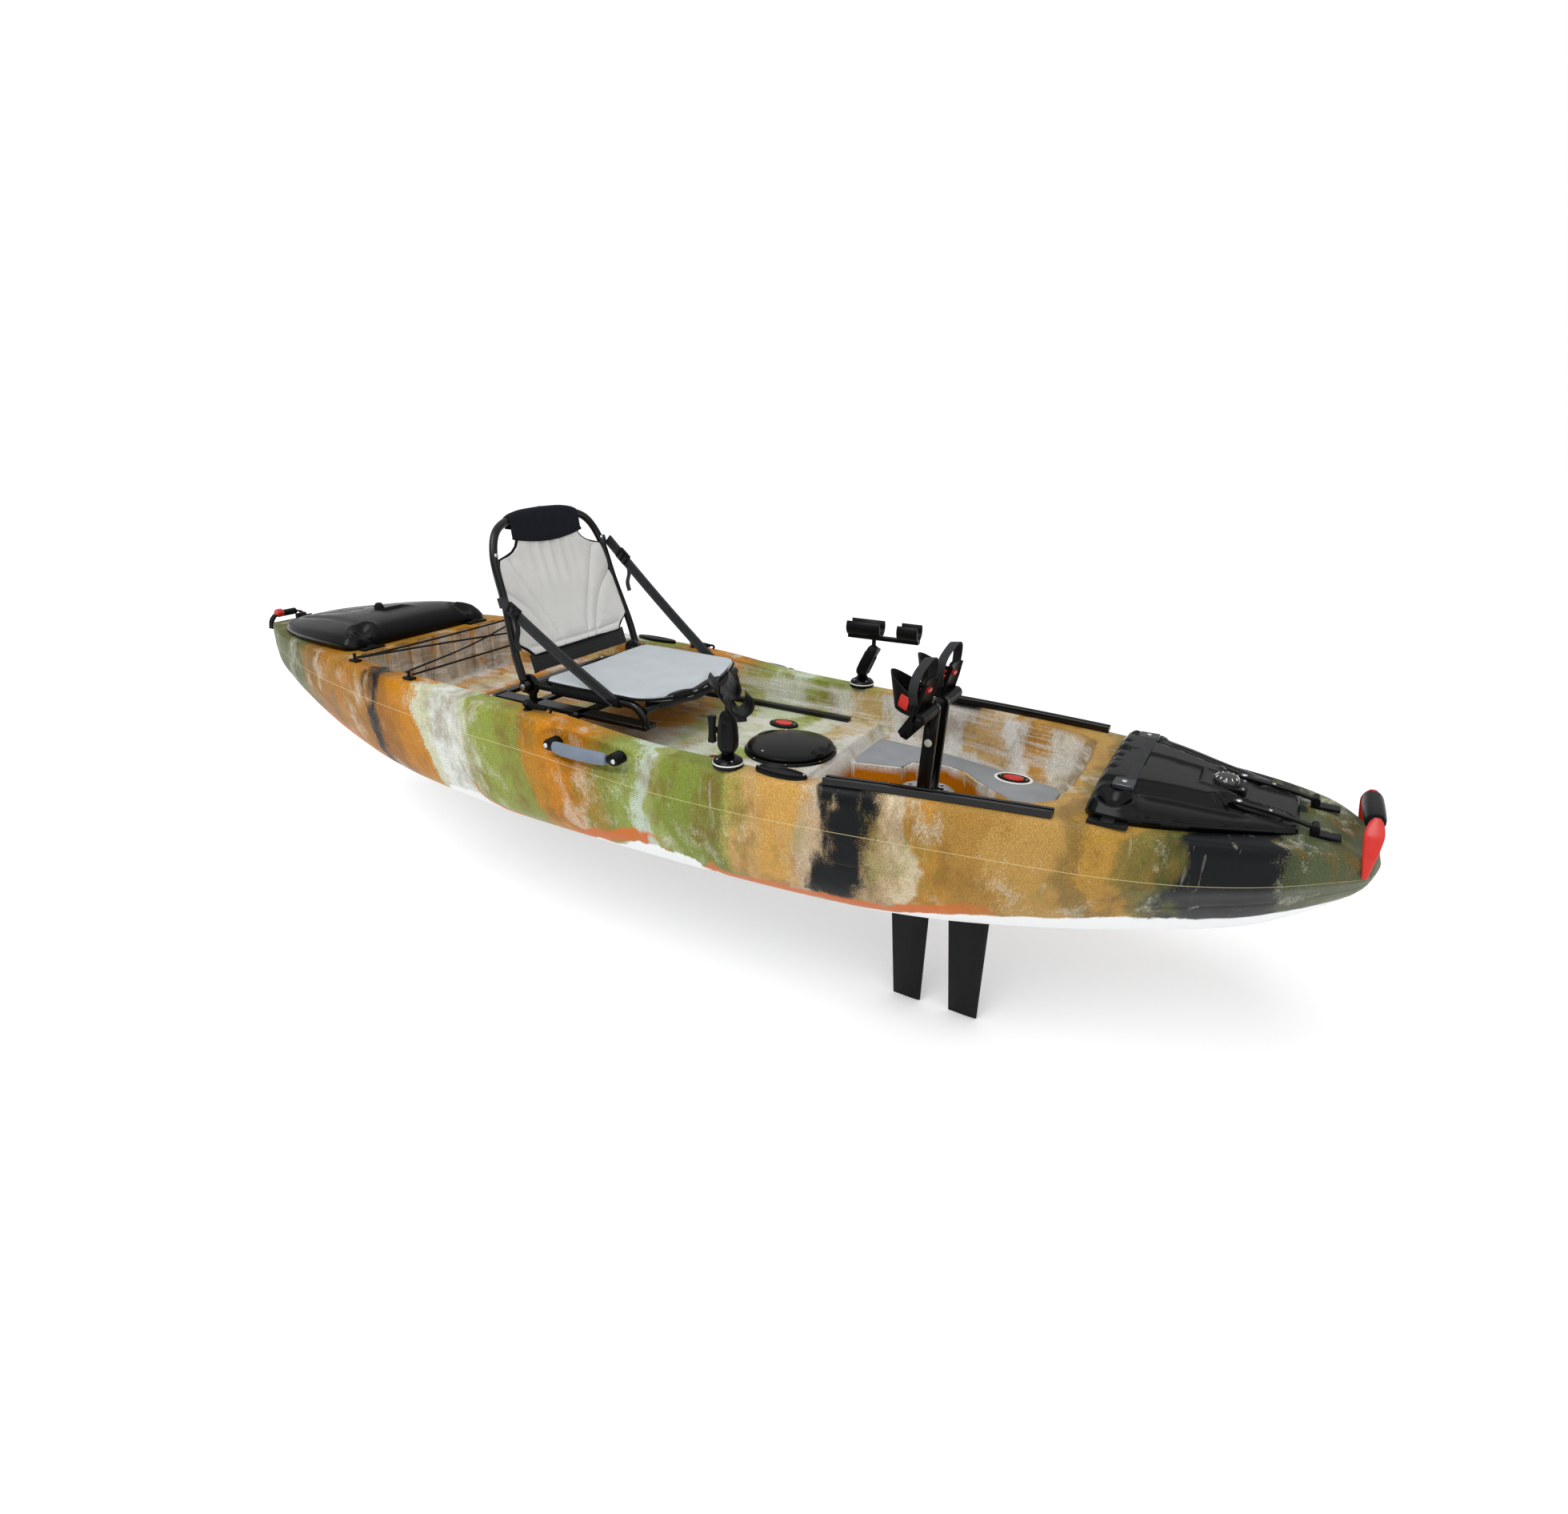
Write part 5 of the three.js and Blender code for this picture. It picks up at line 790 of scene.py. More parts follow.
def hull_sections(x):
    """Side points of each station from the keel's flat to the rim, with keel height, flat and top."""
    share = station_share(x)
    beam, top = HALF_BEAM * share_at(BEAM, share), DEPTH * share_at(SHEER, share)
    keel = DEPTH * share_at(KEEL, share)
    flat = np.maximum(HALF_BEAM * share_at(FLAT, share), 0.004)
    vee = share_at(VEE, share)[:, None]
    rounded, sharp = np.array(ROUND_SECTION), np.array(VEE_SECTION)
    rise = rounded[:, 0] * (1 - vee) + sharp[:, 0] * vee
    reach = rounded[:, 1] * (1 - vee) + sharp[:, 1] * vee
    y = flat[:, None] + (beam - flat)[:, None] * reach
    z = keel[:, None] + (top - keel)[:, None] * rise
    y = np.hstack([y, (beam * 0.965)[:, None], (beam * 0.93)[:, None]])
    z = np.hstack([z, (top - 0.004)[:, None], top[:, None]])
    rings = []
    for i in range(len(x)):
        fine = smooth_path(np.stack([y[i], z[i]], 1), 10)
        fine[:, 0] = np.minimum(fine[:, 0], beam[i])
        fine[:, 1] = np.minimum(fine[:, 1], top[i])
        run = np.concatenate(([0], np.cumsum(np.linalg.norm(np.diff(fine, axis=0), axis=1))))
        run /= run[-1]
        level = np.maximum.accumulate(fine[:, 1])
        heights = [keel[i] + (top[i] - keel[i]) * share_at(table, share[i]) for table in (CREASE, SEAM)]
        a, b = np.interp(heights, level, run)
        gap = 0.008  # from a moulded line to the rows beside it
        rows = np.concatenate([
            np.linspace(0, a - gap, CREASE_ROW), [a],
            np.linspace(a + gap, b - gap, SEAM_ROW - CREASE_ROW - 1), [b], np.linspace(b + gap, 1, 20),
        ])
        ring = np.stack([np.interp(rows, run, fine[:, 0]), np.interp(rows, run, fine[:, 1])], 1)
        ring[CREASE_ROW, 0] -= 0.0008
        ring[SEAM_ROW, 0] += 0.0012
        ring[:, 0] = np.minimum(ring[:, 0], beam[i])
        rings.append(ring)
    rings = np.array(rings)
    # The carry handles' recesses
    hx, hz, long, high, deep = HANDLE_RECESS
    reach = 1 - np.abs((x[:, None] - hx) / long) ** 3.5 - np.abs((rings[:, :, 1] - hz) / high) ** 3.5
    sunk = half_beam(hx) - deep * np.clip(reach / 0.3, 0, 1) ** 0.6
    rings[:, :, 0] = np.where(reach > 0, np.minimum(rings[:, :, 0], sunk), rings[:, :, 0])
    return rings, keel, flat, top


def build_hull():
    x = hull_stations()
    side, keel, flat, top = hull_sections(x)
    rim = side[:, -1, 0]
    count = len(x)
    # Columns of the deck follow the well, its floor and the trough
    scale = np.minimum(rim / np.interp(x, (-0.93, 1.164), (0.36, 0.24)), 1)
    well, floor = (
        np.interp(x, *np.array(table).T) * np.where((x < -0.93) | (x > end), scale, 1)
        for table, end in ((WELL_TOP, 1.164), (WELL_FLOOR, 1.125))
    )
    well = np.minimum(well, rim * 0.95)
    floor = np.minimum(floor, well * 0.97)
    low = np.minimum(np.maximum(np.interp(x, *np.array(TROUGH).T), 0.04), floor * 0.8)
    slot = np.minimum(SLOT[2], low * 0.8)
    slot = np.where((x >= SLOT[0] - 0.01) & (x <= SLOT[1] + 0.01), SLOT[2], slot)
    high = np.minimum(low + 0.013, floor * 0.9)
    marks = [rim, well, floor, high, low, slot, np.zeros(count)]
    columns = []
    for a, b, n in zip(marks, marks[1:], DECK_COLUMNS):
        columns += [a + (b - a) * (i + 1) / n for i in range(n)]
    deck_y = np.stack(columns, 1)
    deck_z, inner, trough = deck_heights(np.repeat(x[:, None], deck_y.shape[1], 1), deck_y)
    deck_z = np.maximum(deck_z, (keel + 0.02)[:, None])
    bottom_slot = np.minimum(SLOT[2], flat * 0.6)
    bottom_y = np.stack([np.zeros(count), bottom_slot, bottom_slot + (flat - bottom_slot) * 0.5], 1)
    bottom = bottom_y.shape[1]
    ring_y = np.hstack([bottom_y, side[:, :, 0], deck_y])
    ring_z = np.hstack([np.repeat(keel[:, None], bottom, 1), side[:, :, 1], deck_z])
    lines = np.zeros((2, *ring_y.shape))
    lines[0, :, bottom + SEAM_ROW] = 1
    lines[1, :, bottom + CREASE_ROW] = 1
    pad = np.zeros((count, ring_y.shape[1] - deck_y.shape[1]))
    masks = [np.hstack([pad, m]) for m in (inner, trough)] + [*lines]
    # Round the tips off
    middle = (keel + top)[:, None] / 2
    into = np.maximum(x - HULL_FORE, -HULL_AFT - x) / TIP_LENGTH + 1
    shrink = np.sqrt(np.maximum(1 - np.clip(into, 0, 0.995) ** 2, 0))[:, None]
    ring_y = ring_y * shrink
    ring_z = middle + (ring_z - middle) * shrink
    # Both halves, joined along the keel and the deck's middle
    n = ring_y.shape[1]
    full = 2 * n - 2
    y = np.hstack([ring_y, -ring_y[:, -2:0:-1]])
    z = np.hstack([ring_z, ring_z[:, -2:0:-1]])
    points = np.stack([np.repeat(x[:, None], full, 1), y, z], -1).reshape(-1, 3)
    masks = [np.hstack([m, m[:, -2:0:-1]]).reshape(-1) for m in masks]
    faces = []
    open_columns = {0, n - 2, n - 1, full - 1}
    for k in range(count - 1):
        in_slot = x[k] >= SLOT[0] - 1e-6 and x[k + 1] <= SLOT[1] + 1e-6
        a, b = k * full, (k + 1) * full
        for j in range(full):
            if not (in_slot and j in open_columns):
                m = (j + 1) % full
                faces.append((a + j, b + j, b + m, a + m))
        if in_slot:
            for low_at, high_at, flip in ((1, n - 2, False), (full - 1, n, True)):
                wall = (a + low_at, b + low_at, b + high_at, a + high_at)
                faces.append(wall if flip else wall[::-1])
    for place, flip in zip(SLOT[:2], (False, True)):
        a = int(np.argmin(abs(x - place))) * full
        end = (a + 1, a, a + full - 1, a + n, a + n - 1, a + n - 2)
        faces.append(end[::-1] if flip else end)
    faces.append(tuple(range(full)))
    faces.append(tuple((count - 1) * full + j for j in reversed(range(full))))
    made = mesh_object("hull_shell", points, faces, "hull_plastic", angle=38)
    for label, mask in zip(MASKS, masks):
        made.data.attributes.new(label, "FLOAT", "POINT").data.foreach_set("value", mask)
    settle(made, "hull_body", ["hull"])


# Covers

def cover(name, stations, relief, body, node_name, rows=90, columns=81):
    """A moulded hatch cover with its relief, open below."""
    table = np.array(stations)
    x = np.linspace(table[0, 0], table[-1, 0], rows)
    half, high = share_at(table[:, [0, 1]], x), share_at(table[:, [0, 2]], x)
    ends = np.minimum(x - x[0], x[-1] - x)
    round_off = np.sqrt(1 - (1 - np.clip(ends / 0.022, 0, 1)) ** 2)
    u = np.linspace(-1, 1, columns)
    u = 0.55 * u + 0.45 * np.sin(u * math.pi / 2)
    across = half[:, None] * (0.94 + 0.06 * round_off[:, None]) * u
    lift = share_at(COVER_SECTION, np.abs(u))[None, :] * high[:, None]
    lift = lift * (0.45 + 0.55 * round_off[:, None])
    edge = np.minimum((1 - np.abs(u))[None, :] * half[:, None], ends[:, None])
    grid_x = np.repeat(x[:, None], columns, 1)
    lift = lift + relief(grid_x, across) * ease(edge / 0.02)
    deck = sheer(x)[:, None]
    # A skirt turns down to the deck all round
    grids = (grid_x, across, deck + np.maximum(lift, 0.004), deck + 0.0008 + 0 * across)
    grid_x, across, z, foot = (np.pad(grid, 1, mode="edge") for grid in grids)
    z[0], z[-1], z[:, 0], z[:, -1] = foot[0], foot[-1], foot[:, 0], foot[:, -1]
    wide = columns + 2
    faces = [
        (r * wide + c, (r + 1) * wide + c, (r + 1) * wide + c + 1, r * wide + c + 1)
        for r in range(rows + 1) for c in range(wide - 1)
    ]
    made = mesh_object(name, np.stack([grid_x, across, z], -1).reshape(-1, 3), faces, "black_abs", angle=50)
    wall = made.modifiers.new("Wall", "SOLIDIFY")
    wall.thickness = 0.004
    wall.offset = -1
    settle(made, body, [node_name])


def groove(away, width, depth):
    """A smooth channel whose centre line is at distance 0."""
    return -depth * np.exp(-((away / width) ** 2))


def bow_relief(x, y):
    a = np.abs(y)
    # Raised middle between channels that sweep forward
    line = 0.168 - (x - 1.24) * 0.3
    lift = groove(a - line, 0.0125, 0.018) * ease((1.57 - x) / 0.04) * ease((x - 1.245) / 0.02)
    lift += 0.009 * ease((line - 0.018 - a) / 0.01) * ease((1.5 - x) / 0.06)
    lift += groove(a - line - 0.036, 0.008, 0.006) * ease((1.52 - x) / 0.05) * ease((x - 1.3) / 0.03)
    # A flange runs along the sides
    rim = np.interp(x, (1.24, 1.29, 1.36, 1.45, 1.54), (0.252, 0.25, 0.226, 0.184, 0.138)) - a
    lift += -0.012 * ease((0.014 - rim) / 0.005) * ease((x - 1.3) / 0.03) * (x < 1.56)
    # Scooped pockets over the catches, with a swollen lip
    pocket = np.hypot((x - 1.262) / 0.03, (a - 0.208) / 0.026)
    lift += -0.02 * ease(1.25 - pocket) + 0.006 * np.exp(-((pocket - 1.35) / 0.22) ** 2)
    # Short grooves at the aft edge
    for at in (-0.09, -0.045, 0, 0.045, 0.09):
        lift += groove(y - at, 0.006, 0.007) * ease((1.25 - x) / 0.012)
    # Leaf-shaped recesses under the hinge arms
    leaf = np.hypot((x - 1.525) / 0.075, (a - HINGE_Y) / 0.024)
    lift += -0.007 * ease((1.1 - leaf) / 0.16) + 0.004 * np.exp(-((leaf - 1.2) / 0.1) ** 2)
    # A shallow square dish round the compass
    dish = np.maximum(np.abs(x - COMPASS_X), a) - 0.045
    lift += 0.0035 * np.exp(-((dish / 0.005) ** 2))
    # A flat step from the aft edge to the dish
    lift += -0.005 * ease((0.046 - a) / 0.005) * ease((1.405 - x) / 0.006)
    return lift


def stern_relief(x, y):
    a = np.abs(y)
    line = 0.19 + (x + 1.05) * 0.25
    lift = groove(a - line, 0.012, 0.006) * ease((x + 1.5) / 0.08)
    # D-shaped grip
    grip = np.maximum(np.abs(x + 1.095) - 0.032, a - 0.055)
    lift += -0.02 * ease(-grip / 0.012) + 0.004 * np.exp(-((grip / 0.007) ** 2))
    # Finger pockets at the free corners
    pocket = np.hypot((x + 1.0) / 0.028, (a - 0.2) / 0.034)
    lift += -0.018 * ease(1.25 - pocket) + 0.005 * np.exp(-((pocket - 1.3) / 0.2) ** 2)
    for at in (-0.05, 0, 0.05):
        lift += groove(y - at, 0.006, 0.004) * ease((-1.25 - x) / 0.02) * ease((x + 1.46) / 0.02)
    return lift


def cover_top(stations, x, y):
    table = np.array(stations)
    half, high = share_at(table[:, [0, 1]], x), share_at(table[:, [0, 2]], x)
    return float(sheer(x) + high * share_at(COVER_SECTION, abs(y) / half))


def build_hinge_arms():
    arms, bolts = Form(), Form()
    for _, side in SIDES:
        y = side * HINGE_Y
        line = [(x, y, cover_top(BOW_COVER, x, HINGE_Y) + 0.004) for x in (1.47, 1.5, 1.54, 1.585)]
        path = smooth_path(line + [(1.606, y, 0.3625), (1.622, y, 0.3602)], 6)
        rings = []
        for i, p in enumerate(path):
            w = 0.0085 - 0.0025 * math.sin(math.pi * i / (len(path) - 1))
            rings.append([(p[0], p[1] + a * w, p[2] + b * 0.003) for a, b in SQUARE])
        arms.loft(rings)
        arms.rod((1.622, y - 0.008, 0.36025), (1.622, y + 0.008, 0.36025), 0.008)
        for x, radius in ((1.482, 0.006), (1.54, 0.004)):
            screw(bolts, (x, y, cover_top(BOW_COVER, x, HINGE_Y) + 0.007), radius)
    arms.make("bow_hinge_arms", "black_nylon", "bow_hatch_body")
    bolts.make_screws("bow_hinge_arm_screws", "bow_hatch_body")


def build_cover_strap():
    """Webbing over the bow cover, with its plates and screws."""
    strap, plates, heads = Form(), Form(), Form()
    x = COVER_STRAP_X
    line = [(x, y, cover_top(BOW_COVER, x, y) + 0.008) for y in np.linspace(-0.17, 0.17, 25)]
    strap.sweep(line, ribbon(0.04, 0.0022))
    z = cover_top(BOW_COVER, x, 0.15) + 0.0085
    for _, side in SIDES:
        y = side * 0.16
        plates.block((x - 0.022, y - 0.02, z - 0.012), (x + 0.022, y + 0.02, z + 0.002))
        screw(heads, (x, y, z + 0.002), 0.006)
    strap.make("bow_strap_webbing", "black_webbing", "bow_hatch_body", ["bow_hatch_strap"], "black_webbing", 0)
    plates.make("bow_strap_plates", "dark_steel", "bow_hatch_body", edge=0.003)
    heads.make_screws("bow_strap_screws", "bow_hatch_body")


def build_compass():
    x, top = COMPASS_X, cover_top(BOW_COVER, COMPASS_X - COMPASS_HALF, 0)
    base, dome, card, heads = Form(), Form(), Form(), Form()
    base.block((x - COMPASS_HALF, -0.031, top - 0.012), (x + COMPASS_HALF, 0.031, top + 0.0025))
    base.lathe([(0.03, 0), (0.03, 0.004), (0.0275, 0.0065), (0.026, 0.0065)], (x, 0, top))
    turns = np.linspace(0, math.pi / 2, 12)
    dome.lathe([(0.0262 * math.cos(t), 0.004 + 0.019 * math.sin(t)) for t in turns], (x, 0, top))
    for outer, inner in zip(circle(0.0235, 12), circle(0.0195, 12)):
        a, b = ((x + p[0], p[1], top + high) for p, high in ((outer, 0.0145), (inner, 0.0185)))
        card.rod(a, b, 0.0011, sides=6)
    for a in (-1, 1):
        for b in (-1, 1):
            screw(heads, (x + a * 0.033, b * 0.025, top + 0.0025), 0.003)
    base.make("compass_base", "black_nylon", "bow_hatch_body", ["compass"], "compass_glass", 0.002)
    dome.make("compass_dome", "compass_glass", "bow_hatch_body", edge=0)
    card.make("compass_marks", "white_rubber", "bow_hatch_body", edge=0)
    heads.make_screws("compass_screws", "bow_hatch_body")


def build_stern_fittings():
    """The cover's knob and its hinge tongue."""
    knob, tongue = Form(), Form()
    knob.lathe([
        (0.017, -0.003), (0.0165, 0.004), (0.0125, 0.012), (0.011, 0.016), (0.006, 0.0185), (0, 0.019),
    ], (-1.173, 0, cover_top(STERN_COVER, -1.173, 0)))
    knob.make("stern_knob", "black_nylon", "stern_hatch_body", edge=0)
    places = ((-1.56, float(sheer(-1.56)) + 0.022, 0.009), (-1.592, 0.3755, 0.011), (-1.612, 0.3781, 0.011))
    tongue.loft([
        [(x, a * half, z + b * 0.003) for a, b in ((1, -1), (-1, -1), (-1, 1), (1, 1))] for x, z, half in places
    ])
    tongue.rod((-1.612, -0.011, 0.37811), (-1.612, 0.011, 0.37811), 0.008)
    tongue.make("stern_hinge_tongue", "black_nylon", "stern_hatch_body")


def build_covers():
    cover("bow_cover_shell", BOW_COVER, bow_relief, "bow_hatch_body", "bow_hatch_cover", 110, 125)
    cover("stern_cover_shell", STERN_COVER, stern_relief, "stern_hatch_body", "stern_hatch_cover")
    build_hinge_arms()
    build_cover_strap()
    build_compass()
    build_stern_fittings()
    pairs = [f"{part}_{name}" for part in ("bow_hinge", "bow_catch", "stern_catch") for name, _ in SIDES]
    keep("black_nylon", *pairs, "stern_hinge", edge=0.0015)


# Seat

def two_sided(layers, rows, columns):
    """Points and faces of a thin cushion with a front and a rear grid."""
    size = rows * columns
    faces = []
    for r in range(rows - 1):
        for c in range(columns - 1):
            a = r * columns + c
            quad = (a, a + 1, a + columns + 1, a + columns)
            faces += [quad, tuple(size + i for i in reversed(quad))]
    border = list(range(columns)) + [r * columns + columns - 1 for r in range(1, rows)]
    border += [size - 1 - c for c in range(1, columns)] + [r * columns for r in range(rows - 2, 0, -1)]
    faces += [(a, size + a, size + b, b) for a, b in zip(border, border[1:] + border[:1])]
    return layers[0] + layers[1], faces


def back_point(half, rise, off=0.0):
    """A place on the seat's back, by half width, rise along it and distance in front of its middle plane."""
    up = Vector((-math.sin(BACK_LEAN), 0, math.cos(BACK_LEAN)))
    return PIVOT + Vector((0, half, 0)) + up * rise + Vector(BACK_FACING) * off


def seam_distance(half, rise):
    """Distance of each point to the nearest seam of the back."""
    nearest = np.full(half.shape, 1.0)
    for seam in SEAMS:
        path = smooth_path(seam, 8)
        for a, b in zip(path, path[1:]):
            edge = b - a
            out, up = np.abs(half) - a[0], rise - a[1]
            t = np.clip((out * edge[0] + up * edge[1]) / (edge @ edge), 0, 1)
            nearest = np.minimum(nearest, np.hypot(out - t * edge[0], up - t * edge[1]))
    return nearest


def back_front(half, rise, width):
    """How far the fabric's front stands before the middle plane."""
    sag = -0.008 * (1 - (half / width) ** 2) * np.sin(math.pi * np.clip((rise - 0.04) / 0.4, 0, 1))
    away = seam_distance(half, rise)
    folds = 0.0036 * np.sin(half * 150 + 9 * rise) * np.exp(-((half / 0.085) ** 2)) * ease((rise - 0.22) / 0.1)
    return sag + groove(away, 0.0028, 0.0042) + 0.003 * ease(away / 0.025) + folds + BACK_HALF_THICK


def build_back_panel():
    """Padded fabric. Gives back the line of its piping."""
    low, high = BACK_PANEL[0][0], BACK_PANEL[-1][0]
    rises = np.concatenate([np.linspace(low, 0.32, 76), np.linspace(0.3225, high, 40)])
    columns = 110
    widths = np.interp(rises, *np.array(BACK_PANEL).T)
    u = np.sin(np.linspace(-1, 1, columns) * math.pi / 2)
    half = widths[:, None] * u
    rise = np.repeat(rises[:, None], columns, 1)
    edge = np.minimum(np.minimum((1 - np.abs(u))[None, :] * widths[:, None], rise - low), high - rise)
    puff = BACK_HALF_THICK * np.sqrt(np.clip(edge / 0.008, 0, 1))
    middle = back_front(half, rise, widths[:, None]) - BACK_HALF_THICK
    layers = [
        [back_point(h, r, off) for h, r, off in zip(half.ravel(), rise.ravel(), layer.ravel())]
        for layer in (middle + puff, middle - puff)
    ]
    form = Form()
    form.put(*two_sided(layers, len(rises), columns))
    panel = form.make("back_panel", "grey_fabric", "seat_back_body", ["seat_back"], "grey_fabric", 0, 60)
    port = [(w, r) for r, w in zip(rises[::2], widths[::2])]
    loop = port + [(0.08, high), (0, high), (-0.08, high)]
    loop += [(-h, r) for h, r in reversed(port)] + [(-0.1, low), (0, low), (0.1, low)]
    return [back_point(h, r, 0.0015) for h, r in loop]


def build_headrest():
    """Padded fabric that wraps over the tube's top. Gives back the line of its piping."""
    top_line = smooth_path([(h, r) for h, r in reversed(BACK_LOOP)], 8)
    head = Form()
    rings, lower = [], []
    for s in np.linspace(-1, 1, 65):
        h = 0.136 * s
        over = float(np.interp(abs(h), top_line[:, 0], top_line[:, 1]))
        foot = 0.374 + 0.016 * s**2
        fold = 0.0016 * math.sin(24 * s) * (1 - s**2)
        h *= 1 - 0.09 * (1 - abs(s))
        side = 0.9 + 0.1 * ease((1 - abs(s)) * 12)
        outer = [(foot, 0.0085)]
        inner = [(foot, 0.0045)]
        for share, out, within in ((0.3, 0.0105, 0.006), (0.7, 0.0135, 0.0105)):
            outer.append((foot + share * (over - foot), out + fold))
            inner.append((foot + share * (over - foot), within + fold))
        for t in np.linspace(0, math.pi, 12):
            outer.append((over + 0.0155 * side * math.sin(t), 0.0155 * side * math.cos(t)))
            inner.append((over + 0.0122 * math.sin(t), 0.0122 * math.cos(t)))
        outer.append((foot + 0.03, -0.013))
        inner.append((foot + 0.03, -0.009))
        rings.append([back_point(h, r, off) for r, off in outer + inner[::-1]])
        lower.append(back_point(h, foot, 0.0075))
    head.loft(rings)
    rest = head.make("back_headrest", "navy_fabric", "seat_back_body", edge=0, angle=60)
    return lower


def build_back():
    binding, band, loop, rivets = Form(), Form(), Form(), Form()
    round_panel = build_back_panel()
    binding.tube(build_headrest(), 0.0045, sides=10)
    binding.tube(round_panel, 0.0042, True, 8)
    binding.make("back_piping", "black_binding", "seat_back_body", edge=0)
    # Netting at the foot
    line = [back_point(h, 0.052, 0.003 - 0.004 * (1 - (h / 0.2) ** 2)) for h in np.linspace(-0.2, 0.2, 28)]
    band.sweep(line, ribbon(0.05, 0.003), up=BACK_FACING)
    band.make("back_foot_netting", "black_mesh", "seat_back_body", edge=0)
    # Tube loop with its eyes and rivets
    port = [back_point(h, r) for h, r in BACK_LOOP]
    starboard = [Vector((p.x, -p.y, p.z)) for p in reversed(port[:-1])]
    loop.tube(smooth_path(port + starboard, 10), SEAT_TUBE, sides=20)
    for side in (-1, 1):
        loop.rod((PIVOT.x, side * 0.2385, PIVOT.z), (PIVOT.x, side * 0.2515, PIVOT.z), 0.017, sides=32)
        at = back_point(side * 0.2155, 0.353, 0.0105)
        rivets.lathe([(0.006, 0), (0.005, 0.002), (0, 0.003)], at, BACK_FACING, sides=16)
    loop.make("back_tube", "black_aluminium", "seat_back_body", ["seat_back_frame"], "black_aluminium", 0.001)
    rivets.make_screws("back_rivets", "seat_back_body")


def pan_top(x, u):
    """Height of the pan's fabric."""
    sag = 0.009 * (1 - u**2) * np.sin(math.pi * np.clip((x + 0.25) / 0.4, 0, 1))
    side = np.abs(u)
    seams = groove(side * 0.225, 0.0025, 0.0026)
    for x0, x1, bow in ((0.045, 0.1, 0.06), (-0.16, -0.215, -0.05)):
        seams += groove(x - (x0 + (x1 - x0) * side + bow * (side - 0.5) ** 2), 0.0025, 0.0026)
    return 0.4105 - sag + seams + 0.0015 * np.sin(x * 60 + 4 * u) * (1 - u**2)


def pan_drop(x):
    """How far the pan's front edge droops."""
    return 0.022 * max(0, (x - 0.09) / 0.05) ** 2


def build_pan():
    form, piping, band = Form(), Form(), Form()
    aft, fore = PAN_HALVES[0][0], PAN_HALVES[-1][0]
    xs = np.concatenate([np.linspace(aft, 0.1, 80), np.linspace(0.104, fore, 14)])
    columns = 90
    u = np.sin(np.linspace(-1, 1, columns) * math.pi / 2)
    widths = share_at(PAN_HALVES, xs)
    tops, lows = [], []
    for x, w in zip(xs, widths):
        ends = min(x - aft, fore - x)
        for s in u:
            edge = math.sqrt(min(max(min((1 - abs(s)) * w, ends) / 0.009, 0), 1))
            top = float(pan_top(x, np.array(s)))
            wave = 0.003 * math.sin(9 * s) * ease((x - 0.08) / 0.05)
            tops.append((x, s * w, 0.402 + (top - 0.402) * edge - pan_drop(x) + wave))
            lows.append((x, s * w, 0.4 - 0.004 * edge - pan_drop(x) + wave))
    form.put(*two_sided([lows, tops], len(xs), columns))
    pan = form.make("seat_cushion", "cool_fabric", "hull_body", ["seat_pan"], "grey_fabric", 0, 60)
    port = [(x, w) for x, w in zip(xs[::4], widths[::4])]
    loop = port + [(fore, 0)] + [(x, -w) for x, w in reversed(port)]
    piping.tube(smooth_path([(x, w, 0.4015 - pan_drop(x)) for x, w in loop], 2, True), 0.004, True, 8)
    piping.make("seat_piping", "black_binding", edge=0)
    front = [
        (0.137 - 0.05 * (y / 0.19) ** 4, y, 0.388 - 0.008 * (1 - (y / 0.2) ** 2) + 0.003 * math.sin(48 * y))
        for y in np.linspace(-0.19, 0.19, 40)
    ]
    band.sweep(front, ribbon(0.003, 0.032))
    band.make("seat_front_netting", "black_mesh", edge=0)


def build_seat_frame():
    form, sleeves, bolts = Form(), Form(), Form()
    back, high = PIVOT.x, PIVOT.z
    low, top = SEAT_BASE
    for _, side in SIDES:
        y = side * SEAT_SIDE
        form.tube(smooth_path([
            (-0.28, y, 0.385), (-0.1, y, 0.385), (0.045, y, 0.385), (0.075, y, 0.3815), (0.098, y, 0.362),
            (0.1095, y, 0.323),
        ], 8), SEAT_TUBE, sides=20)
        form.rod((back, y, low), (back, y, high), SEAT_TUBE)
        form.lathe([
            (0.024, -0.001), (0.03, 0.002), (0.031, 0.006), (0.029, 0.0105), (0.024, 0.013), (0.012, 0.013),
            (0, 0.013),
        ], (back, y, high), (0, side, 0))
        form.rod((back, y, high), (back, side * 0.2555, high), 0.006)
        inner, outer = sorted((side * 0.185, side * 0.231))
        form.block((SEAT_LEGS[0], inner, low), (0.115, outer, top))
        sleeves.tube([(x, y, high) for x in np.linspace(-0.2, 0.03, 12)], 0.0165, sides=24)
        bolts.lathe(
            [(0.009, 0), (0.009, 0.003), (0.006, 0.0045), (0, 0.0045)], (back, side * 0.2535, high),
            (0, side, 0), sides=24,
        )
        for x in SEAT_LEGS:
            leg_top = (x, side * 0.24, top)
            form.rod((x, side * 0.24, 0.2553), leg_top, 0.008)
            bolts.lathe([(0.006, 0), (0.006, 0.0015), (0.004, 0.0025), (0, 0.0025)], leg_top, sides=20)
    for x, z in ((-0.258, 0.385), (0.104, 0.374)):
        form.rod((x, -SEAT_SIDE, z), (x, SEAT_SIDE, z), SEAT_TUBE)
    for x in SEAT_LEGS:
        form.block((x - 0.0125, -0.268, low), (x + 0.0125, 0.268, top))
    form.make("seat_tubes", "black_aluminium", "hull_body", ["seat_frame"], "black_aluminium", 0.0015)
    pads = sleeves.make("seat_sleeves", "black_binding", edge=0.003)
    bolts.make_screws("seat_bolts")


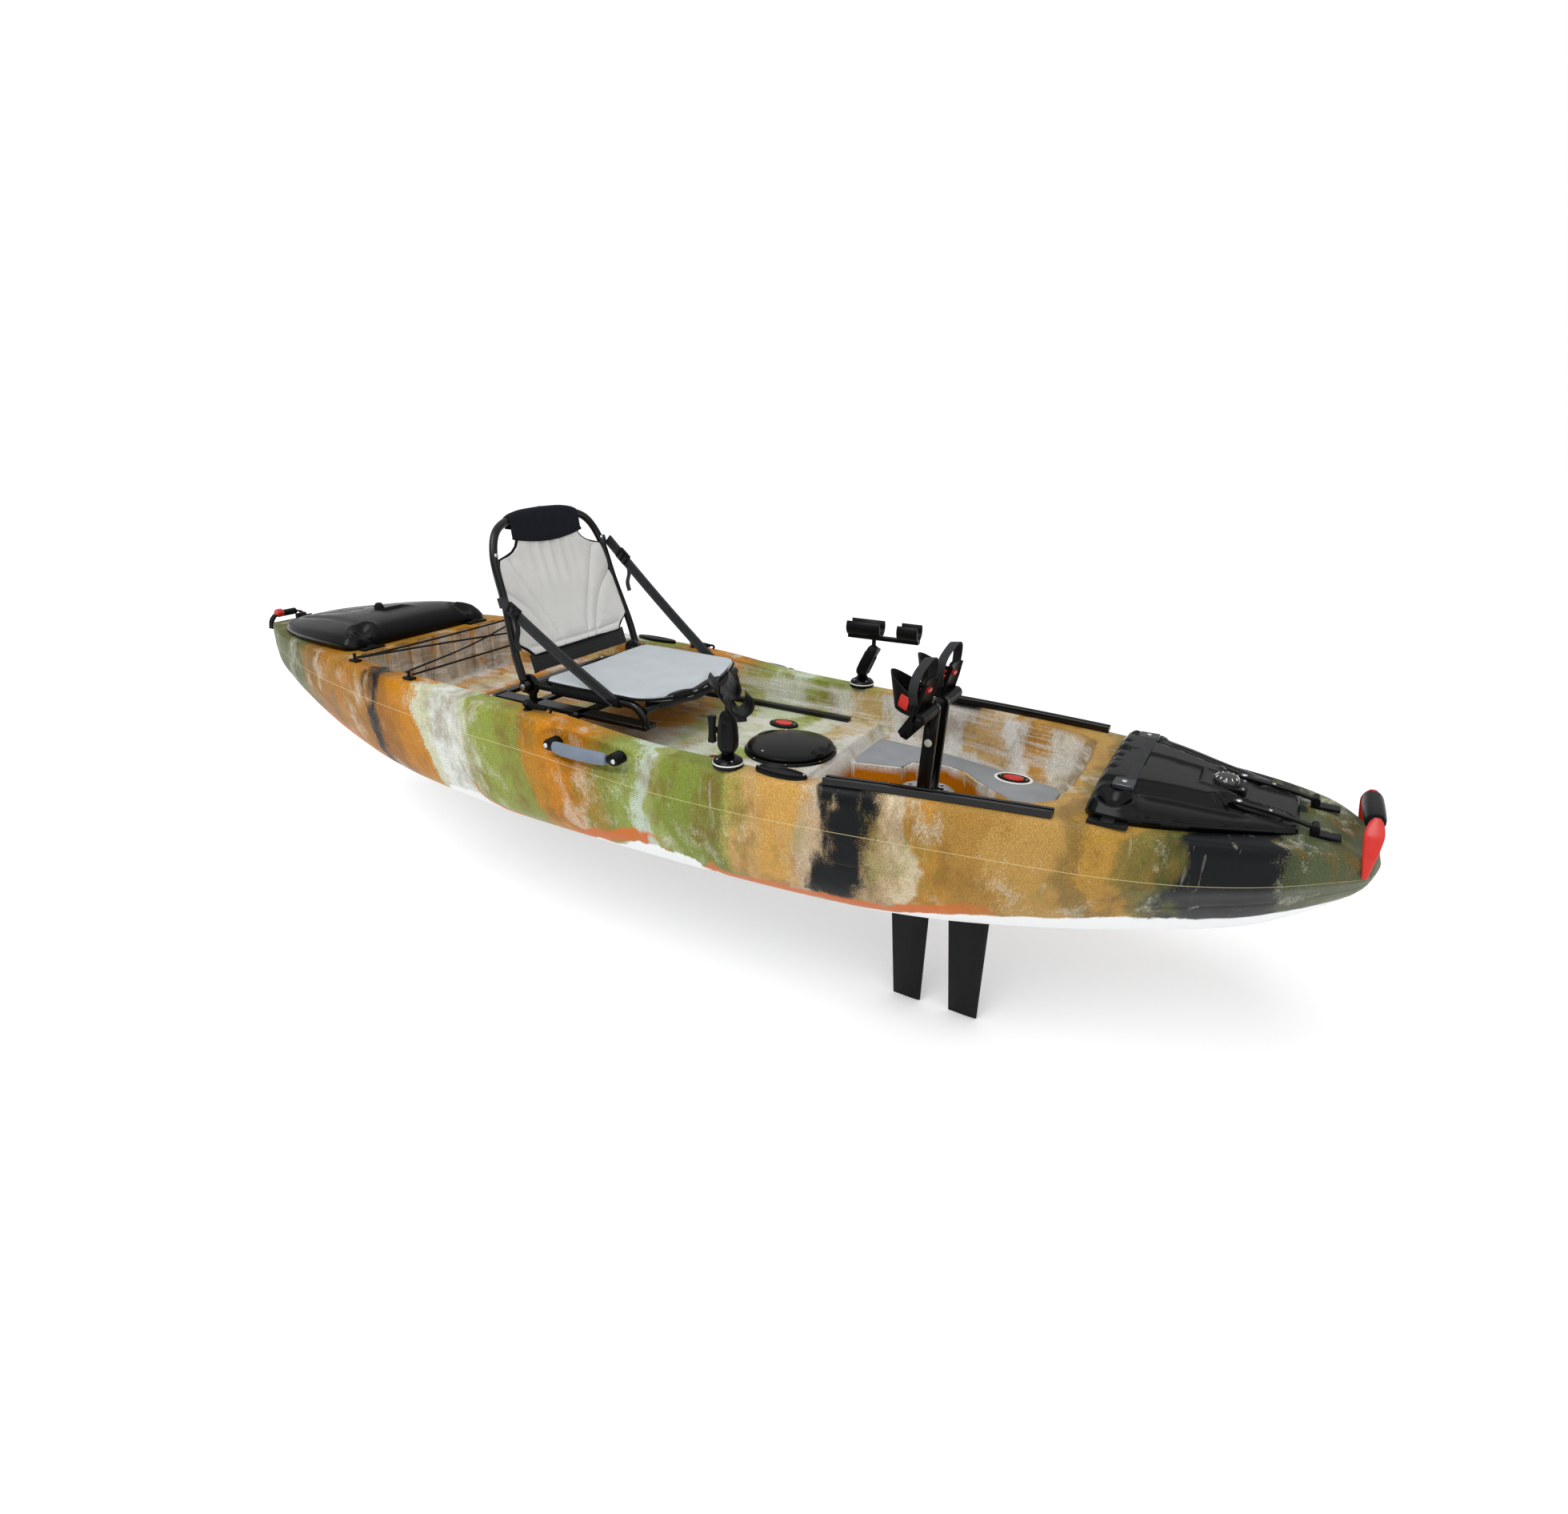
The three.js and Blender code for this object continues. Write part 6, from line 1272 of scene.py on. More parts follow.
def build_straps():
    for name, side in SIDES:
        strap, buckle, tail, loop, ring = Form(), Form(), Form(), Form(), Form()
        half, rise = STRAP_TOPS[name]
        top = back_point(side * half, rise, 0.013)
        foot = Vector((0.02, side * 0.2325, 0.386))
        path = [
            top.lerp(foot, t) - Vector((0, 0, 0.006 * math.sin(math.pi * t))) for t in np.linspace(0, 1, 24)
        ]
        strap.sweep(path, ribbon(0.0026, 0.027), up=(0.5, 0, 0.86))
        made = strap.make(f"strap_{name}", "black_webbing", None, [f"seat_strap_{name}"], "black_webbing", 0)
        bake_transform(made)
        # Ladder lock with its short tail, and the loop round the tube
        along = (foot - top).normalized()
        turn = along.to_track_quat("X", "Z")
        at = top + along * (0.075 if side > 0 else 0.04)
        bars = [((place, 0, 0.001), (0.003, 0.0045, 0.017)) for place in (-0.018, 0, 0.018)]
        bars += [((0, 0, edge), (0.02, 0.0045, 0.0025)) for edge in (-0.0155, 0.0155)]
        for place, size in bars:
            spot = at + turn @ Vector(place)
            buckle.block(spot - Vector(size), spot + Vector(size), turn)
        buckle.make(f"strap_buckle_{name}", "black_nylon", "seat_back_body", edge=0.001)
        reach = ((0, 0), (0.012, -0.02), (0.016, -0.05), (0.008, -0.08), (0.014, -0.105))
        line = [at + Vector((x, side * 0.006, z)) for x, z in reach]
        tail.sweep(smooth_path(line, 5), ribbon(0.018, 0.002), up=(0.9, 0, 0.3))
        tail.make(f"strap_tail_{name}", "black_webbing", "seat_back_body", edge=0)
        loop.tube([back_point(side * (half - 0.014), rise + r) for r in (-0.014, 0, 0.014)], 0.0142, sides=20)
        loop.make(f"strap_loop_{name}", "black_webbing", "seat_back_body", edge=0.002)
        # Steel ring at the foot
        centre = foot + Vector((-0.008, side * 0.001, 0.002))
        ring.tube([centre + Vector((0.017 * a, 0, 0.015 * b)) for a, b in circle(1, 24)], 0.0022, True, 8)
        ring.make(f"strap_ring_{name}", "steel", edge=0)


# Cockpit

def build_pads_and_valves():
    for name, side in SIDES:
        form, ring, cap, insert, heads = Form(), Form(), Form(), Form(), Form()
        form.plate([(x, side * y) for x, y in FOOT_PAD], 0.2153, 0.2203)
        form.make(f"pad_{name}", "grey_foam", "hull_body", [f"foot_pad_{name}"], "grey_foam", 0.0015)
        ring.plate(oval(0.962, side * 0.2, 0.1, 0.074), 0.2155, 0.2209)
        ring.make(f"valve_ring_{name}", "white_rubber", edge=0.0005)
        for _, x, half, z in VALVES:
            y = side * half
            cap.button(x, y, z, 0.088, 0.062, ((0, 0), (0, 0.0035), (0.0015, 0.006), (0.005, 0.0073)))
            insert.button(x, y, z, 0.054, 0.036, ((0, 0.005), (0.0005, 0.0082), (0.003, 0.0092)))
            for end in (-1, 1):
                screw(heads, (x + end * 0.034, y, z + 0.0073), 0.003)
        # The solids have no starboard valve beside the round hatch
        places = [place for place, *_ in VALVES if (place, name) != ("middle", "starboard")]
        stood_for = [f"scupper_valve_{place}_{name}" for place in places]
        cap.make(f"valve_caps_{name}", "black_nylon", "hull_body", stood_for, "black_plastic", 0)
        insert.make(f"valve_inserts_{name}", "red_plastic", edge=0)
        heads.make_screws(f"valve_screws_{name}")


def build_round_hatch():
    """A screwed ring and a domed lid with a finger grip."""
    ring, lid, heads = Form(), Form(), Form()
    x, z = ROUND_HATCH[0], 0.2553
    ring.lathe([
        (0.096, 0), (0.1225, 0), (0.1225, 0.004), (0.119, 0.0075), (0.104, 0.008), (0.096, 0.008),
    ], (x, 0, z), sides=72)
    for i in range(8):
        t = 2 * math.pi * (i + 0.5) / 8
        screw(heads, (x + 0.1195 * math.cos(t), 0.1195 * math.sin(t), z + 0.0055), 0.0028)
    foot = z + 0.0083
    lid.lathe([
        (0, 0), (0.108, 0), (0.1155, 0.002), (0.116, 0.006), (0.113, 0.0095), (0.1, 0.0135), (0.08, 0.0185),
        (0.05, 0.0228), (0.02, 0.0243), (0, 0.0245),
    ], (x, 0, foot), sides=72)
    # Raised finger grip, the latch opposite and two screws
    for t, long, deep in ((2.7, 0.034, 0.007), (-0.35, 0.014, 0.01)):
        rings = []
        for k in np.linspace(-1, 1, 13):
            swell = deep * math.sqrt(max(1 - k * k, 0.04))
            a = t + k * long / 0.1
            section = ((0.112, 0.002), (0.1155, 0.005 + swell), (0.094, 0.012 + swell), (0.086, 0.01))
            rings.append([(x + r * math.cos(a), r * math.sin(a), foot + high) for r, high in section])
        lid.loft(rings)
    for t in (-1.9, 2.2):
        screw(heads, (x + 0.098 * math.cos(t), 0.098 * math.sin(t), foot + 0.0135), 0.004)
    ring.make("round_ring", "black_nylon", "hull_body", ["round_hatch_ring"], "black_plastic", 0)
    heads.make_screws("round_ring_screws")
    lid.make("round_lid", "black_abs", "round_hatch_body", ["round_hatch_lid"], "black_plastic", 0.0015)


def build_cockpit():
    build_pads_and_valves()
    build_round_hatch()
    keep("black_aluminium", "seat_rail_starboard", "seat_rail_port")


def track_point(side, t):
    x = 0.69 + 0.475 * t
    return x, side * (0.352 - 0.064 * t), float(sheer(x)) + 0.0003


def build_tracks():
    section = (
        (-0.012, 0), (0.012, 0), (0.012, TRACK_HIGH), (0.004, TRACK_HIGH), (0.004, 0.008), (-0.004, 0.008),
        (-0.004, TRACK_HIGH), (-0.012, TRACK_HIGH),
    )
    for name, side in SIDES:
        form, heads = Form(), Form()
        line = [track_point(side, t) for t in np.linspace(0, 1, 30)]
        form.loft([[(x, y + side * a, z + b) for a, b in section] for x, y, z in line])
        finish = "black_aluminium"
        form.make(f"track_{name}", finish, "hull_body", [f"gear_track_{name}"], finish, 0.0008)
        for t in (0.04, 0.28, 0.52, 0.76, 0.96):
            x, y, z = track_point(side, t)
            screw(heads, (x, y, z + 0.008), 0.0032)
        heads.make_screws(f"track_screws_{name}")


def build_handles(heads):
    """A padded grip between two screwed ends on each side."""
    grips, ends = Form(), Form()
    middle, high = HANDLE_RECESS[0], 0.3255
    for _, side in SIDES:
        rings = []
        for k in np.linspace(-1, 1, 25):
            swell = 0.72 + 0.28 * math.sqrt(max(1 - k**4, 0))
            x, y = middle + 0.082 * k, side * (0.4395 + 0.006 * (1 - k * k))
            rings.append([(x, y + 0.0115 * swell * a, high + 0.0175 * swell * b) for a, b in circle(1, 24)])
        grips.loft(rings)
        for k in (-1, 1):
            x = middle + k * 0.099
            ends.loft([
                [(px, side * depth, pz) for px, pz in oval(x, high, 0.038 - 2 * inset, 0.031 - 2 * inset)]
                for inset, depth in ((0, 0.404), (0, 0.434), (0.002, 0.4395), (0.006, 0.442))
            ])
            screw(heads, (x + k * 0.006, side * 0.442, high), 0.006, (0, side, 0))
    stood_for = [[f"side_handle_{part}_{name}" for name, _ in SIDES] for part in ("grip", "strap")]
    grips.make("handle_grips", "grey_rubber", "hull_body", stood_for[0], "grey_rubber", 0)
    ends.make("handle_ends", "black_nylon", "hull_body", stood_for[1], "black_plastic", 0)


def build_bow_toggle():
    """A fat grip across two red tabs, wide above and pointed below."""
    grip, tabs = Form(), Form()
    x = 1.716
    grip.lathe([
        (0.012, -0.066), (0.0175, -0.063), (0.019, -0.05), (0.0195, 0), (0.019, 0.05), (0.0175, 0.063),
        (0.012, 0.066), (0, 0.066),
    ], (x, 0, 0.3885), (0, 1, 0), sides=36)
    for _, side in SIDES:
        rings = []
        for t in np.linspace(0, 1, 22):
            y = np.interp(t, (0, 0.25, 0.6, 1), (0.078, 0.098, 0.112, 0.119)) * side
            past = t - 0.28
            if past < 0:
                wide = math.sqrt(max(1 - (past / 0.3) ** 2, 0)) * 0.017
            else:
                wide = 0.017 - 0.012 * (past / 0.72) ** 1.2
            wide = max(wide, 0.006)
            rings.append([(x + wide * a, y + 0.0045 * b, 0.402 - 0.108 * t) for a, b in circle(1, 20)])
        tabs.loft(rings)
    grip.make("bow_toggle_grip", "black_nylon", "hull_body", ["bow_handle_grip"], "black_plastic", 0)
    tabs.make("bow_toggle_tabs", "red_plastic", "hull_body", ["bow_handle_strap"], "red_plastic", 0)


def build_stern_toggle():
    """A thin bar with a red end, held by two straps."""
    toggle, cap = Form(), Form()
    x, z = -1.693, 0.3775
    bar = [(0.008, -0.034), (0.0115, -0.031), (0.0115, 0.031), (0.008, 0.034), (0, 0.034)]
    toggle.lathe(bar, (x, 0, z), (0, 1, 0))
    for _, side in SIDES:
        line = [(x, side * y, high) for y, high in ((0.026, z), (0.045, 0.375), (0.062, 0.359), (0.0695, 0.33))]
        toggle.sweep(smooth_path(line, 6), ribbon(0.004, 0.02), up=(1, 0, 0))
    end = [(0.011, -0.013), (0.0145, -0.008), (0.0145, 0.008), (0.011, 0.013), (0, 0.013)]
    cap.lathe(end, (-1.69, -0.032, 0.381), (0, 1, 0))
    toggle.make("stern_toggle", "black_nylon", "hull_body", ["stern_handle"], "black_plastic", 0)
    cap.make("stern_toggle_cap", "red_plastic", edge=0)


def build_keepers():
    """Paddle keepers: a ball, a ribbed bead and a hook along the gunwale."""
    for name, side in SIDES:
        keeper = Form()
        x, y, z = -0.15, side * 0.372, 0.3765
        keeper.lathe([
            (0.012, 0), (0.012, 0.003), (0.007, 0.006), (0.0105, 0.011), (0.013, 0.0175), (0.0105, 0.0235),
            (0.006, 0.0265), (0, 0.027),
        ], (x, y, z), sides=28)
        level = z + 0.013
        for step in range(7):
            start = x + 0.012 + step * 0.0065
            keeper.rod((start, y, level), (start + 0.0045, y, level), 0.0085 - 0.0003 * step)
        keeper.rod((x, y, level), (x + 0.062, y, level), 0.006)
        bend = ((0.06, 0.013), (0.072, 0.016), (0.079, 0.012), (0.076, 0.005))
        keeper.tube(smooth_path([(x + dx, y, z + dz) for dx, dz in bend], 5), 0.0034)
        # The solids have the starboard keeper only
        stood_for = ["paddle_keeper"] if side < 0 else ()
        keeper.make(f"keeper_{name}", "black_nylon", "hull_body", stood_for, "black_plastic", 0.0006)


def build_gunwales():
    build_tracks()
    # Flush socket: a rounded cover with a sunk middle
    socket, heads = Form(), Form()
    x, y, z = 0.5825, -0.352, 0.3468
    socket.button(x, y, z, 0.13, 0.044, (
        (0, 0), (0, 0.006), (0.002, 0.0105), (0.005, 0.012), (0.0085, 0.0118), (0.011, 0.008), (0.015, 0.0065),
        (0.021, 0.006),
    ))
    socket.make("socket_cover", "black_abs", "hull_body", ["flush_socket"], "black_plastic", 0)
    for end in (-1, 1):
        screw(heads, (x + end * 0.057, y, z + 0.011), 0.0035)
    build_handles(heads)
    heads.make_screws("gunwale_screws")
    build_bow_toggle()
    build_stern_toggle()
    build_keepers()
    hooks = [f"cord_hook_{end}_{name}" for end in ("aft", "fore") for name, _ in SIDES]
    keep("black_nylon", "oval_holder", *hooks, edge=0.0015)
    keep("shock_cord", "tank_cord", edge=0)


def build_rod_clamp(name, low, high):
    """Two halves round the balls, with a slot and a wing knob."""
    arm = Form()
    along = high - low
    turn = along.to_track_quat("Z", "Y")
    rounded = [
        [math.copysign(abs(value) ** 0.6, value) for value in (math.cos(a), math.sin(a))]
        for a in np.linspace(0, 2 * math.pi, 33)[:-1]
    ]
    arm.loft([
        [low + along * t + turn @ Vector((wide * x, deep * y, 0)) for x, y in rounded]
        for t, wide, deep in (
            (-0.14, 0.013, 0.011), (-0.08, 0.0175, 0.015), (0.05, 0.0225, 0.0175), (0.3, 0.0235, 0.018),
            (0.62, 0.0215, 0.0175), (0.85, 0.0185, 0.016), (1.0, 0.0165, 0.015), (1.1, 0.012, 0.011),
        )
    ])
    for face in (-1, 1):
        for offset in (-0.0035, 0.0035):
            a, b = (low + along * t + turn @ Vector((offset, face * 0.0175, 0)) for t in (0.05, 0.78))
            arm.rod(a, b, 0.0018, sides=8)
    middle = low + along * 0.48
    reach = turn @ Vector((1, 0, 0))
    reach = reach if reach.x < 0 else -reach
    arm.rod(middle + reach * 0.018, middle + reach * 0.036, 0.0055)
    for step in (0.026, 0.03, 0.034):
        arm.rod(middle + reach * step, middle + reach * (step + 0.002), 0.0075)
    knob = middle + reach * 0.042
    arm.loft([
        [knob + turn @ Vector((x * 0.008 * k, y * 0.007 * k, z)) for x, y in SQUARE]
        for z, k in ((-0.032, 0.85), (-0.029, 1), (-0.008, 0.8), (0.008, 0.8), (0.029, 1), (0.032, 0.85))
    ])
    stood_for = [f"rod_arm_{name}"]
    arm.make(f"rod_clamp_{name}", "black_nylon", f"rod_arm_{name}_body", stood_for, "black_plastic", 0.0015)


def build_rod_holders():
    keep("black_nylon", *[f"rod_cradle_{name}" for name, _ in SIDES], edge=0.002)
    rings, heads = Form(), Form()
    z = float(sheer(0.48))
    for name, balls in ROD_BALLS.items():
        low, high = (Vector(ball) for ball in balls)
        base = Form()
        base.lathe([
            (0.0345, -0.001), (0.0355, 0.004), (0.034, 0.008), (0.0345, 0.0115), (0.031, 0.0175),
            (0.023, 0.022), (0.0165, 0.0235), (0.0175, 0.026), (0.0145, 0.0275), (0.0155, 0.03),
            (0.0125, 0.032), (0.0125, 0.035), (0, 0.036),
        ], (low.x, low.y, z), sides=48)
        base.make(f"rod_foot_{name}", "black_abs", "hull_body", [f"rod_base_{name}"], "black_plastic", 0)
        rings.lathe(
            [(0.0335, 0.0075), (0.0358, 0.008), (0.0358, 0.0105), (0.0335, 0.011)], (low.x, low.y, z), sides=48,
        )
        for t in (0.9, 2.6, 4.1, 5.6):
            screw(heads, (low.x + 0.026 * math.cos(t), low.y + 0.026 * math.sin(t), z + 0.0188), 0.0028)
        build_rod_clamp(name, low, high)
    rings.make("rod_base_rings", "white_rubber", edge=0)
    heads.make_screws("rod_base_screws")


def build_drive():
    keep("black_nylon", "drive_housing", edge=0.002)
    keep("silver_aluminium", "drive_flange", edge=0.0006)
    keep("black_nylon", "fin_aft", "fin_fore", edge=0.001)
    keep("black_aluminium", "pedal_arm_starboard", "pedal_arm_port", edge=0.002)
    for name, side in SIDES:
        bolt = Form()
        bolt.lathe(
            [(0.0085, 0), (0.0095, 0.001), (0.0095, 0.003), (0.0075, 0.0042), (0, 0.0042)],
            (ARM_BOLT[0], side * ARM_BOLT[1], ARM_BOLT[2]), (0, side, 0),
        )
        bolt.make(f"pedal_arm_bolt_{name}", "white_rubber", f"pedal_arm_{name}_body", edge=0)
        build_pedal(name, side)


def build_pedal(name, side):
    """A ribbed footplate with a flared cup, an adjustable band and a webbing loop for the foot."""
    turn = Matrix.Rotation(PEDAL_TILT, 3, "Y")
    middle = Vector((PEDAL_TOP[0], side * PEDAL_TOP[1], PEDAL_TOP[2]))
    body = f"pedal_{name}_body"

    def place(x, y, z):
        return middle + turn @ Vector((x, y, z))

    def round_heel(t, reach, wide, z):
        """A place on the half oval behind the foot."""
        return place(PEDAL_HEEL - reach * math.cos(t), wide * math.sin(t), z)

    sole, cup, band, slider, loop = Form(), Form(), Form(), Form(), Form()
    ys = np.linspace(-1, 1, 13)
    rings = []
    for z in np.linspace(-0.0435, 0.0845, 14):
        width = 0.046 - 0.008 * ease((z - 0.04) / 0.045)
        rings.append([
            place(x - 0.006 * (1 - y * y) + 0.004 * y**4, y * width, z)
            for x, row in ((-0.0195, ys), (-0.0105, ys[::-1])) for y in row
        ])
    sole.loft(rings)
    for z in np.linspace(-0.03, 0.075, 8):
        sole.block(place(-0.0245, -0.034, z - 0.0025), place(-0.0225, 0.034, z + 0.0025))
    # Hub with the axle's cylinder and the six-sided end below it
    axle = Vector((0, side * 0.046, 0))
    sole.rod(middle - axle, middle + axle, 0.0155, sides=32)
    sole.block(middle - Vector((0.018, 0.03, 0.013)), middle + Vector((0.004, 0.03, 0.013)))
    sole.rod(place(-0.01, side * 0.022, -0.012), place(-0.03, side * 0.022, -0.058), 0.021, 0.017, sides=6)
    sole.make(f"pedal_sole_{name}", "black_nylon", body, [f"pedal_{name}"], "black_plastic", 0.0015)
    # The cup flares out behind the heel
    rings = []
    for t in np.linspace(-math.pi / 2, math.pi / 2, 30):
        flare = 0.5 + 0.5 * math.cos(t)
        low, high, out = 0.01 - 0.014 * flare, 0.044 + 0.03 * flare**3, 0.03 * flare
        section = ((low, -0.006, 0), (high, out, 0), (high, out - 0.004, -0.003), (low, -0.0095, -0.003))
        rings.append([round_heel(t, 0.07 + lean, 0.048 + thick, z) for z, lean, thick in section])
    cup.loft(rings)
    cup.make(f"pedal_cup_{name}", "black_nylon", body, edge=0.001)
    # Band with close ribs on its outer side
    path = [round_heel(t, BAND_REACH, BAND_WIDE, 0.028) for t in np.linspace(-1.57, 1.57, 30)]
    band.sweep(path, ribbon(0.026, 0.003), up=tuple(turn @ Vector((1, 0, 0))))
    for t in side * np.linspace(0.35, 1.5, 13):
        band.rod(round_heel(t, 0.069, 0.051, 0.0165), round_heel(t, 0.069, 0.051, 0.0395), 0.0015, sides=8)
    band.make(f"pedal_band_{name}", "black_nylon", body, edge=0)
    section = (
        (-0.003, 0.0125), (0.0045, 0.0125), (0.0065, 0.02), (0.0065, 0.036), (0.0045, 0.0435), (-0.003, 0.0435),
    )
    slider.loft([
        [round_heel(t, BAND_REACH + off, BAND_WIDE + off, z) for off, z in section]
        for t in side * np.linspace(0.86, 1.28, 7)
    ])
    slider.block(place(-0.026, -0.012, 0.052), place(-0.008, 0.012, 0.066))
    slider.block(place(-0.028, -side * 0.03 - 0.006, 0.044), place(-0.014, -side * 0.03 + 0.006, 0.058))
    slider.make(f"pedal_sliders_{name}", "red_plastic", body, edge=0.0015)
    # Webbing loop that rises over the foot
    arch = smooth_path([
        (-0.02, -0.047, 0.03), (-0.028, -0.062, 0.066), (-0.032, -0.056, 0.1), (-0.032, -0.024, 0.124),
        (-0.034, 0.012, 0.128), (-0.034, 0.046, 0.11), (-0.03, 0.06, 0.072), (-0.02, 0.047, 0.03),
    ], 6)
    rings = []
    for i, (x, y, z) in enumerate(arch):
        lean = 0.0095 + 0.002 * math.sin(math.pi * i / (len(arch) - 1))
        out = Vector((0, y, z - 0.03)).normalized() * 0.0026
        rings.append([
            place(x + lean * a, y + out.y * b, z + 0.4 * lean * a + out.z * b)
            for a, b in ((-1, 0), (1, 0), (1, 1), (-1, 1))
        ])
    loop.loft(rings)
    loop.make(f"pedal_loop_{name}", "black_webbing", body, edge=0.0005)


# Studio

def add_object(name, data):
    """Adds a piece of the studio."""
    made = bpy.data.objects.new(name, data)
    bpy.context.scene.collection.objects.link(made)
    return made


def build_floor(height):
    size = 30
    mesh = bpy.data.meshes.new("floor")
    mesh.from_pydata([(size * a, size * b, 0) for a, b in SQUARE], [], [(0, 1, 2, 3)])
    floor = add_object("floor", mesh)
    floor.location.z = height
    # Matt white paper: keeps only the soft shadow
    paper = bpy.data.materials.new("white_paper")
    paper.use_nodes = True
    paper.node_tree.nodes.clear()
    shader = node(paper.node_tree, "ShaderNodeBsdfDiffuse", {"Color": linear("#fdfdfd")})
    node(paper.node_tree, "ShaderNodeOutputMaterial", {"Surface": shader})
    mesh.materials.append(paper)


def build_sky(sky):
    """White to the camera, and brighter overhead than round the horizon, so black plastic shows its shape."""
    world = bpy.data.worlds.new("studio")
    bpy.context.scene.world = world
    world.use_nodes = True
    tree = world.node_tree
    tree.nodes.clear()
    light = node(tree, "ShaderNodeLightPath")
    seen = node(tree, "ShaderNodeBackground", {"Color": (1, 1, 1, 1), "Strength": 1.0})
    up = node(tree, "ShaderNodeSeparateXYZ", {"Vector": node(tree, "ShaderNodeTexCoord").outputs["Generated"]})
    strength = remap(tree, up.outputs["Z"], 0.1, 0.8, sky * 0.5, sky * 1.45)
    soft = node(tree, "ShaderNodeBackground", {"Color": (1, 1, 1, 1), "Strength": strength})
    mixed = node(tree, "ShaderNodeMixShader", {0: light.outputs["Is Camera Ray"], 1: soft, 2: seen})
    node(tree, "ShaderNodeOutputWorld", {"Surface": mixed})


def build_camera():
    scene = bpy.context.scene
    camera = bpy.data.cameras.new("camera")
    camera.sensor_width = 36
    camera.lens = FOCAL_LENGTH / PHOTO_WIDTH * camera.sensor_width
    camera.clip_start = 0.05
    yaw, pitch, roll = CAMERA_TURN
    ahead = Vector((-math.sin(yaw) * math.cos(pitch), math.cos(yaw) * math.cos(pitch), -math.sin(pitch)))
    right = Vector((math.cos(yaw), math.sin(yaw), 0))
    up = right.cross(ahead)
    right, up = math.cos(roll) * right + math.sin(roll) * up, math.cos(roll) * up - math.sin(roll) * right
    made = add_object("camera", camera)
    made.matrix_world = Matrix((right, up, -ahead)).transposed().to_4x4()
    made.location = CAMERA_PLACE
    scene.camera = made
    scene.view_settings.view_transform = "Standard"
    scene.view_settings.look = "None"


def build_stage(settings):
    build_floor(settings.floor_height)
    build_sky(settings.sky)
    # A soft light from above and a wider, weaker one from the side
    lamps = (("key", (38, 6, -18), settings.key, 35), ("fill", (58, 0, 60), settings.key * 0.35, 60))
    for label, turn, strength, spread in lamps:
        lamp = bpy.data.lights.new(label, "SUN")
        lamp.energy = strength
        lamp.angle = math.radians(spread)
        made = add_object(label, lamp)
        made.rotation_euler = [math.radians(a) for a in turn]
    build_camera()


# Add-on

class KayakStageSettings(bpy.types.PropertyGroup):
    floor_height: bpy.props.FloatProperty(
        name="Floor height", description="Height of the floor under the fins", default=-0.3925, unit="LENGTH",
    )
    sky: bpy.props.FloatProperty(
        name="Sky", description="Strength of the even light from all round", default=0.66, min=0,
        subtype="FACTOR",
    )
    key: bpy.props.FloatProperty(
        name="Key light", description="Strength of the soft light from above", default=1.25, min=0,
    )


class BuildStep:
    """Runs the builders of one group."""

    def execute(self, context):
        for build in self.builders:
            build()
        return {"FINISHED"}


class KAYAK_OT_hull(BuildStep, bpy.types.Operator):
    """Build the hull"""
    bl_idname = "kayak.hull"
    bl_label = "Hull"
    builders = (build_hull,)


class KAYAK_OT_covers(BuildStep, bpy.types.Operator):
    """Build the hatch covers with their fittings"""
    bl_idname = "kayak.covers"
    bl_label = "Hatch covers"
    builders = (build_covers,)


class KAYAK_OT_seat(BuildStep, bpy.types.Operator):
    """Build the seat, its fabrics and straps"""
    bl_idname = "kayak.seat"
    bl_label = "Seat"
    builders = (build_seat_frame, build_back, build_pan, build_straps)


class KAYAK_OT_cockpit(BuildStep, bpy.types.Operator):
    """Build the pads, valves and round hatch"""
    bl_idname = "kayak.cockpit"
    bl_label = "Cockpit"
    builders = (build_cockpit,)


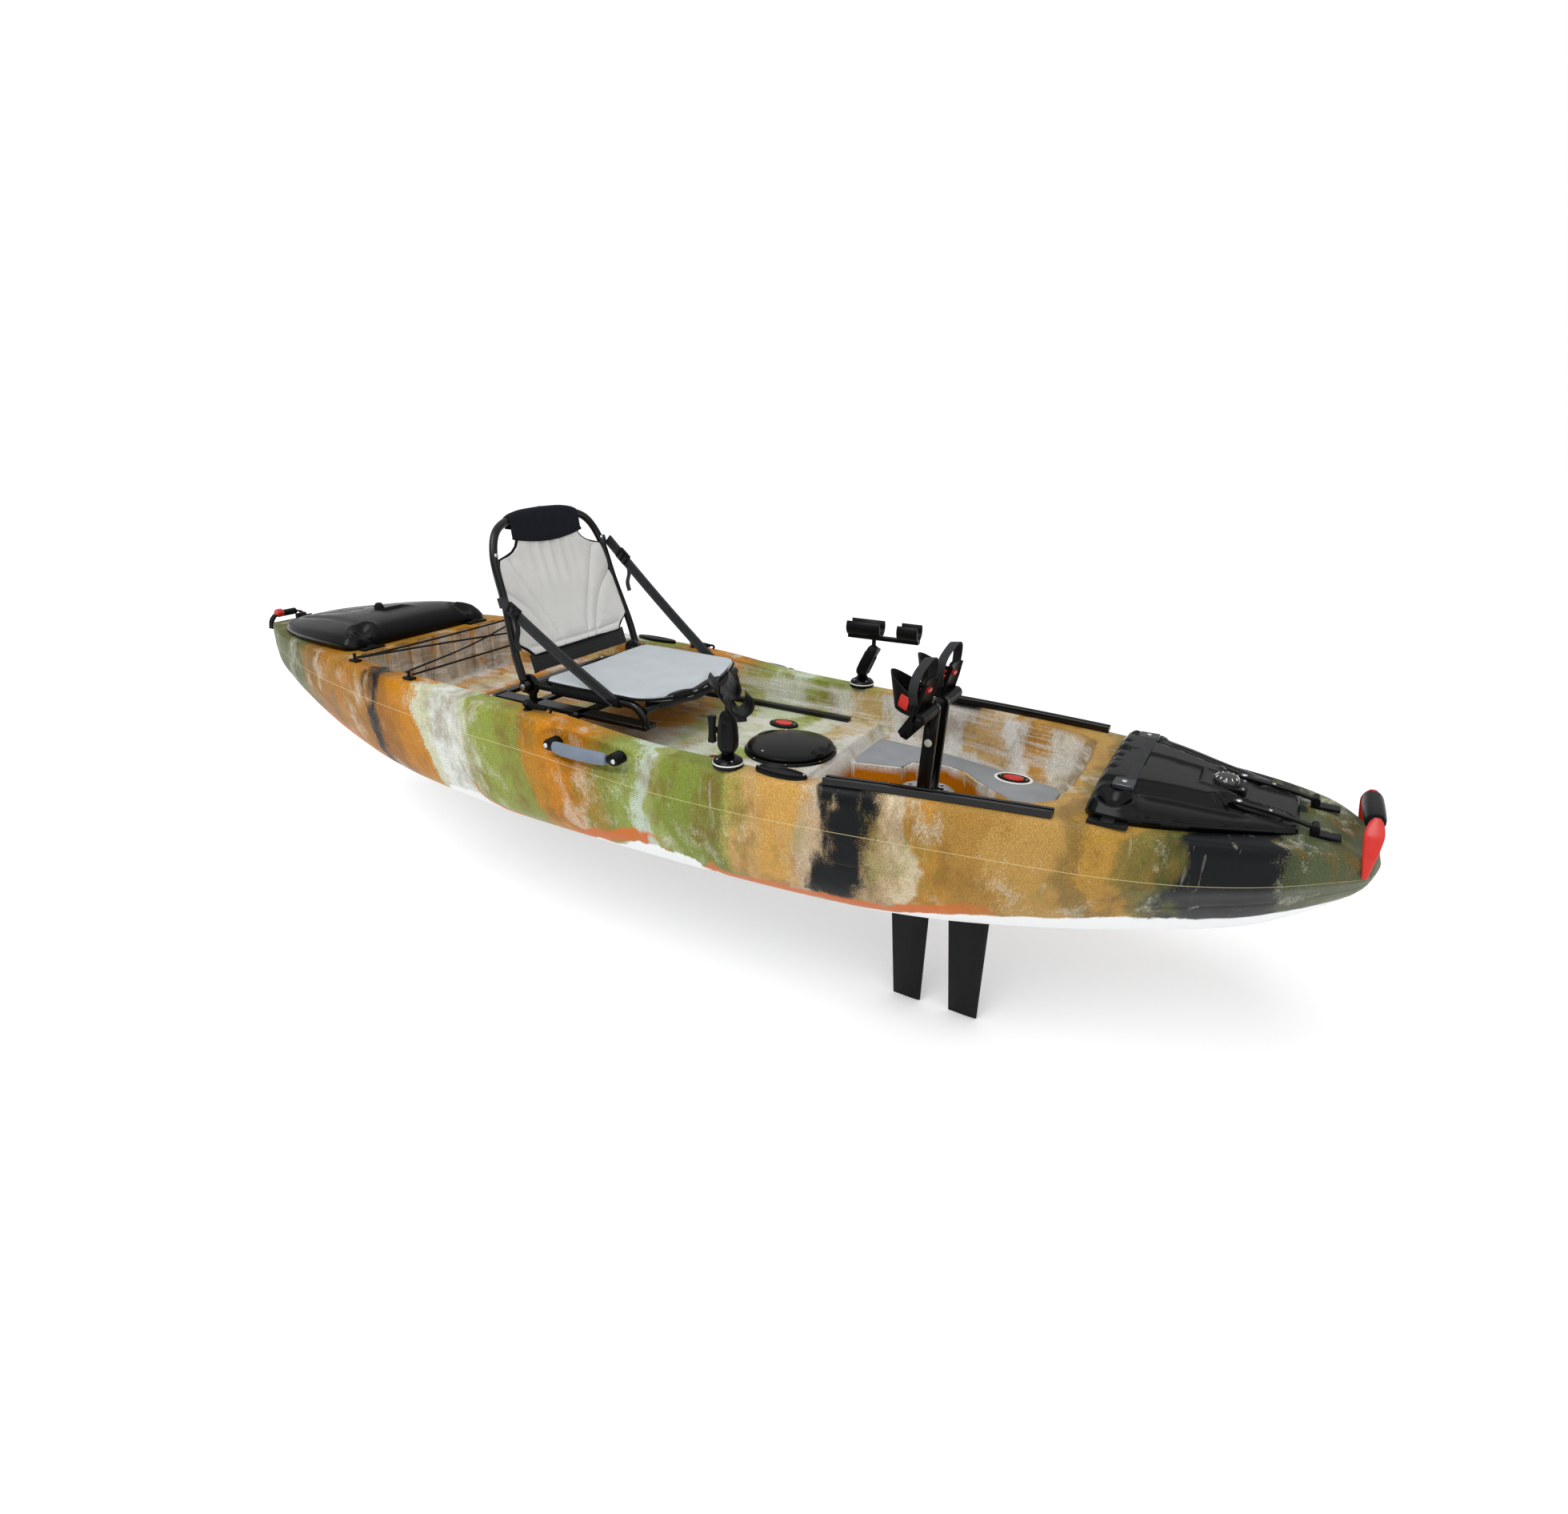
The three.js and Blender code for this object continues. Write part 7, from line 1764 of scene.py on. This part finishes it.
class KAYAK_OT_gunwales(BuildStep, bpy.types.Operator):
    """Build the fittings on the gunwales and the handles"""
    bl_idname = "kayak.gunwales"
    bl_label = "Gunwale fittings"
    builders = (build_gunwales,)


class KAYAK_OT_rods(BuildStep, bpy.types.Operator):
    """Build the rod holders"""
    bl_idname = "kayak.rods"
    bl_label = "Rod holders"
    builders = (build_rod_holders,)


class KAYAK_OT_drive(BuildStep, bpy.types.Operator):
    """Build the pedal drive"""
    bl_idname = "kayak.drive"
    bl_label = "Pedal drive"
    builders = (build_drive,)


class KAYAK_OT_stage(bpy.types.Operator):
    """Build the floor, the lights and the camera"""
    bl_idname = "kayak.stage"
    bl_label = "Studio"

    def execute(self, context):
        build_stage(context.scene.kayak_stage)
        return {"FINISHED"}


class KAYAK_PT_panel(bpy.types.Panel):
    """Buttons that build the kayak's looks"""
    bl_label = "Kayak"
    bl_idname = "KAYAK_PT_panel"
    bl_space_type = "VIEW_3D"
    bl_region_type = "UI"
    bl_category = "Kayak"

    def draw(self, context):
        for operator in OPERATORS:
            self.layout.operator(operator.bl_idname)
        for name in ("floor_height", "sky", "key"):
            self.layout.prop(context.scene.kayak_stage, name)


OPERATORS = (
    KAYAK_OT_hull, KAYAK_OT_covers, KAYAK_OT_seat, KAYAK_OT_cockpit, KAYAK_OT_gunwales, KAYAK_OT_rods,
    KAYAK_OT_drive, KAYAK_OT_stage,
)
CLASSES = (KayakStageSettings, *OPERATORS, KAYAK_PT_panel)


def register():
    for cls in CLASSES:
        bpy.utils.register_class(cls)
    bpy.types.Scene.kayak_stage = bpy.props.PointerProperty(type=KayakStageSettings)


def unregister():
    del bpy.types.Scene.kayak_stage
    for cls in reversed(CLASSES):
        bpy.utils.unregister_class(cls)


def main():
    register()
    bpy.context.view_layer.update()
    bpy.ops.kayak.hull()
    bpy.ops.kayak.covers()
    bpy.ops.kayak.seat()
    bpy.ops.kayak.cockpit()
    bpy.ops.kayak.gunwales()
    bpy.ops.kayak.rods()
    bpy.ops.kayak.drive()
    bpy.ops.kayak.stage()


if __name__ == "__main__":
    main()
